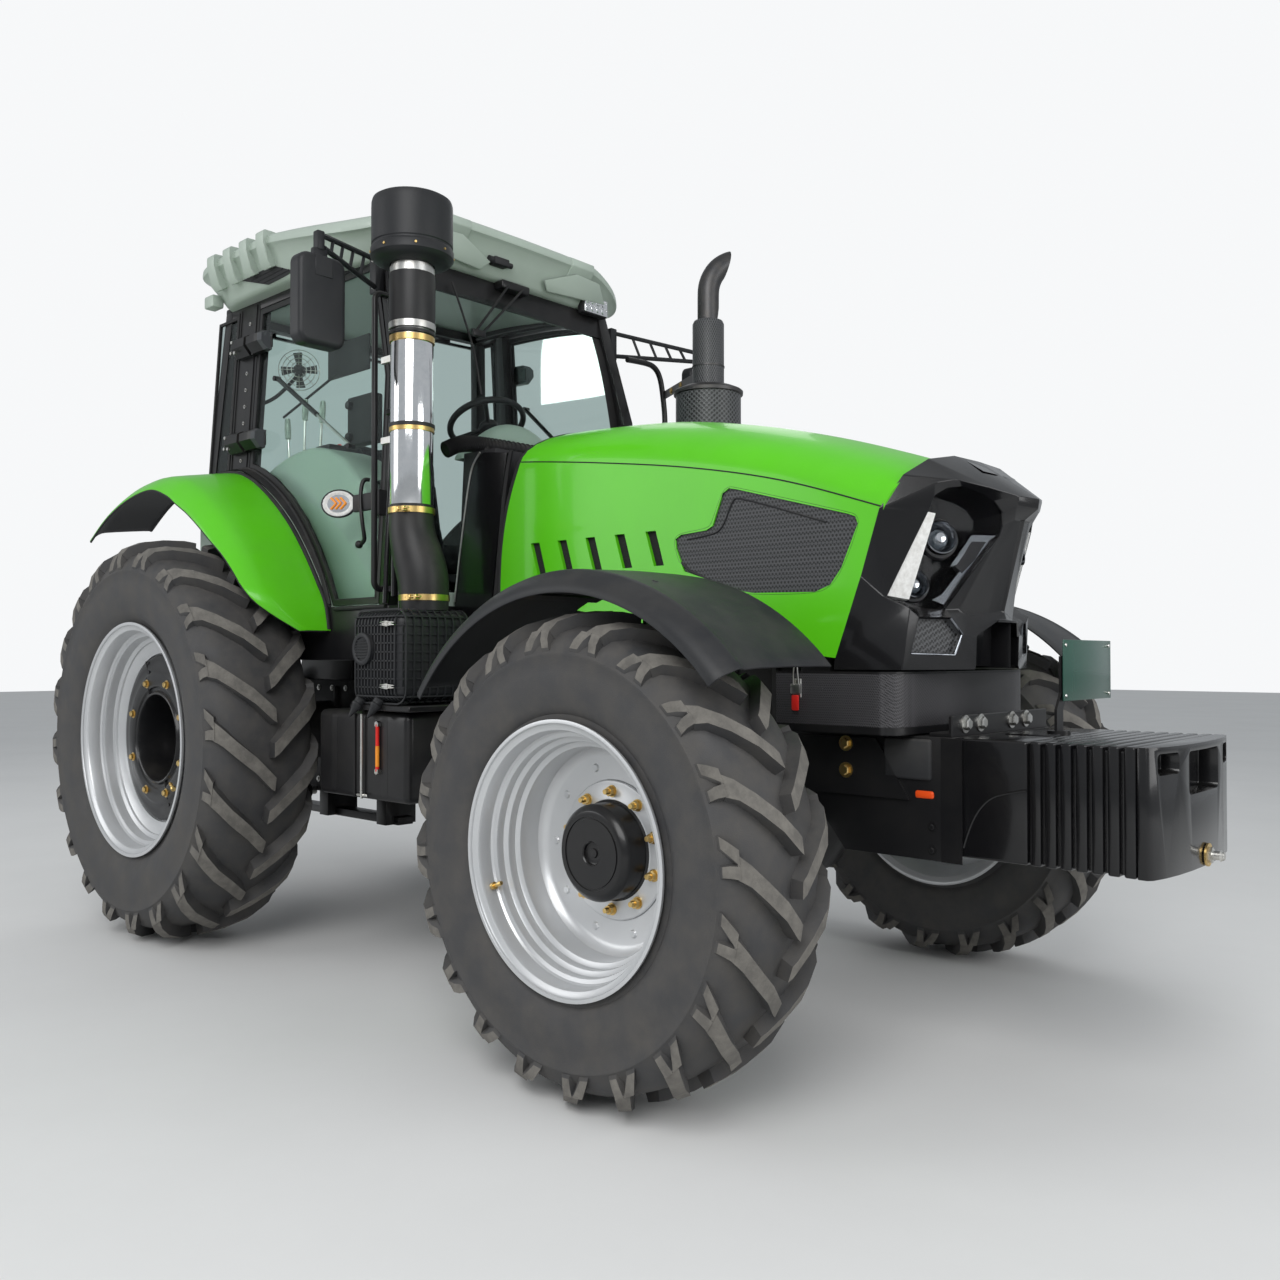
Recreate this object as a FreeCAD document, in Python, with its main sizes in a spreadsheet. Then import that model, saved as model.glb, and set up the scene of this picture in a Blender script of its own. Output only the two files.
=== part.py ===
import FreeCAD, Part
import math
import os
import Sketcher

# Farm tractor with a closed cab, driven front axle, front ballast block and rear linkage.
# X runs forward, Y to the left and Z up from the floor. The origin is on the floor, under
# the middle of the whole length.

doc = FreeCAD.newDocument("farm_tractor")
sheet = doc.addObject("Spreadsheet::Sheet", "sizes")
row_count = 0
nodes = {}


class Size:
    """A length with its number of millimetres and the sheet expression that gives it."""

    def __init__(self, number, text):
        self.number = number
        self.text = text

    def __float__(self):
        return self.number

    def __add__(self, other):
        return Size(self.number + float(other), f"({self.text} + {written(other)})")

    def __radd__(self, other):
        return Size(float(other) + self.number, f"({written(other)} + {self.text})")

    def __sub__(self, other):
        return Size(self.number - float(other), f"({self.text} - {written(other)})")

    def __rsub__(self, other):
        return Size(float(other) - self.number, f"({written(other)} - {self.text})")

    def __mul__(self, other):
        return Size(self.number * float(other), f"({self.text} * {written(other)})")

    def __rmul__(self, other):
        return Size(float(other) * self.number, f"({written(other)} * {self.text})")

    def __truediv__(self, other):
        return Size(self.number / float(other), f"({self.text} / {written(other)})")

    def __neg__(self):
        return Size(-self.number, f"(0 - {self.text})")


def written(value):
    """The expression for a size or a plain number."""
    if isinstance(value, Size):
        return value.text
    if value < 0:
        return f"(0 - {-float(value):.6g})"
    return f"{float(value):.6g}"


def size(name, millimetres, note):
    """A driving dimension: one row of the sheet."""
    global row_count
    row_count += 1
    sheet.set(f"A{row_count}", name)
    sheet.set(f"B{row_count}", str(millimetres))
    sheet.setAlias(f"B{row_count}", name)
    sheet.set(f"C{row_count}", note)
    return Size(float(millimetres), f"sizes.{name}")


# Main lengths, all from the middle of the rear axle
wheelbase = size("wheelbase", 2700, "rear axle to front axle")
front_reach = size("frontreach", 1335, "front axle to the tip of the tow pin")
rear_reach = size("rearreach", 1060, "rear axle to the end of the lower links")
running_gap = size("runninggap", 0.3, "gap at seats and pins between pieces")
link_eye_radius = size("linkeyeradius", 42, "outer radius of the lower link eyes")

# Wheels and tyres
front_tyre_radius = size("fronttyreradius", 682, "front tyre over the lugs")
rear_tyre_radius = size("reartyreradius", 876, "rear tyre over the lugs")
front_tyre_half = size("fronttyrehalf", 190, "half width of the front tyre")
rear_tyre_half = size("reartyrehalf", 234, "half width of the rear tyre")
track_out = size("trackout", 253, "kingpin to front tyre middle")
rear_track_half = size("reartrackhalf", 1030, "tractor middle to rear tyre middle")
front_flange = size("frontflange", 381, "front rim flange radius")
rear_flange = size("rearflange", 508, "rear rim flange radius")
flange_height = size("flangeheight", 25, "flange above the bead seat")
front_rim_half = size("frontrimhalf", 180, "half width of the front rim")
rear_rim_half = size("rearrimhalf", 211, "half width of the rear rim")
rim_wall = size("rimwall", 10, "rim wall")
rim_drop = size("rimdrop", 32, "depth of the rim well")
disc_wall = size("discwall", 16, "wheel disc")
front_hub_radius = size("fronthubradius", 137, "front planetary hub")
hub_out = size("hubout", 303, "kingpin to the front hub's face")
disc_out = size("discout", 200, "kingpin to the front wheel disc")
rear_disc_at = size("reardiscat", 1085, "tractor middle to the rear wheel disc")
rear_hub_radius = size("rearhubradius", 190, "opening of the rear wheel's centre casting")
rear_casting_radius = size("rearcastingradius", 368, "outside of the rear wheel's centre casting")
front_lug = size("frontlug", 40, "height of the front tread lugs")
rear_lug = size("rearlug", 46, "height of the rear tread lugs")

# Front axle, knuckles and steering
kingpin_half = size("kingpinhalf", 800, "tractor middle to the kingpin")
kingpin_radius = size("kingpinradius", 70, "kingpin boss radius")
kingpin_drop = size("kingpindrop", 115, "axle middle to the knuckle arm")
knuckle_arm = size("knucklearm", 50, "thickness of the knuckle arms")
axle_half_height = size("axlehalfheight", 80, "half height of the front axle beam")
diff_radius = size("diffradius", 185, "front differential housing")
steer_arm = size("steerarm", 215, "kingpin to the steering rod")
steer_rod_radius = size("steerrodradius", 16, "steering rod")
steer_arm_plate = size("steerarmplate", 24, "thickness of the steering arm")

# Frame, engine and gearbox
rail_inner = size("railinner", 290, "tractor middle to the inside of a frame rail")
rail_wall = size("railwall", 40, "thickness of a frame rail")
rail_low = size("raillow", 800, "underside of the frame rails")
rail_top = size("railtop", 1000, "top of the frame rails")
rail_rear = size("railrear", 1600, "rear axle to the rear end of the rails")
engine_half = size("enginehalf", 285, "half width of the engine")
engine_rear = size("enginerear", 1800, "rear axle to the back of the engine")
engine_length = size("enginelength", 1050, "length of the engine")
engine_low = size("enginelow", 700, "underside of the engine")
engine_top = size("enginetop", 1780, "top of the engine")
gearbox_half = size("gearboxhalf", 250, "half width of the gearbox")
gearbox_low = size("gearboxlow", 560, "underside of the gearbox")
cab_mount = size("cabmount", 100, "top of the gearbox to the underside of the cab floor")
gearbox_rear = size("gearboxrear", 380, "rear axle to the gearbox's rear face")
axle_tube_radius = size("axletuberadius", 140, "rear axle housing")
axle_flange_radius = size("axleflangeradius", 185, "rear axle end flange")
axle_end = size("axleend", 770, "tractor middle to the rear axle housing's end")

# Front end
carrier_half = size("carrierhalf", 345, "half width of the ballast carrier")
carrier_low = size("carrierlow", 640, "underside of the ballast carrier")
carrier_length = size("carrierlength", 380, "length of the ballast carrier")
block_half = size("blockhalf", 340, "half width of the ballast block")
block_length = size("blocklength", 580, "length of the ballast block")
block_low = size("blocklow", 660, "underside of the ballast block")
block_top = size("blocktop", 1000, "top of the ballast block")
block_bulge = size("blockbulge", 60, "how far the block's face bulges")
tow_pin_radius = size("towpinradius", 16, "tow pin")
tow_pin_height = size("towpinheight", 690, "height of the tow pin's axis")
tow_pin_reach = size("towpinreach", 45, "how far the tow pin stands out")
sign_width = size("signwidth", 320, "width of the blank plate")
sign_height = size("signheight", 180, "height of the blank plate")
sign_low = size("signlow", 1100, "underside of the blank plate")
band_half = size("bandhalf", 450, "half width of the mesh band")
band_top = size("bandtop", 1190, "top of the mesh band")
band_tray = size("bandtray", 16, "tray under the mesh band")
band_wall = size("bandwall", 14, "thickness of the mesh band")
band_front = size("bandfront", 3290, "rear axle to the front of the mesh band")
band_rear = size("bandrear", 2870, "rear axle to the rear end of the mesh band")
band_corner = size("bandcorner", 130, "corner radius of the mesh band")

# Bonnet
bonnet_half = size("bonnethalf", 450, "half width of the bonnet")
bonnet_crown = size("bonnetcrown", 2135, "top of the bonnet at its rear edge")
bonnet_wall = size("bonnetwall", 22, "thickness of the bonnet")
bonnet_rear = size("bonnetrear", 1560, "rear axle to the bonnet's rear edge")
bonnet_front = size("bonnetfront", 3150, "rear axle to the joint of bonnet and nose")
nose_reach = size("nosereach", 375, "bonnet's front edge to the tip of the nose")
nose_drop = size("nosedrop", 920, "bonnet's crown down to the nose's underside")
hinge_drop = size("hingedrop", 115, "bonnet's crown down to its hinge")
hinge_at = size("hingeat", 1500, "rear axle to the bonnet's hinge")
hinge_pin = size("hingepin", 10, "radius of the bonnet's hinge pins")
slot_drop = size("slotdrop", 467, "bonnet's crown down to its side slots")
slot_tall = size("slottall", 123, "height of the side slots")
slot_width = size("slotwidth", 50, "width of a side slot")
slot_pitch = size("slotpitch", 148, "pitch of the side slots")
slot_first = size("slotfirst", 1720, "rear axle to the first side slot")

# Cab
cab_half_low = size("cabhalflow", 750, "half width of the cab at the sill")
cab_half_top = size("cabhalftop", 650, "half width of the cab under the roof")
belt_gap = size("beltgap", 96, "rear fender to the foot of the rear side glass")
glass_rise = size("glassrise", 814, "foot of the rear side glass to the roof's underside")
waist_rise = size("waistrise", 274, "foot of the rear side glass to where the windscreen starts to lean")
roof_lift = size("rooflift", 120, "roof's underside to its rim")
roof_crown = size("roofcrown", 110, "roof's rim to its top")
roof_half = size("roofhalf", 815, "half width of the roof")
roof_rear = size("roofrear", 400, "rear axle back to the roof's rear edge")
roof_front = size("rooffront", 1180, "rear axle to the roof's front edge")
cab_rear = size("cabrear", 350, "rear axle back to the cab's rear face")
cab_front = size("cabfront", 1220, "rear axle to the cab's front face at the sill")
cab_front_top = size("cabfronttop", 1050, "rear axle to the cab's front face under the roof")
post_width = size("postwidth", 60, "width of a cab post")
hinge_post = size("hingepost", 40, "rear axle to the rear edge of the door")
glass_wall = size("glasswall", 8, "glass thickness")
door_wall = size("doorwall", 34, "door frame thickness")
hinge_out = size("hingeout", 14, "cab side to the door hinge's axis")
hinge_barrel = size("hingebarrel", 12, "radius of a door hinge's barrel")
door_pin = size("doorpin", 8, "radius of a door hinge's pin")
floor_wall = size("floorwall", 40, "cab floor thickness")
floor_height = size("floorheight", 1260, "top of the cab floor")
dash_rise = size("dashrise", 960, "cab floor to the top of the dash")
console_rise = size("consolerise", 520, "cab floor to the top of the side console")
seat_rise = size("seatrise", 360, "cab floor to the underside of the seat cushion")
sill_rise = size("sillrise", 180, "cab floor to the door sill")

# Fenders
fender_wall = size("fenderwall", 8, "fender thickness")
front_fender_gap = size("frontfendergap", 98, "front tyre to the front fender")
front_fender_cover = size("frontfendercover", 197, "front tyre middle to the fender's outer edge")
rear_fender_gap = size("rearfendergap", 384, "rear tyre to the rear fender's outer edge")
rear_fender_back = size("rearfenderback", 165, "rear axle back to the fender arc's middle")
rear_fender_down = size("rearfenderdown", 126, "rear axle down to the fender arc's middle")
rear_fender_outer = size("rearfenderouter", 1080, "tractor middle to the rear fender's outer edge")

# Stacks and side boxes
stack_at = size("stackat", 1445, "rear axle to the air intake")
stack_half = size("stackhalf", 815, "tractor middle to the air intake")
stack_radius = size("stackradius", 64, "bright intake pipe")
cap_radius = size("capradius", 125, "intake cap")
cap_tall = size("captall", 280, "height of the intake cap")
sleeve_tall = size("sleevetall", 280, "bright pipe to the intake cap")
pipe_top = size("pipetop", 2450, "top of the bright pipe")
pipe_low = size("pipelow", 1800, "bottom of the bright pipe")
exhaust_at = size("exhaustat", 1730, "rear axle to the exhaust")
exhaust_half = size("exhausthalf", 630, "tractor middle to the exhaust")
exhaust_radius = size("exhaustradius", 48, "exhaust pipe")
shield_radius = size("shieldradius", 68, "perforated sleeve on the exhaust")
muffler_radius = size("mufflerradius", 145, "muffler can")
muffler_low = size("mufflerlow", 1500, "underside of the muffler can")
exhaust_port = size("exhaustport", 1340, "height of the exhaust's outlet from the engine")
muffler_top = size("mufflertop", 2390, "top of the muffler can")
shield_top = size("shieldtop", 2690, "top of the perforated sleeve")
exhaust_top = size("exhausttop", 2950, "where the exhaust pipe turns")
box_rear = size("boxrear", 1300, "rear axle to the air cleaner box")
box_length = size("boxlength", 330, "length of the air cleaner box")
box_inner = size("boxinner", 640, "tractor middle to the inside of the box")
box_outer = size("boxouter", 985, "tractor middle to the outside of the box")
box_low = size("boxlow", 1060, "underside of the air cleaner box")
box_top = size("boxtop", 1410, "top of the air cleaner box")
tank_rear = size("tankrear", 1010, "rear axle to the tanks")
tank_length = size("tanklength", 590, "length of a tank")
tank_inner = size("tankinner", 420, "tractor middle to the inside of a tank")
tank_outer = size("tankouter", 930, "tractor middle to the outside of a tank")
tank_low = size("tanklow", 700, "underside of a tank")
tank_top = size("tanktop", 1030, "top of a tank")

# Rear linkage
link_front = size("linkfront", 120, "rear axle back to the lower links' front pins")
link_height = size("linkheight", 560, "height of the lower links' front pins")
link_drop = size("linkdrop", 60, "how far the lower links slope down")
link_half = size("linkhalf", 310, "tractor middle to a lower link")
link_front_half = size("linkfronthalf", 300, "tractor middle to a lower link's front pin")
link_radius = size("linkradius", 18.6, "bore of the lower link balls")
lift_height = size("liftheight", 1080, "height of the lift arms' shaft")
lift_at = size("liftat", 300, "rear axle back to the lift arms' shaft")
lift_arm = size("liftarm", 270, "length of a lift arm")
drawbar_reach = size("drawbarreach", 760, "rear axle back to the drawbar's pin hole")
drawbar_low = size("drawbarlow", 400, "underside of the drawbar")
drawbar_wall = size("drawbarwall", 38, "thickness of the drawbar")
drawbar_bore = size("drawbarbore", 16.5, "radius of the drawbar's pin hole")
shaft_radius = size("shaftradius", 17.5, "power shaft radius")

# Places worked out from the sizes above
rear_x = (rear_reach + link_eye_radius - wheelbase - front_reach) / 2
front_x = rear_x + wheelbase
block_front = front_x + front_reach - tow_pin_reach
block_rear = block_front - block_length
carrier_rear = block_rear - carrier_length
front_track_half = kingpin_half + track_out
front_hub_face = kingpin_half + hub_out
front_disc_at = kingpin_half + disc_out
front_fender_outer = front_track_half + front_fender_cover
gearbox_top = floor_height - floor_wall - cab_mount
hinge_height = bonnet_crown - hinge_drop
nose_low = bonnet_crown - nose_drop
nose_tip = bonnet_front + nose_reach
slot_top = bonnet_crown - slot_drop
slot_low = slot_top - slot_tall
cap_low = pipe_top + sleeve_tall
cap_top = cap_low + cap_tall
rear_fender_radius = rear_tyre_radius + rear_fender_gap
arc_x = rear_x - rear_fender_back
arc_z = rear_tyre_radius - rear_fender_down
sill_height = floor_height + sill_rise
rear_sill = arc_z + rear_fender_radius + belt_gap
waist_height = rear_sill + waist_rise
roof_low = rear_sill + glass_rise
roof_rim = roof_low + roof_lift
roof_top = roof_rim + roof_crown

lug_count = 20
lug_stagger = 0.38
tyre_facets = lug_count
axis_vector = {"x": (1, 0, 0), "y": (0, 1, 0), "z": (0, 0, 1)}
axis_turn = {
    "x": FreeCAD.Rotation(FreeCAD.Vector(0, 1, 0), 90),
    "y": FreeCAD.Rotation(FreeCAD.Vector(1, 0, 0), -90),
    "z": FreeCAD.Rotation(),
}


def bind(thing, path, value):
    """Ties one property to its size."""
    thing.setExpression(path, written(value))


def place(thing, x, y, z):
    """Ties an object's place to sizes."""
    bind(thing, "Placement.Base.x", x)
    bind(thing, "Placement.Base.y", y)
    bind(thing, "Placement.Base.z", z)
    return thing


def block(x, y, z):
    """A box between two planes each way: x, y and z are pairs."""
    box = doc.addObject("Part::Box", "block")
    bind(box, "Length", x[1] - x[0])
    bind(box, "Width", y[1] - y[0])
    bind(box, "Height", z[1] - z[0])
    return place(box, x[0], y[0], z[0])


def rod(axis, start, length, radius):
    """A cylinder from a start point along one axis."""
    cylinder = doc.addObject("Part::Cylinder", "rod")
    cylinder.Placement = FreeCAD.Placement(FreeCAD.Vector(), axis_turn[axis])
    bind(cylinder, "Radius", radius)
    bind(cylinder, "Height", length)
    return place(cylinder, *start)


def post(z, low, top):
    """An upright taper between two level rectangles: low and top are pairs of x and y pairs."""
    wedge = doc.addObject("Part::Wedge", "post")
    names = ("Zmin", "Zmax", "Xmin", "Xmax"), ("Z2min", "Z2max", "X2min", "X2max")
    for labels, (across, beside) in zip(names, (low, top)):
        for label, value in zip(labels, (*across, *beside)):
            bind(wedge, label, value)
    bind(wedge, "Ymin", z[0])
    bind(wedge, "Ymax", z[1])
    wedge.Placement.Rotation = FreeCAD.Rotation(FreeCAD.Vector(1, 1, 1), 120)
    return wedge


def outline(body, plane, points):
    """A closed sketch of straight lines on one of the body's own planes."""
    sketch = body.newObject("Sketcher::SketchObject", "outline")
    support = [item for item in body.Origin.OriginFeatures if item.Role == plane][0]
    sketch.AttachmentSupport = [(support, "")]
    sketch.MapMode = "FlatFace"
    corners = [FreeCAD.Vector(float(a), float(b), 0) for a, b in points]
    count = len(corners)
    for index in range(count):
        sketch.addGeometry(Part.LineSegment(corners[index], corners[(index + 1) % count]), False)
    for index in range(count):
        sketch.addConstraint(Sketcher.Constraint("Coincident", index, 2, (index + 1) % count, 1))
    for index, (a, b) in enumerate(points):
        for kind, value in (("DistanceX", a), ("DistanceY", b)):
            number = sketch.addConstraint(Sketcher.Constraint(kind, index, 1, float(value)))
            if isinstance(value, Size):
                sketch.setExpression(f"Constraints[{number}]", value.text)
    return sketch


def prism(plane, points, low, high):
    """An outline in plane XY, XZ or YZ, made solid between two levels of the third axis."""
    body = doc.addObject("PartDesign::Body", "prism")
    sketch = outline(body, f"{plane}_Plane", points)
    pad = body.newObject("PartDesign::Pad", "pad")
    pad.Profile = sketch
    bind(pad, "Length", high - low)
    pad.Reversed = plane == "XZ"
    third = {"YZ": (low, 0, 0), "XZ": (0, low, 0), "XY": (0, 0, low)}[plane]
    return place(body, *third)


def turned(axis, centre, points, start=0, span=360):
    """An outline of (along, radius) points turned about an axis through the centre."""
    body = doc.addObject("PartDesign::Body", "turned")
    if axis == "z":
        sketch = outline(body, "XZ_Plane", [(radius, along) for along, radius in points])
    else:
        sketch = outline(body, "YZ_Plane" if axis == "y" else "XZ_Plane", points)
    turn = body.newObject("PartDesign::Revolution", "turn")
    turn.Profile = sketch
    turn.ReferenceAxis = (sketch, ["V_Axis" if axis == "z" else "H_Axis"])
    turn.Angle = span
    if start:
        body.Placement.Rotation = FreeCAD.Rotation(FreeCAD.Vector(*axis_vector[axis]), start)
    return place(body, *centre)


def lofted(plane, sections):
    """A solid through outlines: each section is (level, points)."""
    body = doc.addObject("PartDesign::Body", "lofted")
    sketches = []
    for level, points in sections:
        sketch = outline(body, f"{plane}_Plane", points)
        offset = -level if plane == "XZ" else level
        if isinstance(offset, Size):
            bind(sketch, "AttachmentOffset.Base.z", offset)
        else:
            sketch.AttachmentOffset.Base.z = offset
        sketches.append(sketch)
    loft = body.newObject("PartDesign::AdditiveLoft", "loft")
    loft.Profile = sketches[0]
    loft.Sections = sketches[1:]
    loft.Ruled = True
    return body


def bent(points, radius, bend):
    """A round bar along straight runs joined by tangent arcs of one bend radius."""
    corners = [FreeCAD.Vector(*(float(value) for value in point)) for point in points]
    edges = []
    last = corners[0]
    for before, corner, after in zip(corners, corners[1:], corners[2:]):
        into = (corner - before).normalize()
        out = (after - corner).normalize()
        half = into.getAngle(out) / 2
        reach = float(bend) * math.tan(half)
        first = corner - into * reach
        second = corner + out * reach
        inward = (out - into).normalize()
        middle = corner + inward * (float(bend) / math.cos(half) - float(bend))
        edges.append(Part.LineSegment(last, first).toShape())
        edges.append(Part.Arc(first, middle, second).toShape())
        last = second
    edges.append(Part.LineSegment(last, corners[-1]).toShape())
    along = (corners[1] - corners[0]).normalize()
    circle = Part.Wire([Part.Circle(corners[0], along, float(radius)).toShape()])
    bar = doc.addObject("Part::Feature", "bent")
    bar.Shape = Part.Wire(edges).makePipeShell([circle], True, False)
    return bar


def fused(*pieces):
    """Pieces that are one casting or weldment."""
    union = doc.addObject("Part::MultiFuse", "fused")
    union.Shapes = list(pieces)
    union.Refine = True
    return union


def grouped(*pieces):
    """Pieces of one node that don't touch."""
    group = doc.addObject("Part::Compound", "grouped")
    group.Links = list(pieces)
    return group


def cut(base, *tools):
    """A piece less its openings."""
    tool = tools[0] if len(tools) == 1 else grouped(*tools)
    hollow = doc.addObject("Part::Cut", "cut")
    hollow.Base = base
    hollow.Tool = tool
    hollow.Refine = True
    return hollow


def mirrored(piece):
    """The same piece on the other side of the tractor."""
    twin = doc.addObject("Part::Mirroring", "mirrored")
    twin.Source = piece
    twin.Normal = FreeCAD.Vector(0, 1, 0)
    return twin


def both_sides(piece):
    """A piece and its mirror image in one node."""
    return grouped(piece, mirrored(piece))


def joined_sides(piece):
    """A piece that crosses the middle with its mirror image, as one."""
    return fused(piece, mirrored(piece))


def node(name, piece):
    """Names a sub-part."""
    piece.Label = name
    nodes[name] = piece


def spread(half):
    """A pair of planes either side of the middle."""
    return (-half, half)


def copied(piece):
    """A second use of one shape."""
    twin = doc.addObject("Part::Compound", "copied")
    twin.Links = [piece]
    return twin


# Wheels: the left one of each axle is drawn and the right one is its mirror image
def set_at(piece, centre, angle=0):
    """Places a piece drawn about the Y axis, turned by an angle."""
    piece.Placement.Rotation = FreeCAD.Rotation(FreeCAD.Vector(0, 1, 0), angle)
    return place(piece, *centre)


def faceted(section, reach):
    """A ring of flat facets about the Y axis: what slabs of one section, turned in steps, have in common."""
    slab = prism("YZ", section + [(along, -radius) for along, radius in reversed(section)], -reach, reach)
    shared = doc.addObject("Part::MultiCommon", "faceted")
    step = 360 / tyre_facets
    shared.Shapes = [set_at(copied(slab), (0, 0, 0), step * index) for index in range(tyre_facets // 2)]
    return shared


def tyre_ring(centre, rim_half, tyre_half, flange, carcass, turn):
    """The carcass: a drum less its bore and the tapers that clear the rim's flanges."""
    outside = tyre_half + 1
    seat = flange - flange_height + running_gap
    shoulder = carcass - 46
    drum = faceted([(-tyre_half, shoulder), (0, carcass), (tyre_half, shoulder)], carcass)
    bore = faceted([(-outside, seat), (outside, seat)], carcass)
    taper = faceted([(rim_half - 20, flange + 6), (outside, flange + 50)], carcass)
    return set_at(cut(drum, fused(bore, taper, mirrored(taper))), centre, turn)


def lug_reach(tyre_half):
    """How far a lug runs along the tread, each way from its middle."""
    return tyre_half * 0.32


def lowest(tyre_half, tyre_radius):
    """Turn that sets a lug's outer corner straight down."""
    return 180 + math.degrees(math.asin(float(lug_reach(tyre_half)) / float(tyre_radius)))


def tread(centre, tyre_half, tyre_radius, lug):
    """Slanted bars, each within one facet, the two sides' rows apart by the stagger."""
    long = lug_reach(tyre_half)
    wide = tyre_half * 0.28
    plan = [(long - wide, 2), (long, 2), (wide * 1.2 - long, tyre_half - 4), (-long, tyre_half - 4)]
    top = tyre_radius * math.cos(math.asin(float(long) / float(tyre_radius)))
    bar = prism("XY", plan, top - lug * 2.2, top)
    twin = mirrored(bar)
    down = lowest(tyre_half, tyre_radius)
    bars = []
    for index in range(lug_count):
        for piece, share in ((bar, 0), (twin, lug_stagger)):
            bars.append(set_at(copied(piece), centre, down + (index + share) * 360 / lug_count))
    return bars


def rim_barrel(rim_half, flange):
    seat = flange - flange_height
    well = seat - rim_drop
    return [
        (-rim_half, flange),
        (12 - rim_half, flange),
        (18 - rim_half, seat),
        (-70, seat),
        (-50, well),
        (50, well),
        (70, seat),
        (rim_half - 18, seat),
        (rim_half - 12, flange),
        (rim_half, flange),
        (rim_half, seat - rim_wall),
        (75, seat - rim_wall),
        (55, well - rim_wall),
        (-55, well - rim_wall),
        (-75, seat - rim_wall),
        (-rim_half, seat - rim_wall),
    ]


def ring(low, high, inner, outer):
    return [(low, inner), (high, inner), (high, outer), (low, outer)]


wheel_table = (
    # name, axle x, track half, tyre radius, tyre half, lug height, flange radius, rim half, disc at
    ("front", front_x, front_track_half, front_tyre_radius, front_tyre_half, front_lug, front_flange,
     front_rim_half, front_disc_at),
    ("rear", rear_x, rear_track_half, rear_tyre_radius, rear_tyre_half, rear_lug, rear_flange,
     rear_rim_half, rear_disc_at),
)
hub_start = front_disc_at - 20
for name, axle_x, track, tyre_radius, tyre_half, lug, flange, rim_half, disc_at in wheel_table:
    centre = (axle_x, track, tyre_radius)
    well = flange - flange_height - rim_drop - rim_wall
    turn = lowest(tyre_half, tyre_radius) + lug_stagger * 180 / lug_count
    tyre = fused(tyre_ring(centre, rim_half, tyre_half, flange, tyre_radius - lug, turn),
                 *tread(centre, tyre_half, tyre_radius, lug))
    barrel = turned("y", centre, rim_barrel(rim_half, flange))
    if name == "front":
        inner = front_hub_radius + running_gap
        hub = turned("y", (axle_x, 0, tyre_radius), [
            (hub_start + running_gap, 0),
            (hub_start + running_gap, front_hub_radius),
            (front_hub_face - 30, front_hub_radius),
            (front_hub_face, front_hub_radius - 12),
            (front_hub_face, 22),
            (front_hub_face - 10, 22),
            (front_hub_face - 10, 0),
        ])
    else:
        inner = rear_casting_radius + running_gap
        hub = turned("y", (axle_x, 0, tyre_radius), [
            (axle_end + running_gap, 0),
            (axle_end + running_gap, axle_flange_radius),
            (axle_end + 40, axle_flange_radius),
            (axle_end + 60, rear_hub_radius + 30),
            (rear_disc_at - 12, rear_hub_radius + 40),
            (rear_disc_at - 12, rear_casting_radius),
            (rear_disc_at + 12, rear_casting_radius),
            (rear_disc_at + 30, rear_hub_radius + 60),
            (rear_disc_at + 30, rear_hub_radius),
            (axle_end + 120, rear_hub_radius - 10),
            (axle_end + 120, 90),
            (axle_end + 190, 80),
            (axle_end + 190, 0),
        ])
    disc = turned("y", centre, ring(disc_at - track - disc_wall / 2, disc_at - track + disc_wall / 2,
                                    inner, well + 2))
    rim = fused(barrel, disc)
    for part_name, piece in (("tyre", tyre), ("rim", rim), ("hub", hub)):
        node(f"{name}_{part_name}_left", piece)
        node(f"{name}_{part_name}_right", mirrored(piece))

# Front knuckles, each on its kingpin, with the front fender that it carries
axle_height = front_tyre_radius
knuckle_low = axle_height - kingpin_drop - knuckle_arm
knuckle_high = axle_height + kingpin_drop + knuckle_arm
knuckle_wall = (kingpin_half + 72, kingpin_half + 105)
knuckle = fused(
    block((front_x - 85, front_x + 85), knuckle_wall, (knuckle_low, knuckle_high)),
    block((front_x - 60, front_x + 60), (kingpin_half, kingpin_half + 80),
          (knuckle_low, knuckle_low + knuckle_arm)),
    block((front_x - 60, front_x + 60), (kingpin_half, kingpin_half + 80),
          (knuckle_high - knuckle_arm, knuckle_high)),
    rod("z", (front_x, kingpin_half, knuckle_low), knuckle_arm, kingpin_radius),
    rod("z", (front_x, kingpin_half, knuckle_high - knuckle_arm), knuckle_arm, kingpin_radius),
    rod("y", (front_x, kingpin_half + 100, axle_height), hub_start - kingpin_half - 100,
        front_hub_radius - 20),
    block((front_x - steer_arm - 30, front_x - 40), (kingpin_half - 30, kingpin_half + 30),
          (knuckle_low, knuckle_low + steer_arm_plate)),
)
fender_radius = front_tyre_radius + front_fender_gap
fender_back_angle = 54.5
fender_span = 103
front_fender_arc = turned("y", (front_x, 0, axle_height), [
    (kingpin_half, fender_radius + 12),
    (kingpin_half, fender_radius + 12 - fender_wall),
    (front_fender_outer - 60, fender_radius - fender_wall),
    (front_fender_outer - fender_wall, fender_radius - 22 - fender_wall),
    (front_fender_outer - fender_wall, fender_radius - 45),
    (front_fender_outer, fender_radius - 45),
    (front_fender_outer, fender_radius - 20),
    (front_fender_outer - 55, fender_radius),
], start=-fender_back_angle, span=fender_span)
fender_leg = block((front_x - 24, front_x + 24), (kingpin_half, kingpin_half + 30),
                   (knuckle_high, axle_height + fender_radius + 8))
node("knuckle_left", knuckle)
node("knuckle_right", mirrored(knuckle))
front_fender = fused(front_fender_arc, fender_leg)
node("front_fender_left", front_fender)
node("front_fender_right", mirrored(front_fender))

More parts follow.
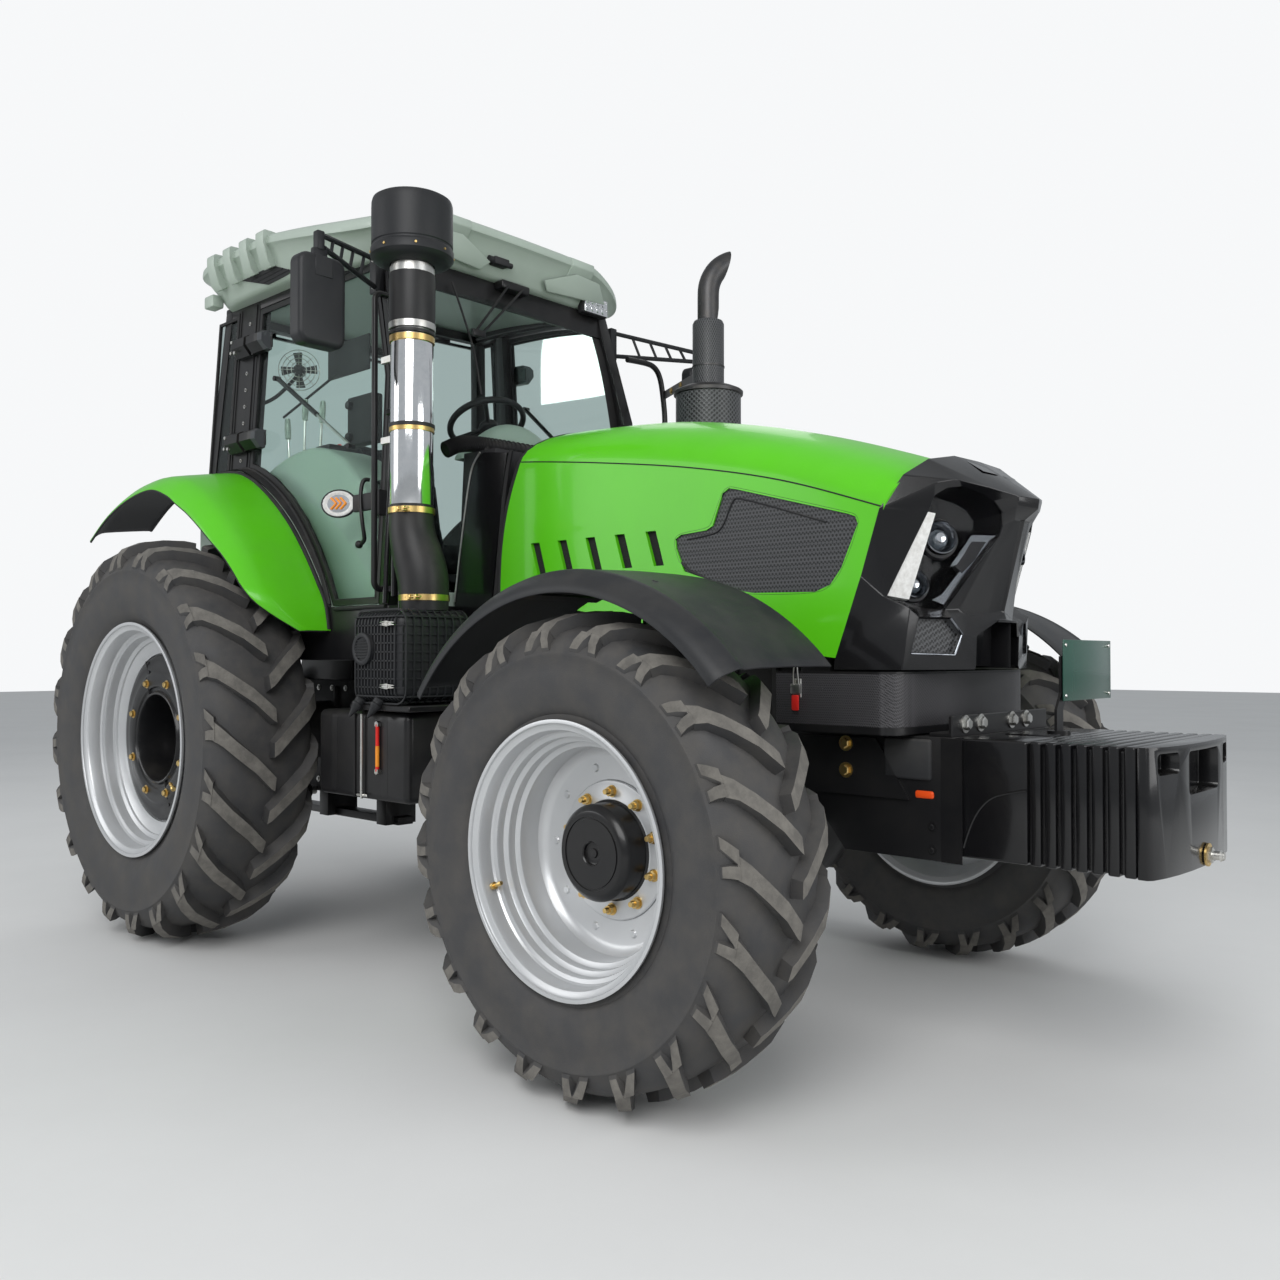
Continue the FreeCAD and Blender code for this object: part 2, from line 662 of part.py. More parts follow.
# Front axle: beam with ends for the kingpins, differential housing and steering cylinder
boss_half = kingpin_drop - running_gap
beam_half = fused(
    post((axle_height - axle_half_height, axle_height + axle_half_height),
         ((front_x - 75, front_x + 75), (0, kingpin_half - 20)),
         ((front_x - 60, front_x + 60), (0, kingpin_half - 20))),
    rod("z", (front_x, kingpin_half, axle_height - boss_half), boss_half * 2, kingpin_radius - 8),
)
cylinder_x = front_x - steer_arm
cylinder_height = knuckle_low - 24
front_axle = fused(
    joined_sides(beam_half),
    turned("x", (front_x, 0, axle_height), [
        (-165, 0), (-165, diff_radius - 60), (-90, diff_radius), (60, diff_radius),
        (140, 80), (230, 80), (230, 0),
    ]),
    rod("x", (front_x - 330, 0, axle_height), 200, 80),
    rod("y", (cylinder_x, -230, cylinder_height), 460, steer_rod_radius * 2.2),
    block((cylinder_x, front_x), (-40, 40), (cylinder_height - 20, cylinder_height + 60)),
)
node("front_axle", cut(front_axle, rod("y", (cylinder_x, -260, cylinder_height), 520,
                                      steer_rod_radius + running_gap)))

# Steering rod: slides through its cylinder and ends in an eye under each steering arm
rod_eye_top = knuckle_low - running_gap
rod_eye = fused(
    rod("z", (cylinder_x, kingpin_half, rod_eye_top - 46), 46, 26),
    block((cylinder_x - 14, cylinder_x + 14), (kingpin_half - 120, kingpin_half - 10),
          (rod_eye_top - 40, rod_eye_top - 4)),
)
node("steer_rod", fused(
    rod("y", (cylinder_x, 100 - kingpin_half, cylinder_height), kingpin_half * 2 - 200,
        steer_rod_radius),
    rod_eye,
    mirrored(rod_eye),
))

# Frame rails with the hangers for the front axle
rail = block((rear_x + rail_rear, carrier_rear), (rail_inner, rail_inner + rail_wall),
             (rail_low, rail_top))
hangers = [
    block((front_x + at, front_x + at + 46), spread(rail_inner + 10), (axle_height + 68, rail_low + 60))
    for at in (-300, 170)
]
main_frame = fused(
    both_sides(rail),
    *hangers,
    block((carrier_rear - 60, carrier_rear), spread(rail_inner + 10), (rail_low, rail_top)),
    block((rear_x + rail_rear, rear_x + rail_rear + 60), spread(rail_inner + 10),
          (rail_low, rail_low + 120)),
)
node("main_frame", cut(main_frame,
                       rod("x", (front_x - 340, 0, axle_height), 640, 80 + running_gap)))

# Engine and radiator, closed in by the bonnet: plain blocks at their real place and size
engine = block((rear_x + engine_rear, rear_x + engine_rear + engine_length), spread(engine_half),
               (rail_low + 130, engine_top))
sump = block((rear_x + engine_rear + 80, front_x - 340), spread(engine_half - 60),
             (engine_low, rail_low + 130))
tray_top = rail_top + band_tray
radiator = block((rear_x + bonnet_front - 240, rear_x + bonnet_front - 130), spread(bonnet_half - 70),
                 (tray_top, nose_low + 515))
node("engine_block", grouped(fused(engine, sump), radiator))

# Gearbox and rear axle housings, one casting group
tube = rod("y", (rear_x, 0, rear_tyre_radius), axle_end, axle_tube_radius)
end_flange = rod("y", (rear_x, axle_end - 40, rear_tyre_radius), 40, axle_flange_radius)
gearbox = fused(
    block((rear_x - gearbox_rear, rear_x + 420), spread(gearbox_half), (gearbox_low, gearbox_top)),
    block((rear_x + 400, rear_x + rail_rear), spread(gearbox_half - 40),
          (gearbox_low + 60, gearbox_top - 60)),
    block((rear_x + rail_rear, rear_x + engine_rear), spread(rail_inner), (rail_low + 120, gearbox_top - 90)),
    tube,
    mirrored(tube),
    end_flange,
    mirrored(end_flange),
    rod("x", (rear_x - gearbox_rear - 90, 0, gearbox_low + 110), 100, shaft_radius),
    rod("y", (rear_x - lift_at, -gearbox_half - 60, lift_height), gearbox_half * 2 + 120, 45),
)
node("gearbox", gearbox)

# Ballast carrier and block at the front
node("weight_carrier", fused(
    block((carrier_rear, block_rear), spread(rail_inner + rail_wall), (carrier_low + 20, rail_top)),
    both_sides(prism("XZ", [
        (carrier_rear - 170, rail_top),
        (carrier_rear - 170, rail_top - 120),
        (carrier_rear + 20, carrier_low),
        (block_rear, carrier_low),
        (block_rear, rail_top),
    ], rail_inner + rail_wall, carrier_half)),
))
block_plan = [
    (block_rear, -block_half),
    (block_front - block_bulge, -block_half),
    (block_front - block_bulge / 4, -block_half * 0.6),
    (block_front, 0),
    (block_front - block_bulge / 4, block_half * 0.6),
    (block_front - block_bulge, block_half),
    (block_rear, block_half),
]
rib_grooves = [
    block((block_front - block_bulge - 40 - step * 36, block_front - block_bulge - 28 - step * 36),
          (block_half - 18, block_half + 1), (block_low - 1, block_top + 1))
    for step in range(7)
]
handholds = [
    block((block_front - 60, block_front + 1), (at, at + 90), (block_top - 150, block_top - 60))
    for at in (-45, -330, 240)
]
node("front_weight", cut(prism("XY", block_plan, block_low, block_top),
                         *rib_grooves, *[mirrored(groove) for groove in rib_grooves], *handholds))
node("tow_pin", fused(
    rod("x", (block_front, 0, tow_pin_height), tow_pin_reach, tow_pin_radius),
    rod("x", (block_front, 0, tow_pin_height), 12, tow_pin_radius * 2),
))
sign_x = block_rear + 170
node("sign_plate", fused(
    rod("z", (sign_x, 0, block_top), 12, 34),
    block((sign_x - 12, sign_x + 12), (-12, 12), (block_top, sign_low + 40)),
    block((sign_x - 12, sign_x + 12), (-12, 60), (sign_low + 16, sign_low + 40)),
    block((sign_x + 11, sign_x + 14), (0, sign_width), (sign_low, sign_low + sign_height)),
))

# Mesh band round the radiator, on its tray
def band_plan(inset):
    corner = band_corner * 0.3
    front = rear_x + band_front - inset
    half = band_half - inset
    side = [
        (rear_x + band_rear, half),
        (front - band_corner, half),
        (front - corner, half - corner),
        (front, half - band_corner),
    ]
    return side + [(x, -y) for x, y in reversed(side)]


node("radiator_band", fused(
    cut(prism("XY", band_plan(0), tray_top - 1, band_top),
        prism("XY", band_plan(band_wall), tray_top - 2, band_top + 1),
        block((rear_x + band_rear - 1, rear_x + band_rear + 30), spread(band_half - band_wall),
              (tray_top - 2, band_top + 1))),
    prism("XY", band_plan(0), rail_top, tray_top),
))

# Bonnet: shell through five sections, each flat at the sides and crowned on top
bonnet_table = (
    # share of length, then how far crown, shoulder and lower edge lie below the rear crown
    (0.0, 0, 150, 665),
    (0.28, 10, 180, 735),
    (0.55, 60, 255, 805),
    (0.8, 160, 370, 870),
    (1.0, 250, 470, 910),
)


def bonnet_section(crown, shoulder, edge, inset):
    half = bonnet_half - inset
    side = [
        (half, edge),
        (half, shoulder - inset),
        (half - 30, (crown + shoulder) / 2 + 18 - inset),
        (half * 0.62, crown - 34 - inset),
        (half * 0.25, crown - inset),
    ]
    return side + [(-y, z) for y, z in reversed(side)]


bonnet_length = bonnet_front - bonnet_rear


def bonnet_solid(inset, overrun):
    sections = []
    for index, (share, *drops) in enumerate(bonnet_table):
        crown, shoulder, edge = (bonnet_crown - drop for drop in drops)
        at = rear_x + bonnet_rear + bonnet_length * share
        if index == 0:
            at = at - overrun
        if index == len(bonnet_table) - 1:
            at = at + overrun
        low = edge - 2 if overrun else edge
        sections.append((at, bonnet_section(crown, shoulder, low, inset)))
    return lofted("YZ", sections)


slots = []
for step in range(5):
    x = rear_x + slot_first + slot_pitch * step
    slots.append(prism("XZ", [
        (x + 40, slot_low), (x + 40 + slot_width, slot_low), (x + slot_width, slot_top), (x, slot_top),
    ], bonnet_half - bonnet_wall - 5, bonnet_half + 5))
mesh_points = [(2480, 610), (2460, 495), (2590, 480), (2620, 465), (2670, 355), (3095, 485),
               (3060, 655), (3000, 700), (2770, 695)]
mesh_outline = [(rear_x + x, bonnet_crown - drop) for x, drop in mesh_points]
mesh_hole = prism("XZ", mesh_outline, bonnet_half - bonnet_wall - 5, bonnet_half + 5)
openings = slots + [mesh_hole]
ear_y = (bonnet_half - 200, bonnet_half - 180)
ear_root = rear_x + bonnet_rear
ear_low = hinge_height - 30
ear = cut(
    fused(
        block((rear_x + hinge_at - 30, ear_root + 40), ear_y, (ear_low, hinge_height + 30)),
        block((ear_root, ear_root + 40), ear_y, (ear_low, bonnet_crown - 35)),
    ),
    rod("y", (rear_x + hinge_at, ear_y[0] - 5, hinge_height), 30, hinge_pin + running_gap),
)
node("bonnet", fused(
    cut(bonnet_solid(0, 0), bonnet_solid(bonnet_wall, 5), *openings,
        *[mirrored(piece) for piece in openings]),
    ear,
    mirrored(ear),
))
mesh_seat = (bonnet_half - bonnet_wall, bonnet_half - 8)
mesh_fit = prism("XZ", mesh_outline, *mesh_seat)
node("bonnet_mesh", both_sides(mesh_fit))

# Nose: a hollow cowl that carries the headlamps, one level after another
nose_table = (
    # rise from the underside, then back from the tip: side, shoulder; shoulder y; front
    (0, 375, 295, 400, 125),
    (235, 375, 265, 400, 70),
    (495, 375, 195, 385, 0),
    (585, 375, 325, 345, 185),
    (653, 375, 369, 240, 355),
)


def nose_solid(inset, overrun):
    sections = []
    tip = rear_x + nose_tip
    for index, (rise, side_back, shoulder_back, shoulder_y, front_back) in enumerate(nose_table):
        level = nose_low + rise
        if index == 0 and overrun:
            level = level - overrun
        back = tip - side_back + 0.5 - overrun
        wide = bonnet_half - (bonnet_half - shoulder_y) * 0.35 - inset
        side = [
            (back, wide),
            (tip - shoulder_back - inset, shoulder_y - inset),
            (tip - front_back - 70 - inset, shoulder_y * 0.45),
            (tip - front_back - inset, 0),
        ]
        points = side + [(x, -y) for x, y in reversed(side[:-1])]
        sections.append((level - (inset * 0.6 if index == len(nose_table) - 1 else 0), points))
    return lofted("XY", sections)


nose_shell = cut(nose_solid(0, 0), nose_solid(25, 3))
lamp_face = [(395, nose_low + 225), (375, nose_low + 425), (130, nose_low + 395), (215, nose_low + 185)]
lamp_block = prism("YZ", lamp_face, rear_x + nose_tip - 325, rear_x + nose_tip + 20)
lamp_blocks = both_sides(lamp_block)
node("nose_cowl", cut(nose_shell, lamp_blocks))
lamps = doc.addObject("Part::Common", "lamps")
lamps.Base = copied(nose_shell)
lamps.Tool = copied(lamp_blocks)
node("headlamps", lamps)

# Cab: floor and wheel houses, posts, roof, glass and doors
hinge_levels = (rear_sill + 134, rear_sill + 594)
lean = (cab_half_low - cab_half_top) / (roof_low - sill_height)


def half_at(height):
    """Half width of the cab at a height."""
    return cab_half_low - (height - sill_height) * lean


cab_back = rear_x - cab_rear
front_low = rear_x + cab_front
front_high = rear_x + cab_front_top
waist_half = half_at(waist_height)
waist_x = rear_x + cab_front - 20
rear_wall_top = rear_sill - 380
screen_low = sill_height + 60
wheel_house = prism("XZ", [
    (cab_back, floor_height),
    (front_low, floor_height),
    (front_low, sill_height),
    (rear_x + 810, sill_height),
    (rear_x + 738, rear_sill - 548),
    (rear_x + 648, rear_sill - 430),
    (rear_x + 536, rear_sill - 306),
    (rear_x + 415, rear_sill - 202),
    (rear_x + 282, rear_sill - 112),
    (rear_x + 155, rear_sill - 48),
    (rear_x + hinge_post, rear_sill),
    (cab_back, rear_sill),
], cab_half_low - 30, cab_half_low)
node("cab_floor", fused(
    block((cab_back, front_low), spread(cab_half_low), (floor_height - floor_wall, floor_height)),
    both_sides(wheel_house),
    block((cab_back, cab_back + 30), spread(cab_half_low - 30), (floor_height, rear_wall_top)),
    block((front_low - 30, front_low), spread(cab_half_low), (floor_height, sill_height)),
    block((front_low - 30, front_low), spread(half_at(screen_low) - post_width - 1),
          (sill_height, screen_low)),
    block((rear_x - 260, rear_x + 200), spread(gearbox_half), (gearbox_top, floor_height - floor_wall)),
))


def cab_post(z, x_low, x_top, depth):
    """A post that leans in with the cab's side."""
    return post(z, ((x_low, x_low + depth), (half_at(z[0]) - post_width, half_at(z[0]))),
                ((x_top, x_top + depth), (half_at(z[1]) - post_width, half_at(z[1]))))


posts = [
    cab_post((sill_height, waist_height), front_low - post_width, waist_x - post_width, post_width),
    cab_post((waist_height, roof_low), waist_x - post_width, front_high - post_width, post_width),
    cab_post((rear_sill, roof_low), rear_x + hinge_post - post_width, rear_x + hinge_post - post_width,
             post_width),
    cab_post((rear_sill, roof_low), cab_back, cab_back + 60, post_width),
]
# Roof: two tapers, the lower one widening to the rim
roof_x = (rear_x - roof_rear, rear_x + roof_front)
roof_y = spread(roof_half)
node("cab_roof", fused(
    post((roof_low, roof_rim),
         ((roof_x[0] + 70, roof_x[1] - 90), spread(roof_half - 90)), (roof_x, roof_y)),
    post((roof_rim, roof_top), (roof_x, roof_y),
         ((roof_x[0] + 180, roof_x[1] - 260), spread(roof_half - 230))),
))

# Windscreen, lower front glass and the fixed side and rear glass
screen = fused(
    post((screen_low, waist_height),
         ((front_low - 30, front_low - 30 + glass_wall), spread(half_at(screen_low) - post_width)),
         ((waist_x - 30, waist_x - 30 + glass_wall), spread(waist_half - post_width))),
    post((waist_height, roof_low - 40),
         ((waist_x - 30, waist_x - 30 + glass_wall), spread(waist_half - post_width)),
         ((front_high - 22, front_high - 22 + glass_wall), spread(half_at(roof_low) - post_width - 3))),
)
node("windscreen", screen)
rear_glass = fused(
    block((cab_back + 10, cab_back + 10 + glass_wall), spread(cab_half_low - 30),
          (rear_wall_top + running_gap, rear_sill)),
    post((rear_sill, roof_low - 40),
         ((cab_back + 10, cab_back + 10 + glass_wall), spread(half_at(rear_sill) - post_width)),
         ((cab_back + 66, cab_back + 66 + glass_wall), spread(half_at(roof_low) - post_width - 4))),
)
quarter = post((rear_sill, roof_low - 40),
               ((cab_back + post_width, rear_x + hinge_post - post_width),
                (half_at(rear_sill) - 20, half_at(rear_sill) - 20 + glass_wall)),
               ((cab_back + post_width + 62, rear_x + hinge_post - post_width),
                (half_at(roof_low - 40) - 20, half_at(roof_low - 40) - 20 + glass_wall)))
node("cab_glass", grouped(rear_glass, quarter, mirrored(quarter)))

# Doors: each hangs on the post behind it and leans with the cab's side. Before it leans, a door's
# outer face is at 0.
door_gap = 6
door_rail = 38
door_low = sill_height + door_gap
door_tall = roof_low - 40 - door_gap - door_low
door_lean = math.degrees(math.atan(float(lean)))
door_outline = [
    (rear_x + hinge_post + door_gap, rear_sill + 8 - door_low),
    (rear_x + 160, rear_sill - 30 - door_low),
    (rear_x + 290, rear_sill - 94 - door_low),
    (rear_x + 424, rear_sill - 184 - door_low),
    (rear_x + 548, rear_sill - 290 - door_low),
    (rear_x + 661, rear_sill - 416 - door_low),
    (rear_x + 753, rear_sill - 536 - door_low),
    (rear_x + 828, door_gap),
    (front_low - post_width - door_gap, door_gap),
    (waist_x - post_width - door_gap, waist_height - door_low),
    (front_high - post_width - door_gap, door_tall),
    (rear_x + hinge_post + door_gap, door_tall),
]


def inset_outline(points, amount):
    """The same outline pulled in evenly: each corner moves along its two edges' normals."""
    count = len(points)
    result = []
    for index in range(count):
        before = points[index - 1]
        here = points[index]
        after = points[(index + 1) % count]
        into = (float(here[0]) - float(before[0]), float(here[1]) - float(before[1]))
        out = (float(after[0]) - float(here[0]), float(after[1]) - float(here[1]))
        into_length = math.hypot(*into)
        out_length = math.hypot(*out)
        normal_in = (-into[1] / into_length, into[0] / into_length)
        normal_out = (-out[1] / out_length, out[0] / out_length)
        scale = amount / (1 + normal_in[0] * normal_out[0] + normal_in[1] * normal_out[1])
        result.append((here[0] + scale * (normal_in[0] + normal_out[0]),
                       here[1] + scale * (normal_in[1] + normal_out[1])))
    return result


def leaning(piece):
    """Sets a flat piece into the leaning plane of the cab's left side."""
    piece.Placement = FreeCAD.Placement(
        FreeCAD.Vector(0, float(half_at(door_low)), float(door_low)),
        FreeCAD.Rotation(FreeCAD.Vector(1, 0, 0), door_lean))
    return piece


hinge_x = rear_x + hinge_post
ear_inner = 25
ear_outer = 45
barrel_half = ear_inner - running_gap
door_hinges = []
post_hinges = []
for level in hinge_levels:
    rise = level - door_low
    barrel = rod("z", (hinge_x, hinge_out, rise - barrel_half), barrel_half * 2, hinge_barrel)
    leaf = block((hinge_x + 4, hinge_x + 110), (-3, 10), (rise - barrel_half, rise + barrel_half))
    bore = rod("z", (hinge_x, hinge_out, rise - ear_inner - 5), ear_inner * 2 + 10, door_pin + running_gap)
    door_hinges.append(cut(fused(barrel, leaf), bore))
    pin = rod("z", (hinge_x, hinge_out, rise - ear_outer), ear_outer * 2, door_pin)
    ears = [block((hinge_x - 44, hinge_x + 5), (0, hinge_out * 2 - 2), (rise + low, rise + high))
            for low, high in ((-ear_outer, -ear_inner), (ear_inner, ear_outer))]
    post_hinges.append(leaning(fused(pin, *ears)))
pane_outline = inset_outline(door_outline, door_rail)
door_frame = leaning(fused(
    cut(prism("XZ", door_outline, -door_wall, -2), prism("XZ", pane_outline, -door_wall - 5, 10)),
    *door_hinges,
))
door_pane = leaning(grouped(prism("XZ", pane_outline, -22, -22 + glass_wall)))
node("door_left", door_frame)
node("door_right", mirrored(door_frame))
node("door_glass_left", door_pane)
node("door_glass_right", mirrored(door_pane))

header = block((cab_back + 60, front_high), (half_at(roof_low) - post_width, half_at(roof_low)),
               (roof_low - 40, roof_low))
node("cab_frame", fused(
    *posts,
    *post_hinges,
    *[mirrored(piece) for piece in posts + post_hinges],
    header,
    mirrored(header),
    block((front_high - post_width, front_high), spread(half_at(roof_low) - 10), (roof_low - 40, roof_low)),
    block((cab_back + 60, cab_back + 60 + post_width), spread(half_at(roof_low) - 10),
          (roof_low - 40, roof_low)),
))

# Cowl between the cab and the bonnet
cowl_front = rear_x + bonnet_rear - 130
hinge_lug = fused(
    block((cowl_front - 30, rear_x + hinge_at + 20), (ear_y[1] + running_gap, ear_y[1] + 20),
          (hinge_height - 30, hinge_height + 20)),
    rod("y", (rear_x + hinge_at, ear_y[0] - 10, hinge_height), 50, hinge_pin),
)
node("cowl", fused(
    post((gearbox_top + 60, hinge_height + 60),
         ((front_low, cowl_front - 10), spread(bonnet_half - 30)),
         ((front_low + 20, cowl_front + 10), spread(bonnet_half - 60))),
    hinge_lug,
    mirrored(hinge_lug),
))

# Inside the cab: dash, side console with levers, steering wheel and seat
dash = block((front_low - 330, front_low - 50), spread(180), (floor_height, floor_height + dash_rise))
console_top = floor_height + console_rise
console = block((rear_x + 60, rear_x + 620), (-640, -420), (floor_height, console_top))
levers = [rod("z", (rear_x + at, -530, console_top), 180, 12) for at in (300, 400, 500)]
node("controls", grouped(dash, fused(console, *levers)))
wheel_tilt = FreeCAD.Rotation(FreeCAD.Vector(0, 1, 0), -28)
steering = fused(
    turned("z", (0, 0, 0), [(-10, 165), (10, 165), (10, 190), (-10, 190)]),
    turned("z", (0, 0, 0), [(-12, 0), (12, 0), (12, 45), (-12, 45)]),
    block((-175, 175), (-14, 14), (-6, 6)),
    rod("z", (0, 0, -90), 90, 22),
)
steering.Placement = FreeCAD.Placement(
    FreeCAD.Vector(float(front_low) - 340, 0, float(floor_height + dash_rise) + 90), wheel_tilt)
node("steering_wheel", steering)
seat_x = rear_x + 40
seat_low = floor_height + seat_rise
node("driver_seat", fused(
    block((seat_x, seat_x + 480), spread(240), (seat_low, seat_low + 140)),
    post((seat_low + 80, seat_low + 730), ((seat_x, seat_x + 130), spread(230)),
         ((seat_x - 90, seat_x + 10), spread(200))),
    block((seat_x + 80, seat_x + 400), spread(180), (floor_height, seat_low)),
))

# Rear fenders: arched panels fixed to the cab's wheel houses. The inner edge is the fender's crest,
# from which the panel falls away to its lip. At the front foot the lip turns in towards the cab.
fender_crest = [(rear_x + run, rear_sill - drop) for run, drop in (
    (-875, 220), (-667, 114), (-421, 41), (-165, 16), (20, 23), (150, 61), (270, 124), (400, 213),
    (520, 316), (630, 438), (720, 556), (785, 654), (812, 765))]
fender_lip = [(rear_x + run, rear_sill - drop) for run, drop in (
    (-822, 304), (-630, 206), (-402, 139), (-165, 114), (0, 152), (100, 200), (205, 251), (310, 314),
    (420, 386), (535, 461), (648, 558), (718, 636), (795, 765))]
fender_fold = [((crest[0] + lip[0]) / 2, (crest[1] + lip[1]) / 2)
               for crest, lip in zip(fender_crest, fender_lip)]


def band(points, depth):
    """A band of even thickness below a line of points."""
    last = len(points) - 1
    lower = []
    for index, point in enumerate(points):
        before = points[max(index - 1, 0)]
        after = points[min(index + 1, last)]
        run = float(after[0]) - float(before[0])
        rise = float(after[1]) - float(before[1])
        length = math.hypot(run, rise)
        lower.append((point[0] + depth * (rise / length), point[1] - depth * (run / length)))
    return points + lower[::-1]


fender_panel = lofted("XZ", [
    (cab_half_low, band(fender_crest, fender_wall)),
    (rear_fender_outer - 50, band(fender_fold, fender_wall)),
    (rear_fender_outer, band(fender_lip, fender_wall)),
])
fender_corner = prism("YZ", [
    (rear_fender_outer + 20, rear_sill - 586),
    (rear_fender_outer - 15, rear_sill - 631),
    (rear_fender_outer - 95, rear_sill - 696),
    (rear_fender_outer - 195, rear_sill - 771),
    (rear_fender_outer - 195, rear_sill - 806),
    (rear_fender_outer + 20, rear_sill - 806),
], rear_x + 500, rear_x + 1000)
rear_fender = cut(fender_panel, fender_corner)
node("rear_fenders", both_sides(rear_fender))

# Air intake at the right and exhaust at the left
stack_x = rear_x + stack_at
node("intake_cap", fused(
    turned("z", (stack_x, -stack_half, 0), [
        (cap_low, 0), (cap_low, 80), (cap_low + 30, cap_radius - 6), (cap_low + 70, cap_radius),
        (cap_top - 30, cap_radius - 2), (cap_top, cap_radius - 20), (cap_top, 0),
    ]),
    rod("z", (stack_x, -stack_half, pipe_top + running_gap), cap_low - pipe_top, stack_radius + 6),
))
node("intake_pipe", rod("z", (stack_x, -stack_half, pipe_low), pipe_top - pipe_low, stack_radius))
node("air_box", fused(
    block((rear_x + box_rear, rear_x + box_rear + box_length), (-box_outer, -box_inner),
          (box_low, box_top)),
    rod("z", (stack_x, -stack_half, box_top - 1), pipe_low - box_top + 1 - running_gap, stack_radius + 8),
    block((rear_x + box_rear + 60, rear_x + box_rear + 200), (60 - tank_outer, -box_inner - 40),
          (tank_top, box_low)),
))
exhaust_x = rear_x + exhaust_at
node("exhaust", fused(
    rod("z", (exhaust_x, exhaust_half, muffler_low), muffler_top - muffler_low, muffler_radius),
    rod("z", (exhaust_x, exhaust_half, muffler_top), shield_top - muffler_top, shield_radius),
    bent([(exhaust_x, exhaust_half, muffler_top), (exhaust_x, exhaust_half, exhaust_top),
          (exhaust_x + 85, exhaust_half, exhaust_top + 100)], exhaust_radius, 130),
    rod("z", (exhaust_x, exhaust_half, exhaust_port), muffler_low - exhaust_port, exhaust_radius),
    rod("y", (exhaust_x + 100, engine_half, exhaust_port), exhaust_half - engine_half, exhaust_radius),
    rod("x", (exhaust_x, exhaust_half, exhaust_port), 100, exhaust_radius),
))

# Tanks between the wheels, and the steps on the left
tank = block((rear_x + tank_rear, rear_x + tank_rear + tank_length), (tank_inner, tank_outer),
             (tank_low, tank_top))
tank_bracket = block((rear_x + tank_rear + 100, rear_x + tank_rear + 180),
                     (gearbox_half - 40, tank_inner), (tank_low + 60, tank_low + 140))
node("fuel_tanks", both_sides(fused(tank, tank_bracket)))
step_x = (rear_x + tank_rear + 20, rear_x + tank_rear + 360)
node("steps", fused(
    *[block(step_x, (tank_outer + 20, tank_outer + 180), (floor_height - drop, floor_height - drop + 24))
      for drop in (810, 520, 240)],
    *[block((x, x + 14), (tank_outer, tank_outer + 180), (floor_height - 830, floor_height - 100))
      for x in (step_x[0] - 14, step_x[1])],
))

# Mirrors, handrails and lamps
mirror_at = (front_low + 60, cab_half_low + 350, roof_low - 380)
mirror_rod = 11
mirror_root = half_at(roof_low - 60 - mirror_rod) + running_gap
mirror_arm = bent([(front_high - 10, mirror_root, roof_low - 60),
                   (front_high - 10, mirror_root + 70, roof_low - 60),
                   (mirror_at[0], mirror_at[1], mirror_at[2] + 230),
                   (mirror_at[0], mirror_at[1], mirror_at[2] + 130)], mirror_rod, 40)
mirror_head = block((mirror_at[0] - 35, mirror_at[0] + 35), (mirror_at[1] - 100, mirror_at[1] + 100),
                    (mirror_at[2] - 170, mirror_at[2] + 170))
node("mirrors", both_sides(fused(mirror_arm, mirror_head)))
rail_y = cab_half_low + 45
rail_rod = 12
rail_foot = sill_height + 60
rail_head = sill_height + 1230
handrail = bent([(front_low - 30, half_at(rail_foot - rail_rod) + running_gap, rail_foot),
                 (front_low - 30, rail_y, rail_foot),
                 (front_low - 30, rail_y, rail_head),
                 (front_low - 30, half_at(rail_head - rail_rod) + running_gap, rail_head)], rail_rod, 30)
node("handrails", both_sides(handrail))
node("lamps", both_sides(block((front_high + 10, front_high + 40), (500, 585), (roof_low - 70, roof_low))))

# Rear linkage: drawbar, top link, lift arms and lower links
node("drawbar", cut(
    fused(
        block((rear_x - drawbar_reach - 45, rear_x + 300), spread(45),
              (drawbar_low, drawbar_low + drawbar_wall)),
        block((rear_x - gearbox_rear + 40, rear_x - gearbox_rear + 120), spread(90),
              (drawbar_low, gearbox_low)),
        block((rear_x + 180, rear_x + 260), spread(90), (drawbar_low, gearbox_low)),
    ),
    rod("z", (rear_x - drawbar_reach, 0, drawbar_low - 5), drawbar_wall + 10, drawbar_bore)))
node("top_link", fused(
    rod("z", (rear_x - gearbox_rear - 60, 0, gearbox_top - 160), 560, 20),
    rod("y", (rear_x - gearbox_rear - 60, -25, gearbox_top + 400), 50, 38),
    block((rear_x - gearbox_rear - 80, rear_x - gearbox_rear), spread(40),
          (gearbox_top - 160, gearbox_top - 60)),
))
link_x = rear_x - link_front
eye_x = rear_x - rear_reach
eye_z = link_height - link_drop
lower_link = fused(
    prism("XZ", [
        (link_x, link_height - 30), (link_x, link_height + 30),
        (eye_x, eye_z + 30), (eye_x, eye_z - 30),
    ], link_half - 14, link_half + 14),
    rod("y", (link_x, link_half - 20, link_height), 40, link_eye_radius),
    rod("y", (eye_x, link_half - 22, eye_z), 44, link_eye_radius),
)
lower_link = cut(lower_link, rod("y", (eye_x, link_half - 30, eye_z), 60, link_radius),
                 rod("y", (link_x, link_half - 30, link_height), 60, 20 + running_gap))
node("lower_link_left", lower_link)
node("lower_link_right", mirrored(lower_link))
link_pin = rod("y", (link_x, gearbox_half, link_height), link_half + 30 - gearbox_half, 20)
node("link_pins", both_sides(link_pin))
lift_x = rear_x - lift_at
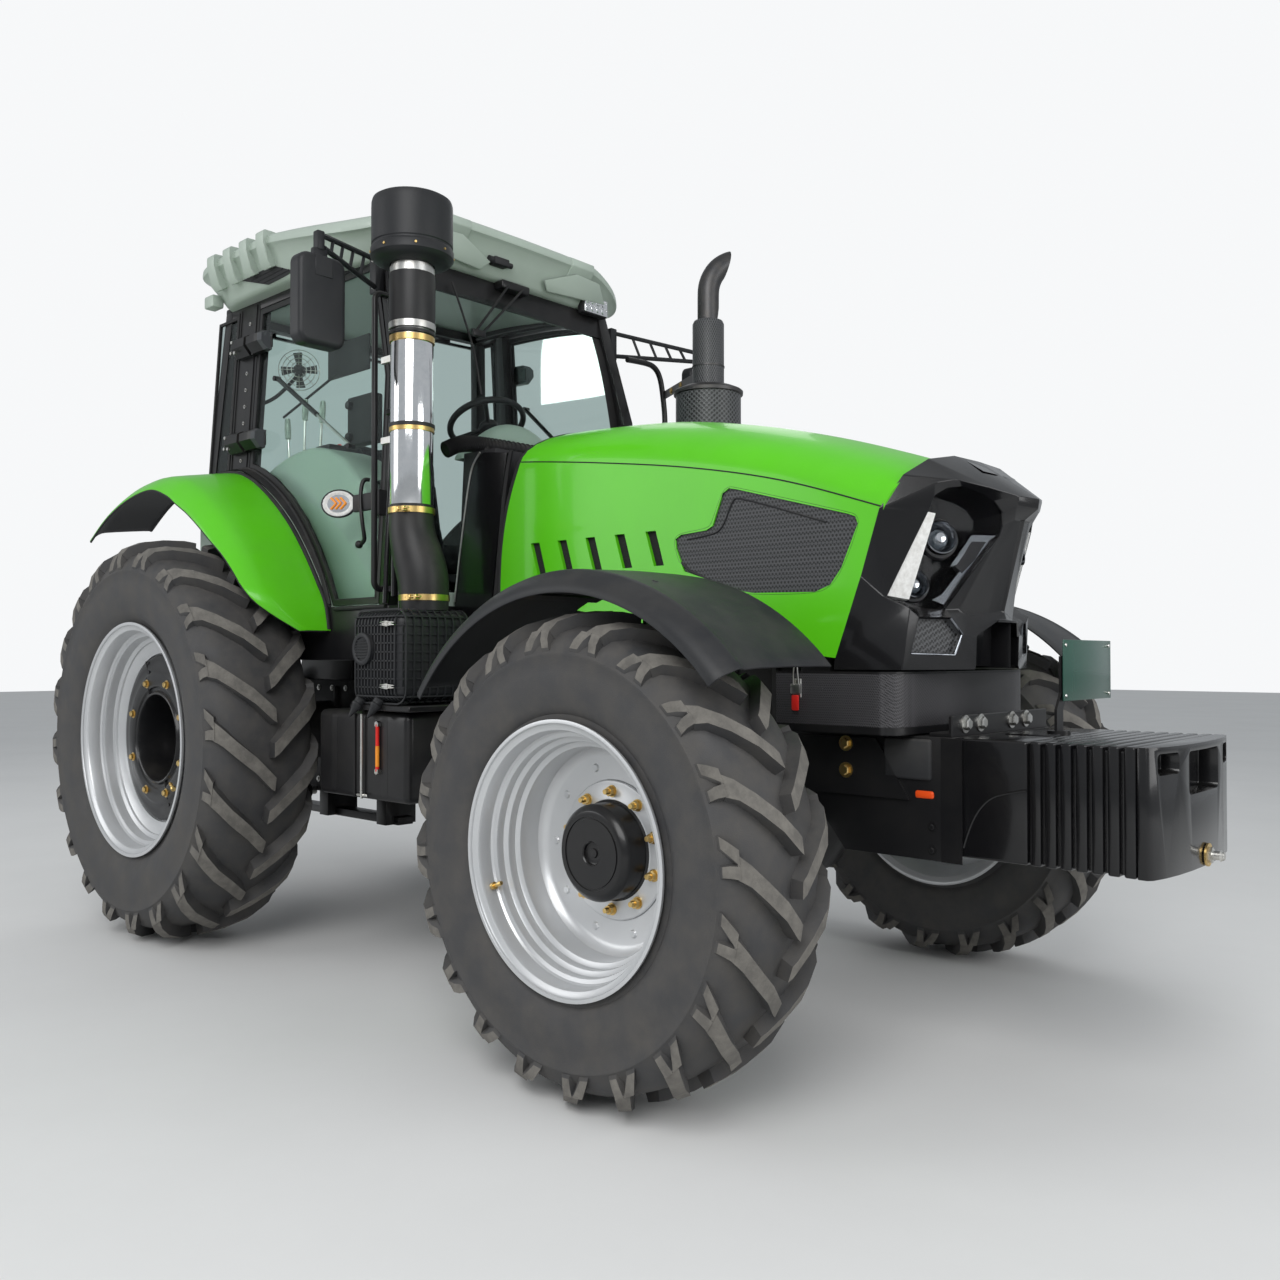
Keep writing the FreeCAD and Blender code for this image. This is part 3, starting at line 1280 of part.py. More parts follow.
lift = fused(
    prism("XZ", [
        (lift_x + 60, lift_height - 60), (lift_x + 60, lift_height + 60),
        (lift_x - lift_arm, lift_height + 20), (lift_x - lift_arm, lift_height - 25),
    ], gearbox_half + 22, gearbox_half + 52),
    rod("y", (lift_x, gearbox_half + 22, lift_height), 30, 75),
)
lift = cut(lift, rod("y", (lift_x, gearbox_half - 40, lift_height), 200, 45 + running_gap))
node("lift_arms", both_sides(lift))

doc.recompute()
failed = []
for item in doc.Objects:
    if "Invalid" in item.State or "Error" in item.State:
        failed.append(item.Name)
for name, piece in nodes.items():
    if piece.Shape.isNull() or not piece.Shape.isValid() or not piece.Shape.Solids:
        failed.append(name)
if failed:
    raise SystemExit("not built: " + ", ".join(failed))
os.makedirs("parts", exist_ok=True)
for name, piece in nodes.items():
    piece.Shape.exportStep(f"parts/{name}.step")
print(len(nodes), "nodes")
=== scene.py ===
import math
import random

import bmesh
import bpy
from mathutils import Matrix, Vector


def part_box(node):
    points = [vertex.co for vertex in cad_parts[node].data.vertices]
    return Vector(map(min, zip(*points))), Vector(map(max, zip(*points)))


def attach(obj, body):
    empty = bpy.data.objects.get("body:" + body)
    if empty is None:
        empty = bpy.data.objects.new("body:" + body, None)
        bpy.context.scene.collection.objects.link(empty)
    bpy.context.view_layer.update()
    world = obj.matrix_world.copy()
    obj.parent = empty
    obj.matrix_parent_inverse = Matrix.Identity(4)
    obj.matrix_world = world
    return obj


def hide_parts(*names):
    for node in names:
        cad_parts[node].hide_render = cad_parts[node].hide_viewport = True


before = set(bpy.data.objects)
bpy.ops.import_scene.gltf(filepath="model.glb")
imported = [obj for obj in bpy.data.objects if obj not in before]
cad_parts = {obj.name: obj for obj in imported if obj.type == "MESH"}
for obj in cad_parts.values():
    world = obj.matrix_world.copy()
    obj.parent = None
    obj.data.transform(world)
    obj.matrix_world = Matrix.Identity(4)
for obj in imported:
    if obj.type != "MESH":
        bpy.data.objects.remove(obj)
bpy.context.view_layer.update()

# places that many pieces share, in metres
rearAxleX = sum(corner.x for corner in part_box("rear_rim_left")) / 2
frontAxleX = sum(corner.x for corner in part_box("front_rim_left")) / 2
frontRadius = sum(corner.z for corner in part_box("front_rim_left")) / 2
rearRadius = sum(corner.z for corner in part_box("rear_rim_left")) / 2
fullTurn = 2 * math.pi
axisX, axisY, axisZ = Vector((1, 0, 0)), Vector((0, 1, 0)), Vector((0, 0, 1))
materials = {}


# mesh helpers

def along(x, y, z):  # a point given forward of the rear axle
    return Vector((rearAxleX + x, y, z))


def chain(bm, points, closed=False):
    verts = [bm.verts.new(point) for point in points]
    edges = [bm.edges.new(pair) for pair in zip(verts, verts[1:])]
    if closed:
        edges.append(bm.edges.new((verts[-1], verts[0])))
    return verts, edges


def addPart(bm, part, finish=None):  # the part's faces join the piece, all in one finish
    if finish is not None:
        for face in part.faces:
            face.material_index = finish
    mesh = bpy.data.meshes.new("part")
    part.to_mesh(mesh)
    part.free()
    bm.from_mesh(mesh)
    bpy.data.meshes.remove(mesh)


def lathe(bm, profile, centre, axis=axisY, steps=64, finish=0, closed=False):  # profile holds (along, radius)
    whole, bm = bm, bmesh.new()
    axis = Vector(axis).normalized()
    out = axis.orthogonal().normalized()
    verts, edges = chain(bm, [Vector(centre) + axis * a + out * r for a, r in profile], closed)
    bmesh.ops.spin(bm, geom=verts + edges, cent=Vector(centre), axis=axis, angle=fullTurn,
                   steps=steps, use_merge=True)
    addPart(whole, bm, finish)


def path(*points):
    return [along(*point) for point in points]


def sideways(points, y):  # (forward, up) points, all at the same distance to the left
    return [along(x, y, z) for x, z in points]


def ringOf(count, start=0.0):  # even directions round a circle, as (cosine, sine)
    angles = [fullTurn * (index + start) / count for index in range(count)]
    return [(math.cos(angle), math.sin(angle)) for angle in angles]


def sharpEdges(bm, angle):
    return [edge for edge in bm.edges if len(edge.link_faces) == 2 and edge.calc_face_angle(0) > angle]


def roundOff(bm, edges, radius, segments, clamp=True):
    bmesh.ops.bevel(bm, geom=edges, offset=radius, affect="EDGES", segments=segments, profile=0.5,
                    material=-1, clamp_overlap=clamp)


def drawOut(bm, faces, push):  # a sheet grows into a solid
    grown = bmesh.ops.extrude_face_region(bm, geom=faces, use_keep_orig=True)["geom"]
    verts = [item for item in grown if isinstance(item, bmesh.types.BMVert)]
    bmesh.ops.translate(bm, vec=Vector(push), verts=verts)


def slab(bm, corners, push, finish=0):  # a flat outline pushed into a solid
    whole, bm = bm, bmesh.new()
    face = bm.faces.new([bm.verts.new(Vector(corner)) for corner in corners])
    drawOut(bm, [face], push)
    addPart(whole, bm, finish)


def softBox(bm, low, high, radius=0.004, segments=2, finish=0, turn=None):
    whole, bm = bm, bmesh.new()
    low, high = Vector(low), Vector(high)
    size = high - low
    place = Matrix.Translation((low + high) / 2)
    if turn is not None:
        place = place @ turn
    made = bmesh.ops.create_cube(bm, size=1, matrix=place @ Matrix.Diagonal((*size, 1)))
    if radius:
        edges = list({edge for vert in made["verts"] for edge in vert.link_edges})
        roundOff(bm, edges, radius, segments)
    addPart(whole, bm, finish)


def boxAt(bm, spot, low, high, radius=0.004, segments=2, finish=0):  # a soft box given round a spot
    softBox(bm, spot + Vector(low), spot + Vector(high), radius, segments, finish)


def facing(direction):
    return Vector(direction).to_track_quat("Z", "Y").to_matrix().to_4x4()


def drum(bm, centre, direction, radius, height, finish=0, steps=24, top=None):
    whole, bm = bm, bmesh.new()
    place = Matrix.Translation(Vector(centre) + Vector(direction).normalized() * height / 2) @ facing(direction)
    bmesh.ops.create_cone(bm, cap_ends=True, segments=steps, radius1=radius,
                          radius2=radius if top is None else top, depth=height, matrix=place)
    addPart(whole, bm, finish)


def hexBolt(bm, centre, direction, radius, height, finish=0):  # with its washer
    direction = Vector(direction).normalized()
    centre = Vector(centre)
    drum(bm, centre, direction, radius * 1.45, radius * 0.22, finish, 20)
    drum(bm, centre, direction, radius, height * 0.8, finish, 6)
    drum(bm, centre + direction * height * 0.8, direction, radius * 0.98, height * 0.2, finish, 6, radius * 0.78)


def pipe(bm, points, radius, finish=0, sides=5, smoothness=8, order=3, widths=None, caps=True):  # round bar
    whole, bm = bm, bmesh.new()
    curve = bpy.data.curves.new("line", "CURVE")
    curve.dimensions = "3D"
    spline = curve.splines.new("NURBS")
    spline.points.add(len(points) - 1)
    for knot, point in zip(spline.points, points):
        knot.co = (*point, 1)
    for knot, width in zip(spline.points, widths or ()):  # each point's share of the radius
        knot.radius = width
    spline.order_u = order
    spline.use_endpoint_u = True
    spline.resolution_u = smoothness
    curve.bevel_depth = radius
    curve.bevel_resolution = sides
    curve.use_fill_caps = caps
    carrier = bpy.data.objects.new("line", curve)
    bpy.context.scene.collection.objects.link(carrier)
    bpy.context.view_layer.update()
    mesh = bpy.data.meshes.new_from_object(carrier.evaluated_get(bpy.context.evaluated_depsgraph_get()))
    bm.from_mesh(mesh)
    bpy.data.objects.remove(carrier)
    bpy.data.curves.remove(curve)
    bpy.data.meshes.remove(mesh)
    addPart(whole, bm, finish)


def mirrorAcross(bm):  # adds the same faces on the other side of the tractor
    geometry = bm.verts[:] + bm.edges[:] + bm.faces[:]
    twin = bmesh.ops.duplicate(bm, geom=geometry)["geom"]
    verts = [item for item in twin if isinstance(item, bmesh.types.BMVert)]
    bmesh.ops.scale(bm, vec=(1, -1, 1), verts=verts)
    bmesh.ops.reverse_faces(bm, faces=[item for item in twin if isinstance(item, bmesh.types.BMFace)])


def finishPiece(bm, name, body, finishes, stands=(), sharp=32, merge=0.0001):
    if merge:
        bmesh.ops.remove_doubles(bm, verts=bm.verts, dist=merge)
    bmesh.ops.recalc_face_normals(bm, faces=bm.faces)
    mesh = bpy.data.meshes.new(name)
    bm.to_mesh(mesh)
    bm.free()
    for finish in finishes:
        mesh.materials.append(materials[finish])
    mesh.shade_smooth()
    mesh.set_sharp_from_angle(angle=math.radians(sharp))
    thing = bpy.data.objects.new(name, mesh)
    bpy.context.scene.collection.objects.link(thing)
    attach(thing, body)
    if stands:
        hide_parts(*stands)
    return thing


def applyModifiers(thing):
    bpy.context.view_layer.update()
    mesh = bpy.data.meshes.new_from_object(thing.evaluated_get(bpy.context.evaluated_depsgraph_get()))
    thing.modifiers.clear()
    thing.data = mesh
    return thing


def smoothLine(table, at):  # a soft curve through the table's points
    if at <= table[0][0]:
        return table[0][1]
    if at >= table[-1][0]:
        return table[-1][1]
    slopes = [(b[1] - a[1]) / (b[0] - a[0]) for a, b in zip(table, table[1:])]
    turns = [slopes[0]] + [(a + b) / 2 if a * b > 0 else 0 for a, b in zip(slopes, slopes[1:])] + [slopes[-1]]
    index = max(i for i in range(len(slopes)) if table[i][0] <= at)
    (x0, y0), (x1, y1) = table[index], table[index + 1]
    width = x1 - x0
    t = (at - x0) / width
    return (y0 * (1 + 2 * t) * (1 - t) ** 2 + turns[index] * width * t * (1 - t) ** 2
            + y1 * t * t * (3 - 2 * t) - turns[index + 1] * width * t * t * (1 - t))


def tempObject(bm, name="cutter"):
    bmesh.ops.recalc_face_normals(bm, faces=bm.faces)
    mesh = bpy.data.meshes.new(name)
    bm.to_mesh(mesh)
    bm.free()
    thing = bpy.data.objects.new(name, mesh)
    bpy.context.scene.collection.objects.link(thing)
    return thing


def openBy(thing, cutters):  # takes the cutters' space out of the piece
    for cutter in cutters:
        hole = thing.modifiers.new("hole", "BOOLEAN")
        hole.operation = "DIFFERENCE"
        hole.solver = "EXACT"
        hole.object = cutter
    applyModifiers(thing)
    for cutter in cutters:
        bpy.data.objects.remove(cutter)
    return thing


def takeBack(thing):  # the loose mesh of a helper object, which goes
    bm = bmesh.new()
    bm.from_mesh(thing.data)
    bpy.data.objects.remove(thing)
    return bm


def softLine(points, steps, closed=False):  # points on a curve that passes through each given point
    count = len(points)
    result = []
    spans = count if closed else count - 1
    for index in range(spans):
        if closed:
            p0, p1, p2, p3 = (Vector(points[(index + shift) % count]) for shift in (-1, 0, 1, 2))
        else:
            p0, p1, p2, p3 = (Vector(points[min(max(index + shift, 0), count - 1)]) for shift in (-1, 0, 1, 2))
        for step in range(steps):
            t = step / steps
            result.append(0.5 * (2 * p1 + (p2 - p0) * t + (2 * p0 - 5 * p1 + 4 * p2 - p3) * t * t
                                 + (3 * p1 - p0 - 3 * p2 + p3) * t ** 3))
    if not closed:
        result.append(Vector(points[-1]))
    return result


def ringBridge(bm, first, second):
    count = len(first)
    for index in range(count):
        other = (index + 1) % count
        bm.faces.new((first[index], first[other], second[other], second[index]))


def roundedLoop(halfU, halfV, corner, steps=5):  # corners of a rounded rectangle, as (u, v)
    points = []
    for signU, signV, start in ((1, 1, 0), (-1, 1, 90), (-1, -1, 180), (1, -1, 270)):
        for step in range(steps + 1):
            angle = math.radians(start + 90 * step / steps)
            points.append((signU * (halfU - corner) + corner * math.cos(angle),
                           signV * (halfV - corner) + corner * math.sin(angle)))
    return points


def hoop(bm, points, across, width, depth, finish=0, closed=True, outward=None):  # flat strip round a line
    whole, bm = bm, bmesh.new()
    points = [Vector(point) for point in points]
    across = Vector(across).normalized()
    count = len(points)
    rows = []
    for index, point in enumerate(points):
        before = points[index - 1] if closed or index else point
        after = points[(index + 1) % count] if closed or index < count - 1 else point
        side = across.cross((after - before).normalized()) if outward is None else Vector(outward)
        side.normalize()
        rows.append([bm.verts.new(point + across * a + side * s) for a, s in
                     ((-width / 2, 0), (width / 2, 0), (width / 2, depth), (-width / 2, depth))])
    spans = count if closed else count - 1
    for index in range(spans):
        first, second = rows[index], rows[(index + 1) % count]
        for corner in range(4):
            other = (corner + 1) % 4
            bm.faces.new((first[corner], first[other], second[other], second[corner]))
    if not closed:
        bm.faces.new(rows[0])
        bm.faces.new(reversed(rows[-1]))
    addPart(whole, bm, finish)


def arcSweep(bm, profile, centre, side, start, stop, steps, finish=0):  # (y, radius) turned, angles from forward
    whole, bm = bm, bmesh.new()
    angle = math.radians(start)
    middle = Vector((centre[0], 0, centre[1]))
    out = Vector((math.cos(angle), 0, math.sin(angle)))
    verts, edges = chain(bm, [middle + out * r + axisY * side * y for y, r in profile])
    bmesh.ops.spin(bm, geom=verts + edges, cent=middle, axis=-axisY, angle=math.radians(stop - start), steps=steps)
    addPart(whole, bm, finish)


def thicken(bm, name, depth, offset=-1, under=0):  # gives a sheet its thickness, with its own finish below
    bmesh.ops.recalc_face_normals(bm, faces=bm.faces)
    sheet = tempObject(bm, name)
    wall = sheet.modifiers.new("wall", "SOLIDIFY")
    wall.thickness = depth
    wall.offset = offset
    wall.material_offset = under
    for _ in range(2):
        sheet.data.materials.append(None)
    return takeBack(applyModifiers(sheet))


def softened(bm, node, radius, finish=0, segments=2):
    copy = bmesh.new()
    copy.from_mesh(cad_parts[node].data)
    bmesh.ops.remove_doubles(copy, verts=copy.verts, dist=0.00005)
    bmesh.ops.dissolve_limit(copy, angle_limit=math.radians(0.6), verts=copy.verts, edges=copy.edges)
    edges = sharpEdges(copy, 0.5)
    roundOff(copy, edges, radius, segments)
    addPart(bm, copy, finish)


def boltRow(bm, start, step, count, direction, radius, finish=1):
    for index in range(count):
        hexBolt(bm, Vector(start) + Vector(step) * index, direction, radius, radius * 0.8, finish)


# shader groups: each gives colours, masks or heights only

def newGroup(name, inputs, outputs):
    group = bpy.data.node_groups.new(name, "ShaderNodeTree")
    for title, kind, value in inputs:
        socket = group.interface.new_socket(name=title, in_out="INPUT", socket_type=kind)
        socket.default_value = value
    for title, kind in outputs:
        group.interface.new_socket(name=title, in_out="OUTPUT", socket_type=kind)
    return group, group.nodes.new("NodeGroupInput"), group.nodes.new("NodeGroupOutput")


def ramp(nodes, links, source, low, high):  # 0 below low, 1 above high
    node = nodes.new("ShaderNodeMapRange")
    node.inputs["From Min"].default_value = low
    node.inputs["From Max"].default_value = high
    links.new(source, node.inputs["Value"])
    return node.outputs["Result"]


def maths(nodes, links, operation, first, second):
    node = nodes.new("ShaderNodeMath")
    node.operation = operation
    for socket, value in zip(node.inputs, (first, second)):
        if isinstance(value, (int, float)):
            socket.default_value = value
        else:
            links.new(value, socket)
    return node.outputs[0]


def noise(nodes, links, scale, detail=4, coords=None, rough=0.55):
    node = nodes.new("ShaderNodeTexNoise")
    node.inputs["Detail"].default_value = detail
    node.inputs["Roughness"].default_value = rough
    if isinstance(scale, (int, float)):
        node.inputs["Scale"].default_value = scale
    else:
        links.new(scale, node.inputs["Scale"])
    if coords is None:
        coords = nodes.new("ShaderNodeTexCoord").outputs["Object"]
    links.new(coords, node.inputs["Vector"])
    return node.outputs["Fac"]


def mixColour(nodes, links, mask, first, second):
    node = nodes.new("ShaderNodeMix")
    node.data_type = "RGBA"
    links.new(mask, node.inputs[0])
    for socket, value in ((node.inputs[6], first), (node.inputs[7], second)):
        if isinstance(value, tuple):
            socket.default_value = (*value, 1)
        else:
            links.new(value, socket)
    return node.outputs[2]


def makeCover(name, other, amount, scale, low, high, detail, rough, fromAbove):  # a second colour in patches
    group, start, end = newGroup(name, [
        ("Colour", "NodeSocketColor", (0.5, 0.5, 0.5, 1)), ("Other", "NodeSocketColor", (*other, 1)),
        ("Amount", "NodeSocketFloat", amount), ("Scale", "NodeSocketFloat", scale),
    ], [("Colour", "NodeSocketColor"), ("Mask", "NodeSocketFloat")])
    nodes, links = group.nodes, group.links
    mask = ramp(nodes, links, noise(nodes, links, start.outputs["Scale"], detail, rough=rough), low, high)
    if fromAbove:  # only faces that look up
        split = nodes.new("ShaderNodeSeparateXYZ")
        links.new(nodes.new("ShaderNodeNewGeometry").outputs["Normal"], split.inputs[0])
        upward = ramp(nodes, links, split.outputs["Z"], -0.3, 1.0)
        mask = maths(nodes, links, "MULTIPLY", upward, mask)
    mask = maths(nodes, links, "MULTIPLY", mask, start.outputs["Amount"])
    links.new(mixColour(nodes, links, mask, start.outputs["Colour"], start.outputs["Other"]), end.inputs["Colour"])
    links.new(mask, end.inputs["Mask"])
    return group


def makeGrain():  # height of a fine moulded or sprayed skin
    group, start, end = newGroup("surfaceGrain", [
        ("Fine", "NodeSocketFloat", 900.0), ("Broad", "NodeSocketFloat", 12.0), ("Share", "NodeSocketFloat", 0.3),
    ], [("Height", "NodeSocketFloat")])
    nodes, links = group.nodes, group.links
    fine = noise(nodes, links, start.outputs["Fine"], 2)
    broad = maths(nodes, links, "MULTIPLY", noise(nodes, links, start.outputs["Broad"], 3), start.outputs["Share"])
    links.new(maths(nodes, links, "ADD", fine, broad), end.inputs["Height"])
    return group


groups = {
    "dust": makeCover("settledDust", (0.4, 0.36, 0.3), 0.3, 6.0, 0.35, 0.75, 6, 0.55, True),
    "patches": makeCover("colourPatches", (0.4, 0.4, 0.4), 0.5, 4.0, 0.38, 0.68, 7, 0.65, False),
    "grain": makeGrain(),
}


class Finish:  # one material being put together
    def __init__(self, name, colour, roughness, metallic=0.0):
        self.material = bpy.data.materials.new(name)
        self.material.use_nodes = True
        self.nodes = self.material.node_tree.nodes
        self.links = self.material.node_tree.links
        self.shader = self.nodes["Principled BSDF"]
        self.colour = colour
        self.shader.inputs["Base Color"].default_value = (*colour, 1)
        self.shader.inputs["Roughness"].default_value = roughness
        self.shader.inputs["Metallic"].default_value = metallic
        self.roughness = roughness
        self.mask = None
        materials[name] = self.material

    def fixed(self, **values):  # constants set on the shader's own sockets
        for title, value in values.items():
            self.shader.inputs[title.replace("_", " ")].default_value = value
        return self

    def layer(self, group, other, amount, scale):
        node = self.nodes.new("ShaderNodeGroup")
        node.node_tree = groups[group]
        if isinstance(self.colour, tuple):
            node.inputs[0].default_value = (*self.colour, 1)
        else:
            self.links.new(self.colour, node.inputs[0])
        node.inputs[1].default_value = (*other, 1)
        node.inputs["Amount"].default_value = amount
        node.inputs["Scale"].default_value = scale
        self.colour = node.outputs["Colour"]
        self.mask = node.outputs["Mask"]
        self.links.new(self.colour, self.shader.inputs["Base Color"])
        return self

    def roughTo(self, other):  # roughness follows the last layer's mask
        node = self.nodes.new("ShaderNodeMapRange")
        node.inputs["To Min"].default_value = self.roughness
        node.inputs["To Max"].default_value = other
        self.links.new(self.mask, node.inputs["Value"])
        self.links.new(node.outputs["Result"], self.shader.inputs["Roughness"])
        return self

    def bump(self, strength, distance=0.001, fine=900.0, broad=12.0, share=0.3):
        grain = self.nodes.new("ShaderNodeGroup")
        grain.node_tree = groups["grain"]
        grain.inputs["Fine"].default_value = fine
        grain.inputs["Broad"].default_value = broad
        grain.inputs["Share"].default_value = share
        return self.height(grain.outputs["Height"], strength, distance)

    def height(self, source, strength, distance):
        node = self.nodes.new("ShaderNodeBump")
        node.inputs["Strength"].default_value = strength
        node.inputs["Distance"].default_value = distance
        self.links.new(source, node.inputs["Height"])
        self.links.new(node.outputs["Normal"], self.shader.inputs["Normal"])
        return self

    def pierced(self, distance, low, high, dark):  # holes where the distance is short, painted dark as the shade seen through them, and sunken by a bump
        wire = ramp(self.nodes, self.links, distance, low, high)
        mixed = mixColour(self.nodes, self.links, wire, tuple(part * dark for part in self.colour), self.colour)
        self.links.new(mixed, self.shader.inputs["Base Color"])
        return self.height(wire, 0.6, 0.0015)


dustColour = (0.42, 0.38, 0.32)
paintTable = (
    # name, colour, roughness, metallic, dust, coat
    ("bonnetGreen", (0.105, 0.58, 0.008), 0.34, 0.0, 0.04, 0.25),
    ("glossBlack", (0.006, 0.006, 0.007), 0.20, 0.0, 0.04, 0.30),
    ("frameBlack", (0.008, 0.008, 0.009), 0.36, 0.0, 0.08, 0.1),
    ("castBlack", (0.018, 0.018, 0.019), 0.50, 0.0, 0.22, 0.0),
    ("hubBlack", (0.008, 0.008, 0.009), 0.28, 0.0, 0.06, 0.2),
    ("rimSilver", (0.60, 0.61, 0.62), 0.36, 0.55, 0.10, 0.15),
    ("roofGrey", (0.42, 0.49, 0.43), 0.42, 0.0, 0.10, 0.1),
    ("plateGreen", (0.012, 0.075, 0.050), 0.22, 0.0, 0.10, 0.5),
    ("wheelHouse", (0.44, 0.54, 0.46), 0.55, 0.0, 0.10, 0.0),
)
for name, colour, roughness, metallic, dust, coat in paintTable:
    made = Finish(name, colour, roughness, metallic).fixed(Coat_Weight=coat, Coat_Roughness=0.08,
                                                           Specular_IOR_Level=0.28)
    made.layer("patches", tuple(part * 0.86 for part in colour), 0.5, 2.2)
    made.layer("dust", dustColour, dust, 7.0).roughTo(0.75).bump(0.06, 0.0006, 420.0, 9.0, 0.6)

plasticTable = (
    # name, colour, roughness, dust, grain strength
    ("mattBlack", (0.016, 0.017, 0.019), 0.44, 0.06, 0.25),
    ("trimBlack", (0.020, 0.020, 0.022), 0.55, 0.10, 0.30),
    ("hoseRubber", (0.016, 0.016, 0.017), 0.42, 0.12, 0.15),
    ("sealRubber", (0.016, 0.016, 0.017), 0.60, 0.10, 0.15),
    ("seatCloth", (0.022, 0.023, 0.026), 0.85, 0.10, 0.80),
    ("dashGrey", (0.060, 0.064, 0.070), 0.60, 0.10, 0.30),
    ("redPlastic", (0.65, 0.02, 0.015), 0.40, 0.05, 0.10),
    ("orangePlastic", (0.80, 0.08, 0.01), 0.40, 0.05, 0.10),
    ("roughGrey", (0.022, 0.023, 0.025), 0.70, 0.15, 0.90),
    ("amberLamp", (0.80, 0.28, 0.03), 0.18, 0.00, 0.05),
)
for name, colour, roughness, dust, grain in plasticTable:
    made = Finish(name, colour, roughness).fixed(Specular_IOR_Level=0.30)
    made.layer("patches", tuple(part * 1.35 for part in colour), 0.5, 3.0)
    made.layer("dust", dustColour, dust, 9.0).roughTo(0.85).bump(grain, 0.0008, 1100.0, 18.0, 0.4)

metalTable = (
    # name, colour, roughness, patch colour
    ("chrome", (0.86, 0.87, 0.88), 0.07, (0.70, 0.72, 0.74)),
    ("smokedChrome", (0.20, 0.21, 0.23), 0.16, (0.12, 0.13, 0.14)),
    ("zincGold", (0.72, 0.52, 0.20), 0.30, (0.52, 0.33, 0.13)),
    ("zincSilver", (0.66, 0.66, 0.64), 0.32, (0.45, 0.42, 0.36)),
    ("stackSteel", (0.085, 0.085, 0.088), 0.46, (0.13, 0.12, 0.11)),
    ("mirrorFace", (0.80, 0.82, 0.84), 0.03, (0.78, 0.80, 0.82)),
)
for name, colour, roughness, other in metalTable:
    made = Finish(name, colour, roughness, 1.0).layer("patches", other, 0.6, 26.0)
    made.roughTo(roughness + 0.12).bump(0.05, 0.0005, 600.0, 20.0, 0.4)

Finish("tyreRubber", (0.040, 0.040, 0.042), 0.62).layer("patches", (0.075, 0.070, 0.064), 0.8, 9.0).roughTo(
    0.85).layer("dust", (0.20, 0.18, 0.16), 0.18, 14.0).bump(0.35, 0.0012, 260.0, 30.0, 0.8)
Finish("lugTop", (0.115, 0.108, 0.098), 0.90).layer("patches", (0.190, 0.178, 0.158), 0.9, 22.0).bump(
    0.5, 0.0015, 180.0, 40.0, 0.8)
Finish("lampGlass", (0.90, 0.92, 0.93), 0.05).fixed(Transmission_Weight=0.9, IOR=1.45).bump(
    0.04, 0.0004, 300.0, 20.0, 0.3)
Finish("runningLight", (0.80, 0.80, 0.78), 0.32).layer("patches", (0.56, 0.55, 0.52), 0.8, 60.0).bump(
    0.4, 0.0015, 340.0, 60.0, 0.5)
Finish("screenGlass", (0.84, 0.95, 0.91), 0.02).fixed(Transmission_Weight=1.0, IOR=1.2).bump(
    0.01, 0.0002, 40.0, 3.0, 0.5)


print("finishes made:", len(materials))

# camera, light and floor

view = {"lens": 31.42, "x": 4.9156, "y": -3.3235, "z": 1.2323, "yaw": 2.3113, "pitch": 0.0153}
heading = Vector((math.cos(view["pitch"]) * math.cos(view["yaw"]),
                  math.cos(view["pitch"]) * math.sin(view["yaw"]), math.sin(view["pitch"])))
camera = bpy.data.objects.new("camera", bpy.data.cameras.new("camera"))
camera.data.lens = view["lens"]
camera.data.sensor_width = 36
camera.location = along(view["x"], view["y"], view["z"])
camera.rotation_euler = heading.to_track_quat("-Z", "Y").to_euler()
bpy.context.scene.collection.objects.link(camera)
bpy.context.scene.camera = camera
bpy.context.scene.view_settings.view_transform = "Standard"

lampTable = (
    # name, forward, left, up, size, power, aimed at (forward, left, up)
    ("keyLight", 6.0, -6.5, 6.0, 5.0, 430, (1.4, 0.0, 1.2)),
    ("sideLight", -3.5, -7.0, 3.5, 4.0, 130, (0.4, 0.0, 1.2)),
    ("frontLight", 9.5, 1.0, 3.0, 4.0, 160, (1.5, 0.0, 1.2)),
    ("backLight", -4.0, 6.0, 6.0, 5.0, 90, (1.0, 0.0, 1.5)),
)
for name, x, y, z, size, power, target in lampTable:
    lamp = bpy.data.objects.new(name, bpy.data.lights.new(name, "AREA"))
    lamp.data.size = size
    lamp.data.energy = power
    lamp.location = along(x, y, z)
    lamp.rotation_euler = (along(*target) - lamp.location).to_track_quat("-Z", "Y").to_euler()
    bpy.context.scene.collection.objects.link(lamp)

world = bpy.data.worlds.new("studio")
bpy.context.scene.world = world
world.use_nodes = True
nodes, links = world.node_tree.nodes, world.node_tree.links
nodes["Background"].inputs["Color"].default_value = (0.86, 0.90, 0.94, 1)
nodes["Background"].inputs["Strength"].default_value = 0.50
seen = nodes.new("ShaderNodeBackground")
seen.inputs["Color"].default_value = (0.93, 0.94, 0.95, 1)
lightPath = nodes.new("ShaderNodeLightPath")
either = nodes.new("ShaderNodeMixShader")
links.new(lightPath.outputs["Is Camera Ray"], either.inputs[0])
links.new(nodes["Background"].outputs[0], either.inputs[1])
links.new(seen.outputs[0], either.inputs[2])
links.new(either.outputs[0], nodes["World Output"].inputs["Surface"])

Finish("floorPale", (0.78, 0.78, 0.77), 0.70).layer("patches", (0.72, 0.72, 0.71), 0.5, 0.7)
bm = bmesh.new()
bmesh.ops.create_grid(bm, x_segments=8, y_segments=8, size=40)
floor = bpy.data.objects.new("floor", bpy.data.meshes.new("floor"))
bm.to_mesh(floor.data)
bm.free()
floor.data.materials.append(materials["floorPale"])
bpy.context.scene.collection.objects.link(floor)
print("camera, lights and floor stand")


# finishes on the nodes that keep their own shape

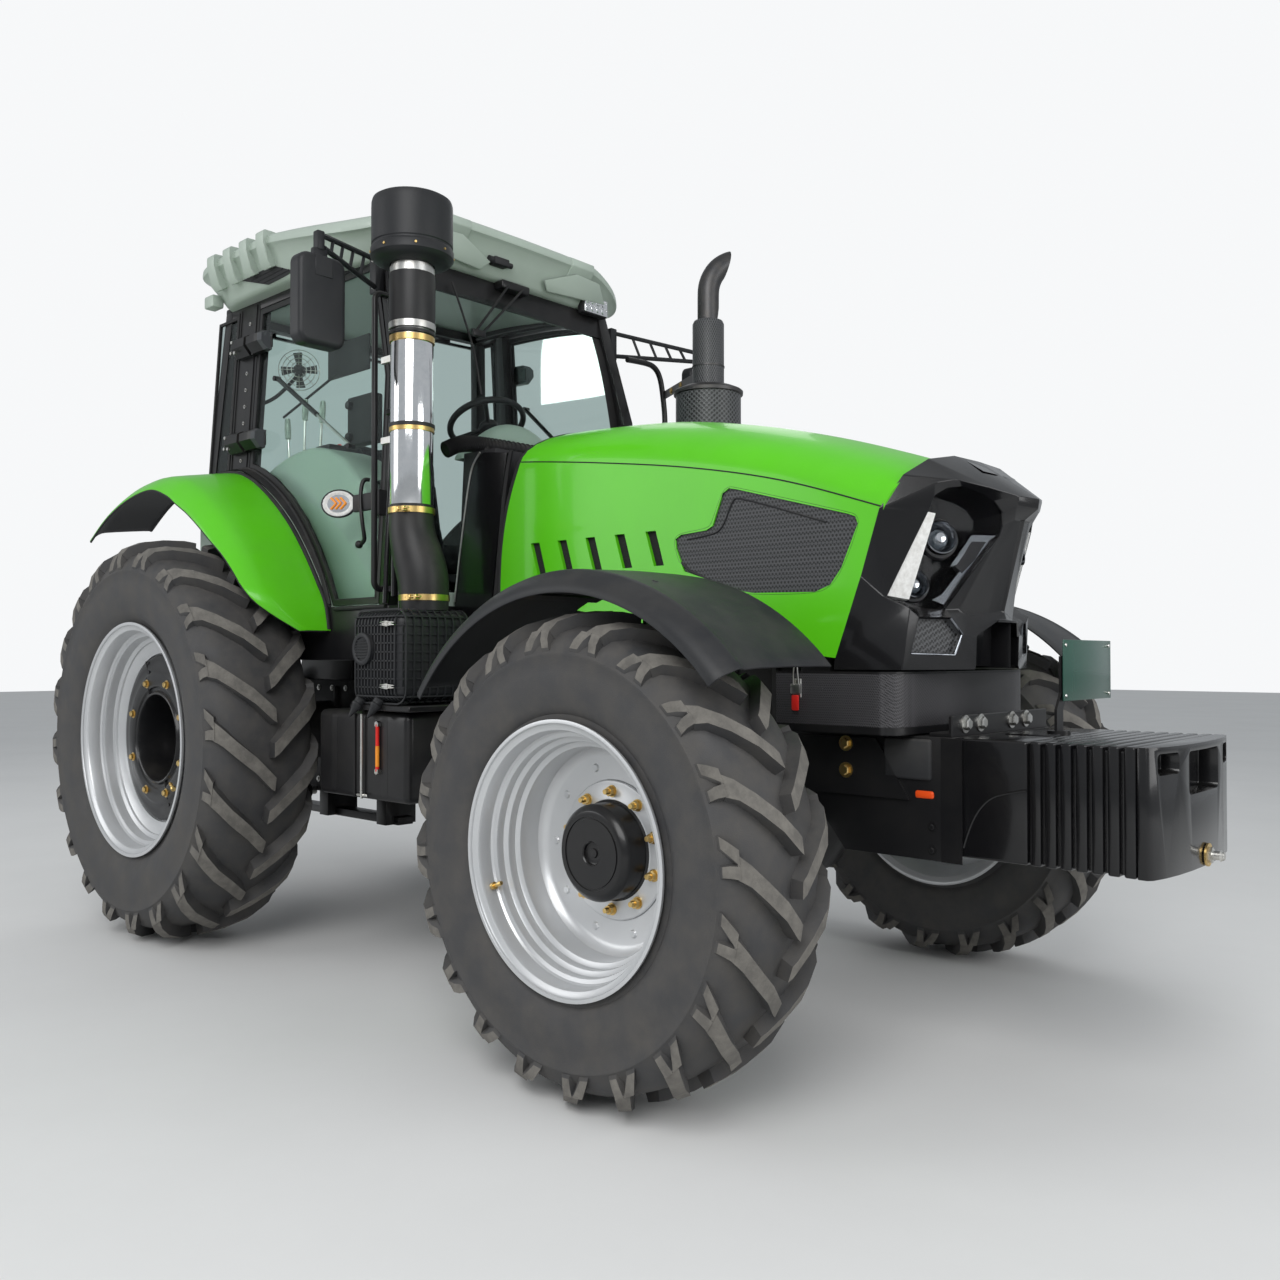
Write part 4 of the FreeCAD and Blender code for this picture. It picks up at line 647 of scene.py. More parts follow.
nodeFinishes = {
    "main_frame": "frameBlack", "engine_block": "castBlack", "gearbox": "castBlack", "front_axle": "frameBlack",
    "weight_carrier": "frameBlack", "front_weight": "glossBlack", "tow_pin": "zincSilver",
    "sign_plate": "plateGreen", "radiator_band": "mattBlack", "air_box": "mattBlack", "fuel_tanks": "frameBlack",
    "steps": "frameBlack", "intake_cap": "mattBlack", "intake_pipe": "chrome", "exhaust": "stackSteel",
    "cab_frame": "frameBlack", "cab_roof": "roofGrey", "cab_floor": "wheelHouse", "windscreen": "screenGlass",
    "cab_glass": "screenGlass", "cowl": "glossBlack", "controls": "dashGrey", "steering_wheel": "trimBlack",
    "driver_seat": "seatCloth", "rear_fenders": "bonnetGreen", "mirrors": "mattBlack", "handrails": "frameBlack",
    "lamps": "lampGlass", "drawbar": "frameBlack", "top_link": "frameBlack", "link_pins": "zincSilver",
    "bonnet": "bonnetGreen", "bonnet_mesh": "mattBlack", "nose_cowl": "glossBlack", "headlamps": "lampGlass",
    "steer_rod": "chrome", "lift_arms": "frameBlack",
}
for side in ("left", "right"):
    nodeFinishes[f"knuckle_{side}"] = "castBlack"
    nodeFinishes[f"front_fender_{side}"] = "mattBlack"
    nodeFinishes[f"door_{side}"] = "frameBlack"
    nodeFinishes[f"door_glass_{side}"] = "screenGlass"
    nodeFinishes[f"lower_link_{side}"] = "frameBlack"
    for end in ("front", "rear"):
        nodeFinishes[f"{end}_tyre_{side}"] = "tyreRubber"
        nodeFinishes[f"{end}_rim_{side}"] = "rimSilver"
        nodeFinishes[f"{end}_hub_{side}"] = "hubBlack"
for name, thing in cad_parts.items():
    for holder in thing.material_slots:
        holder.link = "OBJECT"
        holder.material = materials[nodeFinishes[name]]


# wheels: the profile of each tyre and rim is (out from the wheel's middle, radius)

wheelSet = {
    "front": {
        "middle": 1.053, "x": frontAxleX, "radius": 0.682, "lugs": 20, "lugHalf": 0.024, "run": 0.122,
        "carcass": ((0, .644), (.06, .642), (.12, .634), (.155, .616), (.176, .588), (.186, .566), (.1895, .562),
                    (.1895, .556), (.187, .552), (.1895, .51), (.186, .46), (.175, .42), (.168, .404), (.160, .395),
                    (.160, .372)),
        "crown": ((0, .682), (.06, .680), (.115, .673), (.155, .660), (.180, .636), (.1895, .600), (.1885, .572)),
        "rim": ((.180, .381), (.1805, .3795), (.1805, .371), (.1775, .369), (.174, .3685), (.170, .364),
                (.166, .352), (.160, .349), (.122, .347), (.116, .342), (.112, .331), (.106, .329), (.088, .329),
                (.084, .324), (.080, .316), (.074, .314), (.056, .314), (.052, .309), (.048, .300), (.042, .298),
                (-.020, .296), (-.030, .290), (-.040, .280), (-.045, .268), (-.045, .200), (-.061, .200),
                (-.061, .290), (-.050, .318), (-.10, .330), (-.15, .345), (-.17, .349), (-.178, .366),
                (-.1805, .372), (-.1805, .3795), (-.180, .381), (-.172, .380), (-.168, .360), (-.158, .3565),
                (-.07, .3565), (-.05, .326), (.03, .326), (.06, .3565), (.158, .3565), (.168, .360), (.172, .380)),
    },
    "rear": {
        "middle": 1.030, "x": rearAxleX, "radius": 0.876, "lugs": 20, "lugHalf": 0.031, "run": 0.150,
        "carcass": ((0, .828), (.08, .826), (.15, .816), (.195, .795), (.219, .762), (.229, .738), (.233, .733),
                    (.233, .727), (.2305, .722), (.2335, .68), (.230, .61), (.219, .56), (.208, .535), (.196, .522),
                    (.190, .500)),
        "crown": ((0, .876), (.08, .873), (.15, .862), (.197, .846), (.223, .818), (.2325, .775), (.2315, .742)),
        "rim": ((.211, .508), (.2115, .506), (.2115, .496), (.208, .4935), (.204, .493), (.199, .488),
                (.194, .474), (.187, .470), (.140, .468), (.133, .462), (.129, .448), (.122, .446), (.090, .446),
                (.086, .441), (.082, .430), (.074, .428), (.070, .420), (.063, .400), (.060, .386), (.060, .374),
                (.046, .374), (.046, .388), (.050, .410), (.02, .436), (-.05, .448), (-.17, .462), (-.192, .470),
                (-.206, .492), (-.2115, .498), (-.2115, .506), (-.211, .508), (-.202, .507), (-.197, .486),
                (-.186, .4825), (-.09, .4825), (-.07, .452), (.05, .452), (.08, .4825), (.186, .4825), (.197, .486),
                (.202, .507)),
    },
}


skirtPoints = 7  # so many points of a carcass carry the lugs


def wayAlong(points, share):  # a point at that share of a broken line's length
    lengths = [math.dist(a, b) for a, b in zip(points, points[1:])]
    left = share * sum(lengths)
    for (a, b), length in zip(zip(points, points[1:]), lengths):
        if left <= length:
            mix = left / length
            return tuple(u + (v - u) * mix for u, v in zip(a, b))
        left -= length
    return points[-1]


def wheelPoint(spec, side, out, radius, angle):  # angle runs forward from the top
    return Vector((spec["x"] + radius * math.sin(angle), side * (spec["middle"] + out),
                   spec["radius"] + radius * math.cos(angle)))


def lugStrip(bm, spec, side, stations, angle, hand):  # stations hold (share, run, half width, height share)
    rows = []
    skirt = spec["carcass"][:skirtPoints]
    for share, run, half, lift in stations:
        foot = wayAlong(skirt, share)
        head = wayAlong(spec["crown"], share)
        head = tuple(f + (h - f) * lift for f, h in zip(foot, head))
        foot = tuple(f - (h - f) * 0.25 for f, h in zip(foot, head))
        ring = []
        for level, width in ((foot, half * 1.28), (head, half)):
            for way in (-1, 1):
                turn = angle + (run + way * width) / spec["radius"]
                ring.append(bm.verts.new(wheelPoint(spec, side, hand * level[0], level[1], turn)))
        rows.append((ring[0], ring[1], ring[3], ring[2]))
    tops = []
    for first, second in zip(rows, rows[1:]):
        for index in range(4):
            other = (index + 1) % 4
            face = bm.faces.new((first[index], first[other], second[other], second[index]))
            if index == 2:
                tops.append(face)
    bm.faces.new(rows[0])
    bm.faces.new(reversed(rows[-1]))
    for face in tops:
        face.material_index = 1


def makeTyre(end, side, name):
    spec = wheelSet[end]
    bm = bmesh.new()
    half = list(spec["carcass"])
    whole = [(-out, radius) for out, radius in reversed(half[1:])] + half
    lathe(bm, whole, (spec["x"], side * spec["middle"], spec["radius"]), axisY, 120)
    run = spec["run"]
    width = spec["lugHalf"]
    main = [(-0.02, run, width * 0.9, 0.94), (0.04, run * 0.90, width, 1), (0.25, run * 0.46, width, 1),
            (0.5, 0.02 * run, width * 1.05, 1), (0.68, -0.34 * run, width * 1.15, 1),
            (0.80, -0.52 * run, width * 1.35, 1)]
    ahead = [(0.78, -0.40 * run, width * 0.72, 1), (0.88, -0.42 * run, width * 0.68, 0.96),
             (0.97, -0.40 * run, width * 0.64, 0.8)]
    behind = [(0.78, -0.72 * run, width * 0.86, 1), (0.88, -0.92 * run, width * 0.80, 0.96),
              (0.97, -1.08 * run, width * 0.72, 0.8)]
    for index in range(spec["lugs"]):
        for hand, stagger in ((1, 0.0), (-1, 0.5)):
            angle = fullTurn * (index + stagger) / spec["lugs"]
            for stations in (main, ahead, behind):
                lugStrip(bm, spec, side, stations, angle, hand)
    finishPiece(bm, name, f"{end}_wheel_{name.split('_')[-1]}", ["tyreRubber", "lugTop"],
                (f"{end}_tyre_{name.split('_')[-1]}",), sharp=38)


for end in ("front", "rear"):
    for sideName, side in (("left", 1), ("right", -1)):
        makeTyre(end, side, f"{end}_tread_{sideName}")
print("tyres made")

# rims, hubs and their bolts

def makeRim(end, side, sideName):
    spec = wheelSet[end]
    centre = (spec["x"], side * spec["middle"], spec["radius"])
    outward = axisY * side
    bm = bmesh.new()
    lathe(bm, spec["rim"], centre, outward, 128, 0, closed=True)
    if end == "front":
        for index in range(10):
            angle = fullTurn * (index + 0.5) / 10
            drum(bm, wheelPoint(spec, side, -.046, .240, angle), outward, .0135, .006, 0, 20, .009)
    valve = wheelPoint(spec, side, .135, .344, 4.35 if end == "front" else 2.2)
    inward = (Vector(centre) - valve) * Vector((1, 0, 1))
    drum(bm, valve, inward, .011, .012, 1, 16)
    drum(bm, valve + inward.normalized() * .012, inward, .006, .020, 1, 12)
    drum(bm, valve + inward.normalized() * .030, inward, .0075, .012, 1, 12, .006)
    finishPiece(bm, f"{end}_wheel_rim_{sideName}", f"{end}_wheel_{sideName}", ["rimSilver", "zincGold"],
                (f"{end}_rim_{sideName}",), sharp=28)


hubProfiles = {
    "front": ((-.073, 0), (-.073, .137), (-.056, .137), (-.056, .196), (-.054, .199), (-.040, .199), (-.037, .196),
              (-.036, .190), (-.036, .1475), (-.034, .144), (-.030, .137), (.030, .137), (.034, .1355),
              (.049, .120), (.050, .117), (.050, .104), (.047, .103), (.047, .098), (.050, .097), (.050, .035),
              (.047, .032), (.038, .031), (.037, .028), (.037, .014), (.041, .012), (.041, 0)),
    "rear": ((-.26, 0), (-.26, .185), (-.22, .185), (-.20, .22), (.040, .232), (.044, .240), (.044, .360),
             (.047, .3675), (.058, .3675), (.064, .364), (.069, .352), (.073, .330), (.075, .300), (.079, .293),
             (.083, .285), (.085, .276), (.085, .234), (.083, .227), (.076, .222), (.076, .208), (.081, .204),
             (.087, .201), (.089, .197), (.087, .192), (.080, .189), (-.02, .182), (-.10, .178), (-.106, .172),
             (-.108, .150), (-.110, .098), (-.085, .092), (-.076, .088), (-.072, .078), (-.070, .040),
             (-.064, .036), (-.062, 0)),
}


def makeHub(end, side, sideName):
    spec = wheelSet[end]
    centre = (spec["x"], side * spec["middle"], spec["radius"])
    outward = axisY * side
    bm = bmesh.new()
    lathe(bm, hubProfiles[end], centre, outward, 96)
    if end == "front":
        plate = [face for face in bm.faces if (face.calc_center_median() - Vector(centre)).dot(outward) < -.034]
        for face in plate:
            face.material_index = 2
        for index in range(10):
            angle = fullTurn * index / 10
            spot = wheelPoint(spec, side, -.036, .168, angle)
            drum(bm, spot, outward, .0175, .003, 1, 20)
            drum(bm, spot, outward, .0145, .018, 1, 6, .0138)
            drum(bm, spot + outward * .018, outward, .0085, .014, 1, 14, .0075)
        bolt = wheelPoint(spec, side, .037, 0, 0)
        drum(bm, bolt, outward, .011, .003, 0, 6)
    else:
        for index in range(8):
            angle = fullTurn * (index + 0.5) / 8
            hexBolt(bm, wheelPoint(spec, side, .084, .255, angle), outward, .0135, .017, 1)
        for angle in (2.75, 5.89):  # the casting's two halves meet here
            across = Vector((math.cos(angle), 0, -math.sin(angle)))
            for radius, depth in ((.305, .068), (.350, .063)):
                spot = wheelPoint(spec, side, depth, radius, angle)
                drum(bm, spot + across * .016 - outward * .004, outward, .0085, .014, 0, 6)
            for low, high, level in ((.205, .285, .0856), (.296, .364, .0738)):
                corners = [wheelPoint(spec, side, level, radius, angle) + across * shift
                           for radius, shift in ((low, -.0016), (high, -.0016), (high, .0016), (low, .0016))]
                slab(bm, corners, outward * -.012, 3)
        for index in range(8):
            angle = fullTurn * index / 8
            drum(bm, wheelPoint(spec, side, -.108, .135, angle), outward, .010, .012, 0, 6)
    finishPiece(bm, f"{end}_wheel_centre_{sideName}", f"{end}_wheel_{sideName}", ["hubBlack", "zincGold",
                                                                                  "rimSilver", "sealRubber"],
                (f"{end}_hub_{sideName}",), sharp=30)


for end in ("front", "rear"):
    for sideName, side in (("left", 1), ("right", -1)):
        makeRim(end, side, sideName)
        makeHub(end, side, sideName)
print("rims and hubs made")


# bonnet: a grid between its slanted ends, crowned above the seam and flat below it

bonnetShape = {"half": 0.450, "wall": 0.014, "crown": ((1.50, 2.136), (1.80, 2.136), (2.20, 2.118), (2.50, 2.072),
                                                       (2.85, 1.984), (3.15, 1.888), (3.35, 1.815)),
               "seam": ((1.50, 2.004), (1.66, 1.990), (2.10, 1.935), (2.56, 1.862), (2.90, 1.785), (3.30, 1.655)),
               "foot": ((1.50, 1.475), (2.00, 1.400), (2.43, 1.330), (2.83, 1.265), (3.10, 1.228), (3.30, 1.215)),
               "rearEdge": ((1.20, 1.540), (1.50, 1.540), (1.99, 1.655), (2.08, 1.735), (2.14, 1.780)),
               "frontEdge": ((1.20, 3.072), (1.23, 3.084), (1.47, 3.172), (1.67, 3.252), (1.76, 3.290),
                             (1.82, 3.318), (1.86, 3.330)), "mesh": ((2.490, 1.521), (2.455, 1.600), (2.452, 1.632),
                                                                     (2.475, 1.645), (2.585, 1.652), (2.612, 1.664),
                                                                     (2.655, 1.768), (2.680, 1.782), (2.710, 1.776),
                                                                     (3.130, 1.660), (3.155, 1.650), (3.163, 1.628),
                                                                     (3.106, 1.500), (3.066, 1.450), (3.012, 1.431),
                                                                     (2.780, 1.437), (2.740, 1.443)), }


def bonnetPoint(x, share):  # share runs from the foot (0) over the seam (0.5) to the crown (1)
    crown, seam, foot = (smoothLine(bonnetShape[part], x) for part in ("crown", "seam", "foot"))
    half = bonnetShape["half"]
    if share <= 0.5:
        return half, foot + (seam - foot) * share / 0.5
    angle = (share - 0.5) / 0.5 * math.pi / 2
    round = 1.45
    y = half * math.cos(angle) ** (2 / round * 0.62)
    return y, seam + (crown - seam) * math.sin(angle) ** (2 / round * 0.66)


def sideWindow(points, inner, outer):  # outline of (x, z) on both sides, between two distances from the middle
    bm = bmesh.new()
    for sign in (1, -1):
        slab(bm, sideways(points, sign * inner), (0, sign * (outer - inner), 0))
    return bm


slotPoints = []
for step in range(5):
    x = 1.722 + 0.148 * step
    slotPoints.append([(x + .040, 1.546), (x + .086, 1.546), (x + .048, 1.668), (x, 1.668)])


def makeBonnet():
    bm = bmesh.new()
    shares = [0, 0.12, 0.25, 0.38, 0.46, 0.5, 0.53, 0.58, 0.64, 0.71, 0.79, 0.88, 0.95, 1]
    columns = 40
    rows = []
    for column in range(columns + 1):
        row = []
        for share in shares + [2 - share for share in reversed(shares[:-1])]:
            side = 1 if share <= 1 else -1
            level = share if share <= 1 else 2 - share
            x = 2.4
            for _ in range(4):  # the end lines depend on height, and height on x
                y, z = bonnetPoint(x, level)
                rear = smoothLine(bonnetShape["rearEdge"], z)
                front = smoothLine(bonnetShape["frontEdge"], z)
                x = rear + (front - rear) * column / columns
            row.append(bm.verts.new(along(x, side * y, z)))
        rows.append(row)
    for first, second in zip(rows, rows[1:]):
        for index in range(len(first) - 1):
            bm.faces.new((first[index], first[index + 1], second[index + 1], second[index]))
    bmesh.ops.recalc_face_normals(bm, faces=bm.faces)
    shell = tempObject(bm, "bonnet_shell")
    wall = shell.modifiers.new("wall", "SOLIDIFY")
    wall.thickness = bonnetShape["wall"]
    wall.offset = -1
    applyModifiers(shell)
    outer = bonnetShape["half"] + 0.02
    cutters = [tempObject(sideWindow(points, outer - 0.06, outer)) for points in slotPoints + [bonnetShape["mesh"]]]
    strip = bmesh.new()
    slab(strip, path((2.62, -.072, 1.7), (2.62, .072, 1.7), (3.40, .118, 1.7), (3.40, -.118, 1.7)),
         (0, 0, 0.6))
    cutters.append(tempObject(strip))
    bm = takeBack(openBy(shell, cutters))
    finishPiece(bm, "bonnet_skin", "bonnet", ["bonnetGreen"], ("bonnet",), sharp=24, merge=0.00005)


def makeBonnetSeals():  # narrow groove of the seam along the side, and rubber at the rear edge
    bm = bmesh.new()
    groove = []
    for step in range(40):
        x = 1.665 + (3.24 - 1.665) * step / 39
        groove.append(along(x, bonnetShape["half"] + .0004, smoothLine(bonnetShape["seam"], x) - .002))
    pipe(bm, groove, .0022, 0, 2, 2)
    mirrorAcross(bm)
    rear = []
    for share in (0.02, 0.1, 0.2, 0.3, 0.4, 0.5, 0.53, 0.58, 0.64, 0.71, 0.79, 0.88, 0.95, 1):
        x = 1.6
        for _ in range(4):
            y, z = bonnetPoint(x, share)
            x = smoothLine(bonnetShape["rearEdge"], z)
        rear.append(along(x - .004, y - .006, z - .006))
    pipe(bm, rear + [point * Vector((1, -1, 1)) for point in reversed(rear[:-1])], .011, 0, 3, 4)
    finishPiece(bm, "bonnet_seals", "bonnet", ["sealRubber"])


makeBonnet()
makeBonnetSeals()
print("bonnet made")

# nose: flat facets between named points, (forward, left, up), drawn for the left and mirrored

nosePoints = {"top0": (3.330, 0, 1.850), "top1": (3.326, .16, 1.848), "top2": (3.314, .30, 1.822),
              "top3": (3.288, .405, 1.765), "side0": (3.250, .450, 1.668), "side1": (3.172, .450, 1.470),
              "side2": (3.084, .450, 1.240), "side3": (3.076, .446, 1.195), "lip0": (3.525, 0, 1.712),
              "lip1": (3.498, .085, 1.716), "lip2": (3.455, .190, 1.735), "lip3": (3.405, .290, 1.752),
              "lip4": (3.366, .352, 1.738), "brow0": (3.520, 0, 1.682), "brow1": (3.490, .085, 1.684),
              "arch5": (3.456, .104, 1.667), "arch4": (3.447, .141, 1.699), "arch3": (3.431, .189, 1.720),
              "arch2": (3.403, .261, 1.735), "arch1": (3.380, .308, 1.729), "arch0": (3.356, .341, 1.706),
              "eye0": (3.344, .362, 1.655), "eye1": (3.234, .434, 1.414), "eye2": (3.248, .395, 1.394),
              "eye3": (3.275, .326, 1.378), "eye4": (3.326, .216, 1.374), "eye5": (3.442, .096, 1.599),
              "eye6": (3.452, .094, 1.633), "bezel0": (3.470, .052, 1.650), "bezel1": (3.348, .178, 1.376),
              "bezel2": (3.372, .150, 1.352), "blade0": (3.470, .010, 1.652), "blade1": (3.404, .010, 1.372),
              "blade2": (3.480, 0, 1.652), "blade3": (3.412, 0, 1.372), "hub0": (3.418, 0, 1.348),
              "hub1": (3.408, .062, 1.346), "fog0": (3.318, .372, 1.350), "fog1": (3.362, .250, 1.350),
              "fog2": (3.378, .205, 1.300), "fog3": (3.366, .232, 1.236), "fog4": (3.308, .400, 1.240),
              "cheek0": (3.312, .410, 1.374), "cheek1": (3.296, .428, 1.195), "chin1": (3.360, .240, 1.195),
              "chin2": (3.389, .156, 1.195), "recess0": (3.392, .150, 1.296), "recess1": (3.424, .068, 1.345),
              "recess2": (3.432, 0, 1.345), "recess3": (3.430, 0, 1.200), "recess4": (3.389, .150, 1.206), }
noseFacets = (("top0", "lip0", "lip1", "top1"), ("top1", "lip1", "lip2", "top2"), ("top2", "lip2", "lip3", "top3"),
              ("top3", "lip3", "lip4", "side0"), ("lip0", "brow0", "brow1", "lip1"),
              ("lip1", "brow1", "arch5", "arch4"), ("lip1", "arch4", "arch3", "lip2"),
              ("lip2", "arch3", "arch2", "lip3"), ("lip3", "arch2", "arch1", "lip4"), ("lip4", "arch1", "arch0"),
              ("lip4", "arch0", "eye0", "side0"), ("side0", "eye0", "eye1", "side1"),
              ("side1", "eye1", "cheek0", "side2"), ("side2", "cheek0", "cheek1", "side3"),
              ("eye1", "eye2", "cheek0"), ("eye2", "eye3", "fog0", "cheek0"), ("eye3", "eye4", "fog1", "fog0"),
              ("eye4", "bezel1", "bezel2", "fog2", "fog1"), ("eye4", "eye5", "bezel1"),
              ("eye5", "eye6", "bezel0", "bezel1"), ("eye6", "arch5", "brow1", "bezel0"), ("bezel0", "blade0",
                                                                                           "blade1", "bezel2",
                                                                                           "bezel1"),
              ("blade0", "blade2", "blade3", "blade1"), ("brow1", "brow0", "blade2", "blade0", "bezel0"), ("bezel2",
                                                                                                           "blade1",
                                                                                                           "blade3",
                                                                                                           "hub0",
                                                                                                           "hub1"),
              ("bezel2", "hub1", "recess1", "recess0", "fog2"), ("hub1", "hub0", "recess2", "recess1"),
              ("fog2", "recess0", "recess4", "fog3"), ("fog3", "recess4", "chin2", "chin1"),
              ("fog3", "chin1", "cheek1", "fog4"), ("fog4", "cheek1", "cheek0", "fog0"), )
eyeRing = ("eye0", "eye1", "eye2", "eye3", "eye4", "eye5", "eye6", "arch5", "arch4", "arch3", "arch2", "arch1",
           "arch0")
fogRing = ("fog0", "fog1", "fog2", "fog3", "fog4")
recessRing = ("recess0", "recess1", "recess2", "recess3", "recess4")


def nosePlace(name):
    return along(*nosePoints[name])


def pocket(bm, ring, push, shrink, finish=0):  # a sunken tray behind an opening
    whole, bm = bm, bmesh.new()
    outer = [nosePlace(name) for name in ring]
    middle = sum(outer, Vector()) / len(outer)
    inner = [middle + (point - middle) * shrink + Vector(push) for point in outer]
    front = [bm.verts.new(point) for point in outer]
    back = [bm.verts.new(point) for point in inner]
    for index in range(len(ring)):
        other = (index + 1) % len(ring)
        bm.faces.new((front[index], front[other], back[other], back[index]))
    bm.faces.new(back)
    addPart(whole, bm, finish)
    return inner


def makeNose():
    bm = bmesh.new()
    made = {}
    for facet in noseFacets:
        for name in facet:
            if name not in made:
                made[name] = bm.verts.new(nosePlace(name))
        bm.faces.new([made[name] for name in facet])
    mirrorAcross(bm)
    bmesh.ops.remove_doubles(bm, verts=bm.verts, dist=0.0004)
    bmesh.ops.recalc_face_normals(bm, faces=bm.faces)
    edges = sharpEdges(bm, 0.20)
    roundOff(bm, edges, 0.0035, 3)
    bm = thicken(bm, "nose_shell", 0.006)
    trays = bmesh.new()
    pocket(trays, eyeRing, (-0.085, 0.0, -0.01), 0.90)
    pocket(trays, recessRing, (-0.06, 0.0, 0.0), 0.92)
    mirrorAcross(trays)
    addPart(bm, trays)
    finishPiece(bm, "nose_shell_panels", "bonnet", ["glossBlack"], ("nose_cowl",), sharp=16, merge=0)


lampFacing = Vector((0.80, 0.56, 0.18)).normalized()


def makeHeadlamps():
    bm = bmesh.new()
    for centre, radius in (((3.330, .268, 1.586), .050), ((3.272, .318, 1.448), .042)):
        centre = along(*centre)
        profile = ((-.030, radius * 0.9), (.010, radius), (.016, radius * 1.02), (.018, radius * 0.96),
                   (.010, radius * 0.84), (-.012, radius * 0.70), (-.014, radius * 0.66))
        lathe(bm, profile, centre, lampFacing, 40, 0)
        lathe(bm, ((-.016, radius * 0.68), (-.004, radius * 0.60), (.006, radius * 0.42), (.011, radius * 0.2),
                   (.012, 0)), centre, lampFacing, 36, 1)
        lathe(bm, ((.004, radius * 0.36), (.012, radius * 0.30), (.015, 0)), centre, lampFacing, 28, 4)
        lathe(bm, ((-.020, radius * 1.25), (.000, radius * 1.22), (.002, radius * 1.05)), centre, lampFacing, 40, 2)
    strip = path((3.340, .356, 1.655), (3.350, .330, 1.652), (3.275, .352, 1.402), (3.240, .420, 1.412))
    slab(bm, [point + lampFacing * .004 for point in strip], lampFacing * -.020, 3)
    hook = [(3.404, .188, 1.602), (3.446, .100, 1.604), (3.332, .214, 1.392), (3.312, .262, 1.408),
            (3.330, .236, 1.424), (3.404, .132, 1.578), (3.392, .166, 1.580), (3.366, .208, 1.515),
            (3.352, .226, 1.508)]
    slab(bm, [along(*point) - lampFacing * .018 for point in hook], lampFacing * -.012, 0)
    wedge = [(3.366, .214, 1.512), (3.402, .176, 1.586), (3.432, .108, 1.588), (3.376, .186, 1.492)]
    slab(bm, [along(*point) - lampFacing * .026 for point in wedge], lampFacing * -.02, 2)
    mirrorAcross(bm)
    finishPiece(bm, "nose_lamps", "bonnet", ["smokedChrome", "lensGlass", "trimBlack", "runningLight", "chrome"],
                ("headlamps",), sharp=30, merge=0)


def makeLampCovers():
    bm = bmesh.new()
    bm.faces.new([bm.verts.new(nosePlace(name) - lampFacing * .004) for name in eyeRing])
    bmesh.ops.triangulate(bm, faces=bm.faces)
    mirrorAcross(bm)
    finishPiece(bm, "nose_lamp_covers", "bonnet", ["clearCover"], sharp=60, merge=0)


def makeLowerGrilles():  # mesh tray and bright rim of each lower opening
    bm = bmesh.new()
    inner = pocket(bm, fogRing, (-0.022, 0, 0), 0.97, 0)
    rim = [point + Vector((.018, 0, 0)) for point in inner]
    pipe(bm, [rim[1], rim[2], rim[2], rim[3], rim[3], rim[4]], .0045, 1, 3, 2)
    mirrorAcross(bm)
    finishPiece(bm, "nose_lower_grilles", "bonnet", ["mattMesh", "smokedChrome"], sharp=30, merge=0)


def makeBonnetStrip():  # dark strip over the bonnet's middle, let into its slot
    bm = bmesh.new()
    rows = []
    for step in range(25):
        x = 2.622 + (3.40 - 2.622) * step / 24
        half = .0700 + (.1170 - .0700) * step / 24
        level = smoothLine(bonnetShape["crown"], min(x, 3.35)) if x < 3.33 else 1.850 - (x - 3.33) * 0.68
        rows.append([bm.verts.new(along(x, y * half, level - 0.004 - 0.010 * (y * half / .45) ** 2)) for y in
                     (-1, -.5, 0, .5, 1)])
    for first, second in zip(rows, rows[1:]):
        for index in range(4):
            bm.faces.new((first[index], first[index + 1], second[index + 1], second[index]))
    finishPiece(bm, "bonnet_strip", "bonnet", ["glossBlack"], sharp=30)


Finish("lensGlass", (0.10, 0.12, 0.14), 0.05, 0.0).layer("patches", (0.03, 0.04, 0.05), 0.8, 40.0).fixed(
    Coat_Weight=1.0, Coat_Roughness=0.02, Specular_IOR_Level=0.8)
Finish("clearCover", (0.93, 0.94, 0.95), 0.01).fixed(Transmission_Weight=1.0, IOR=1.08).bump(
    0.01, 0.0001, 30.0, 3.0, 0.5)


def makeMesh(name, colour, pitch, hole, rough):  # fine perforation as dark dots of painted shade on a skin, in the piece's own metres
    made = Finish(name, colour, rough)
    nodes, links = made.nodes, made.links
    cells = nodes.new("ShaderNodeTexVoronoi")
    cells.feature = "F1"
    cells.inputs["Scale"].default_value = 1 / pitch
    cells.inputs["Randomness"].default_value = 0.0
    coords = nodes.new("ShaderNodeTexCoord").outputs["Object"]
    turn = nodes.new("ShaderNodeMapping")
    turn.inputs["Rotation"].default_value = (math.radians(45), 0, math.radians(45))
    links.new(coords, turn.inputs["Vector"])
    links.new(turn.outputs["Vector"], cells.inputs["Vector"])
    made.pierced(cells.outputs["Distance"], hole - 0.08, hole + 0.08, 0.12)


makeMesh("mattMesh", (0.060, 0.062, 0.066), 0.0095, 0.44, 0.45)
makeNose()
makeHeadlamps()
makeLampCovers()
makeLowerGrilles()
makeBonnetStrip()
print("nose and lamps made")


# roof: rings round one plan, from the underside over the rim to the crown

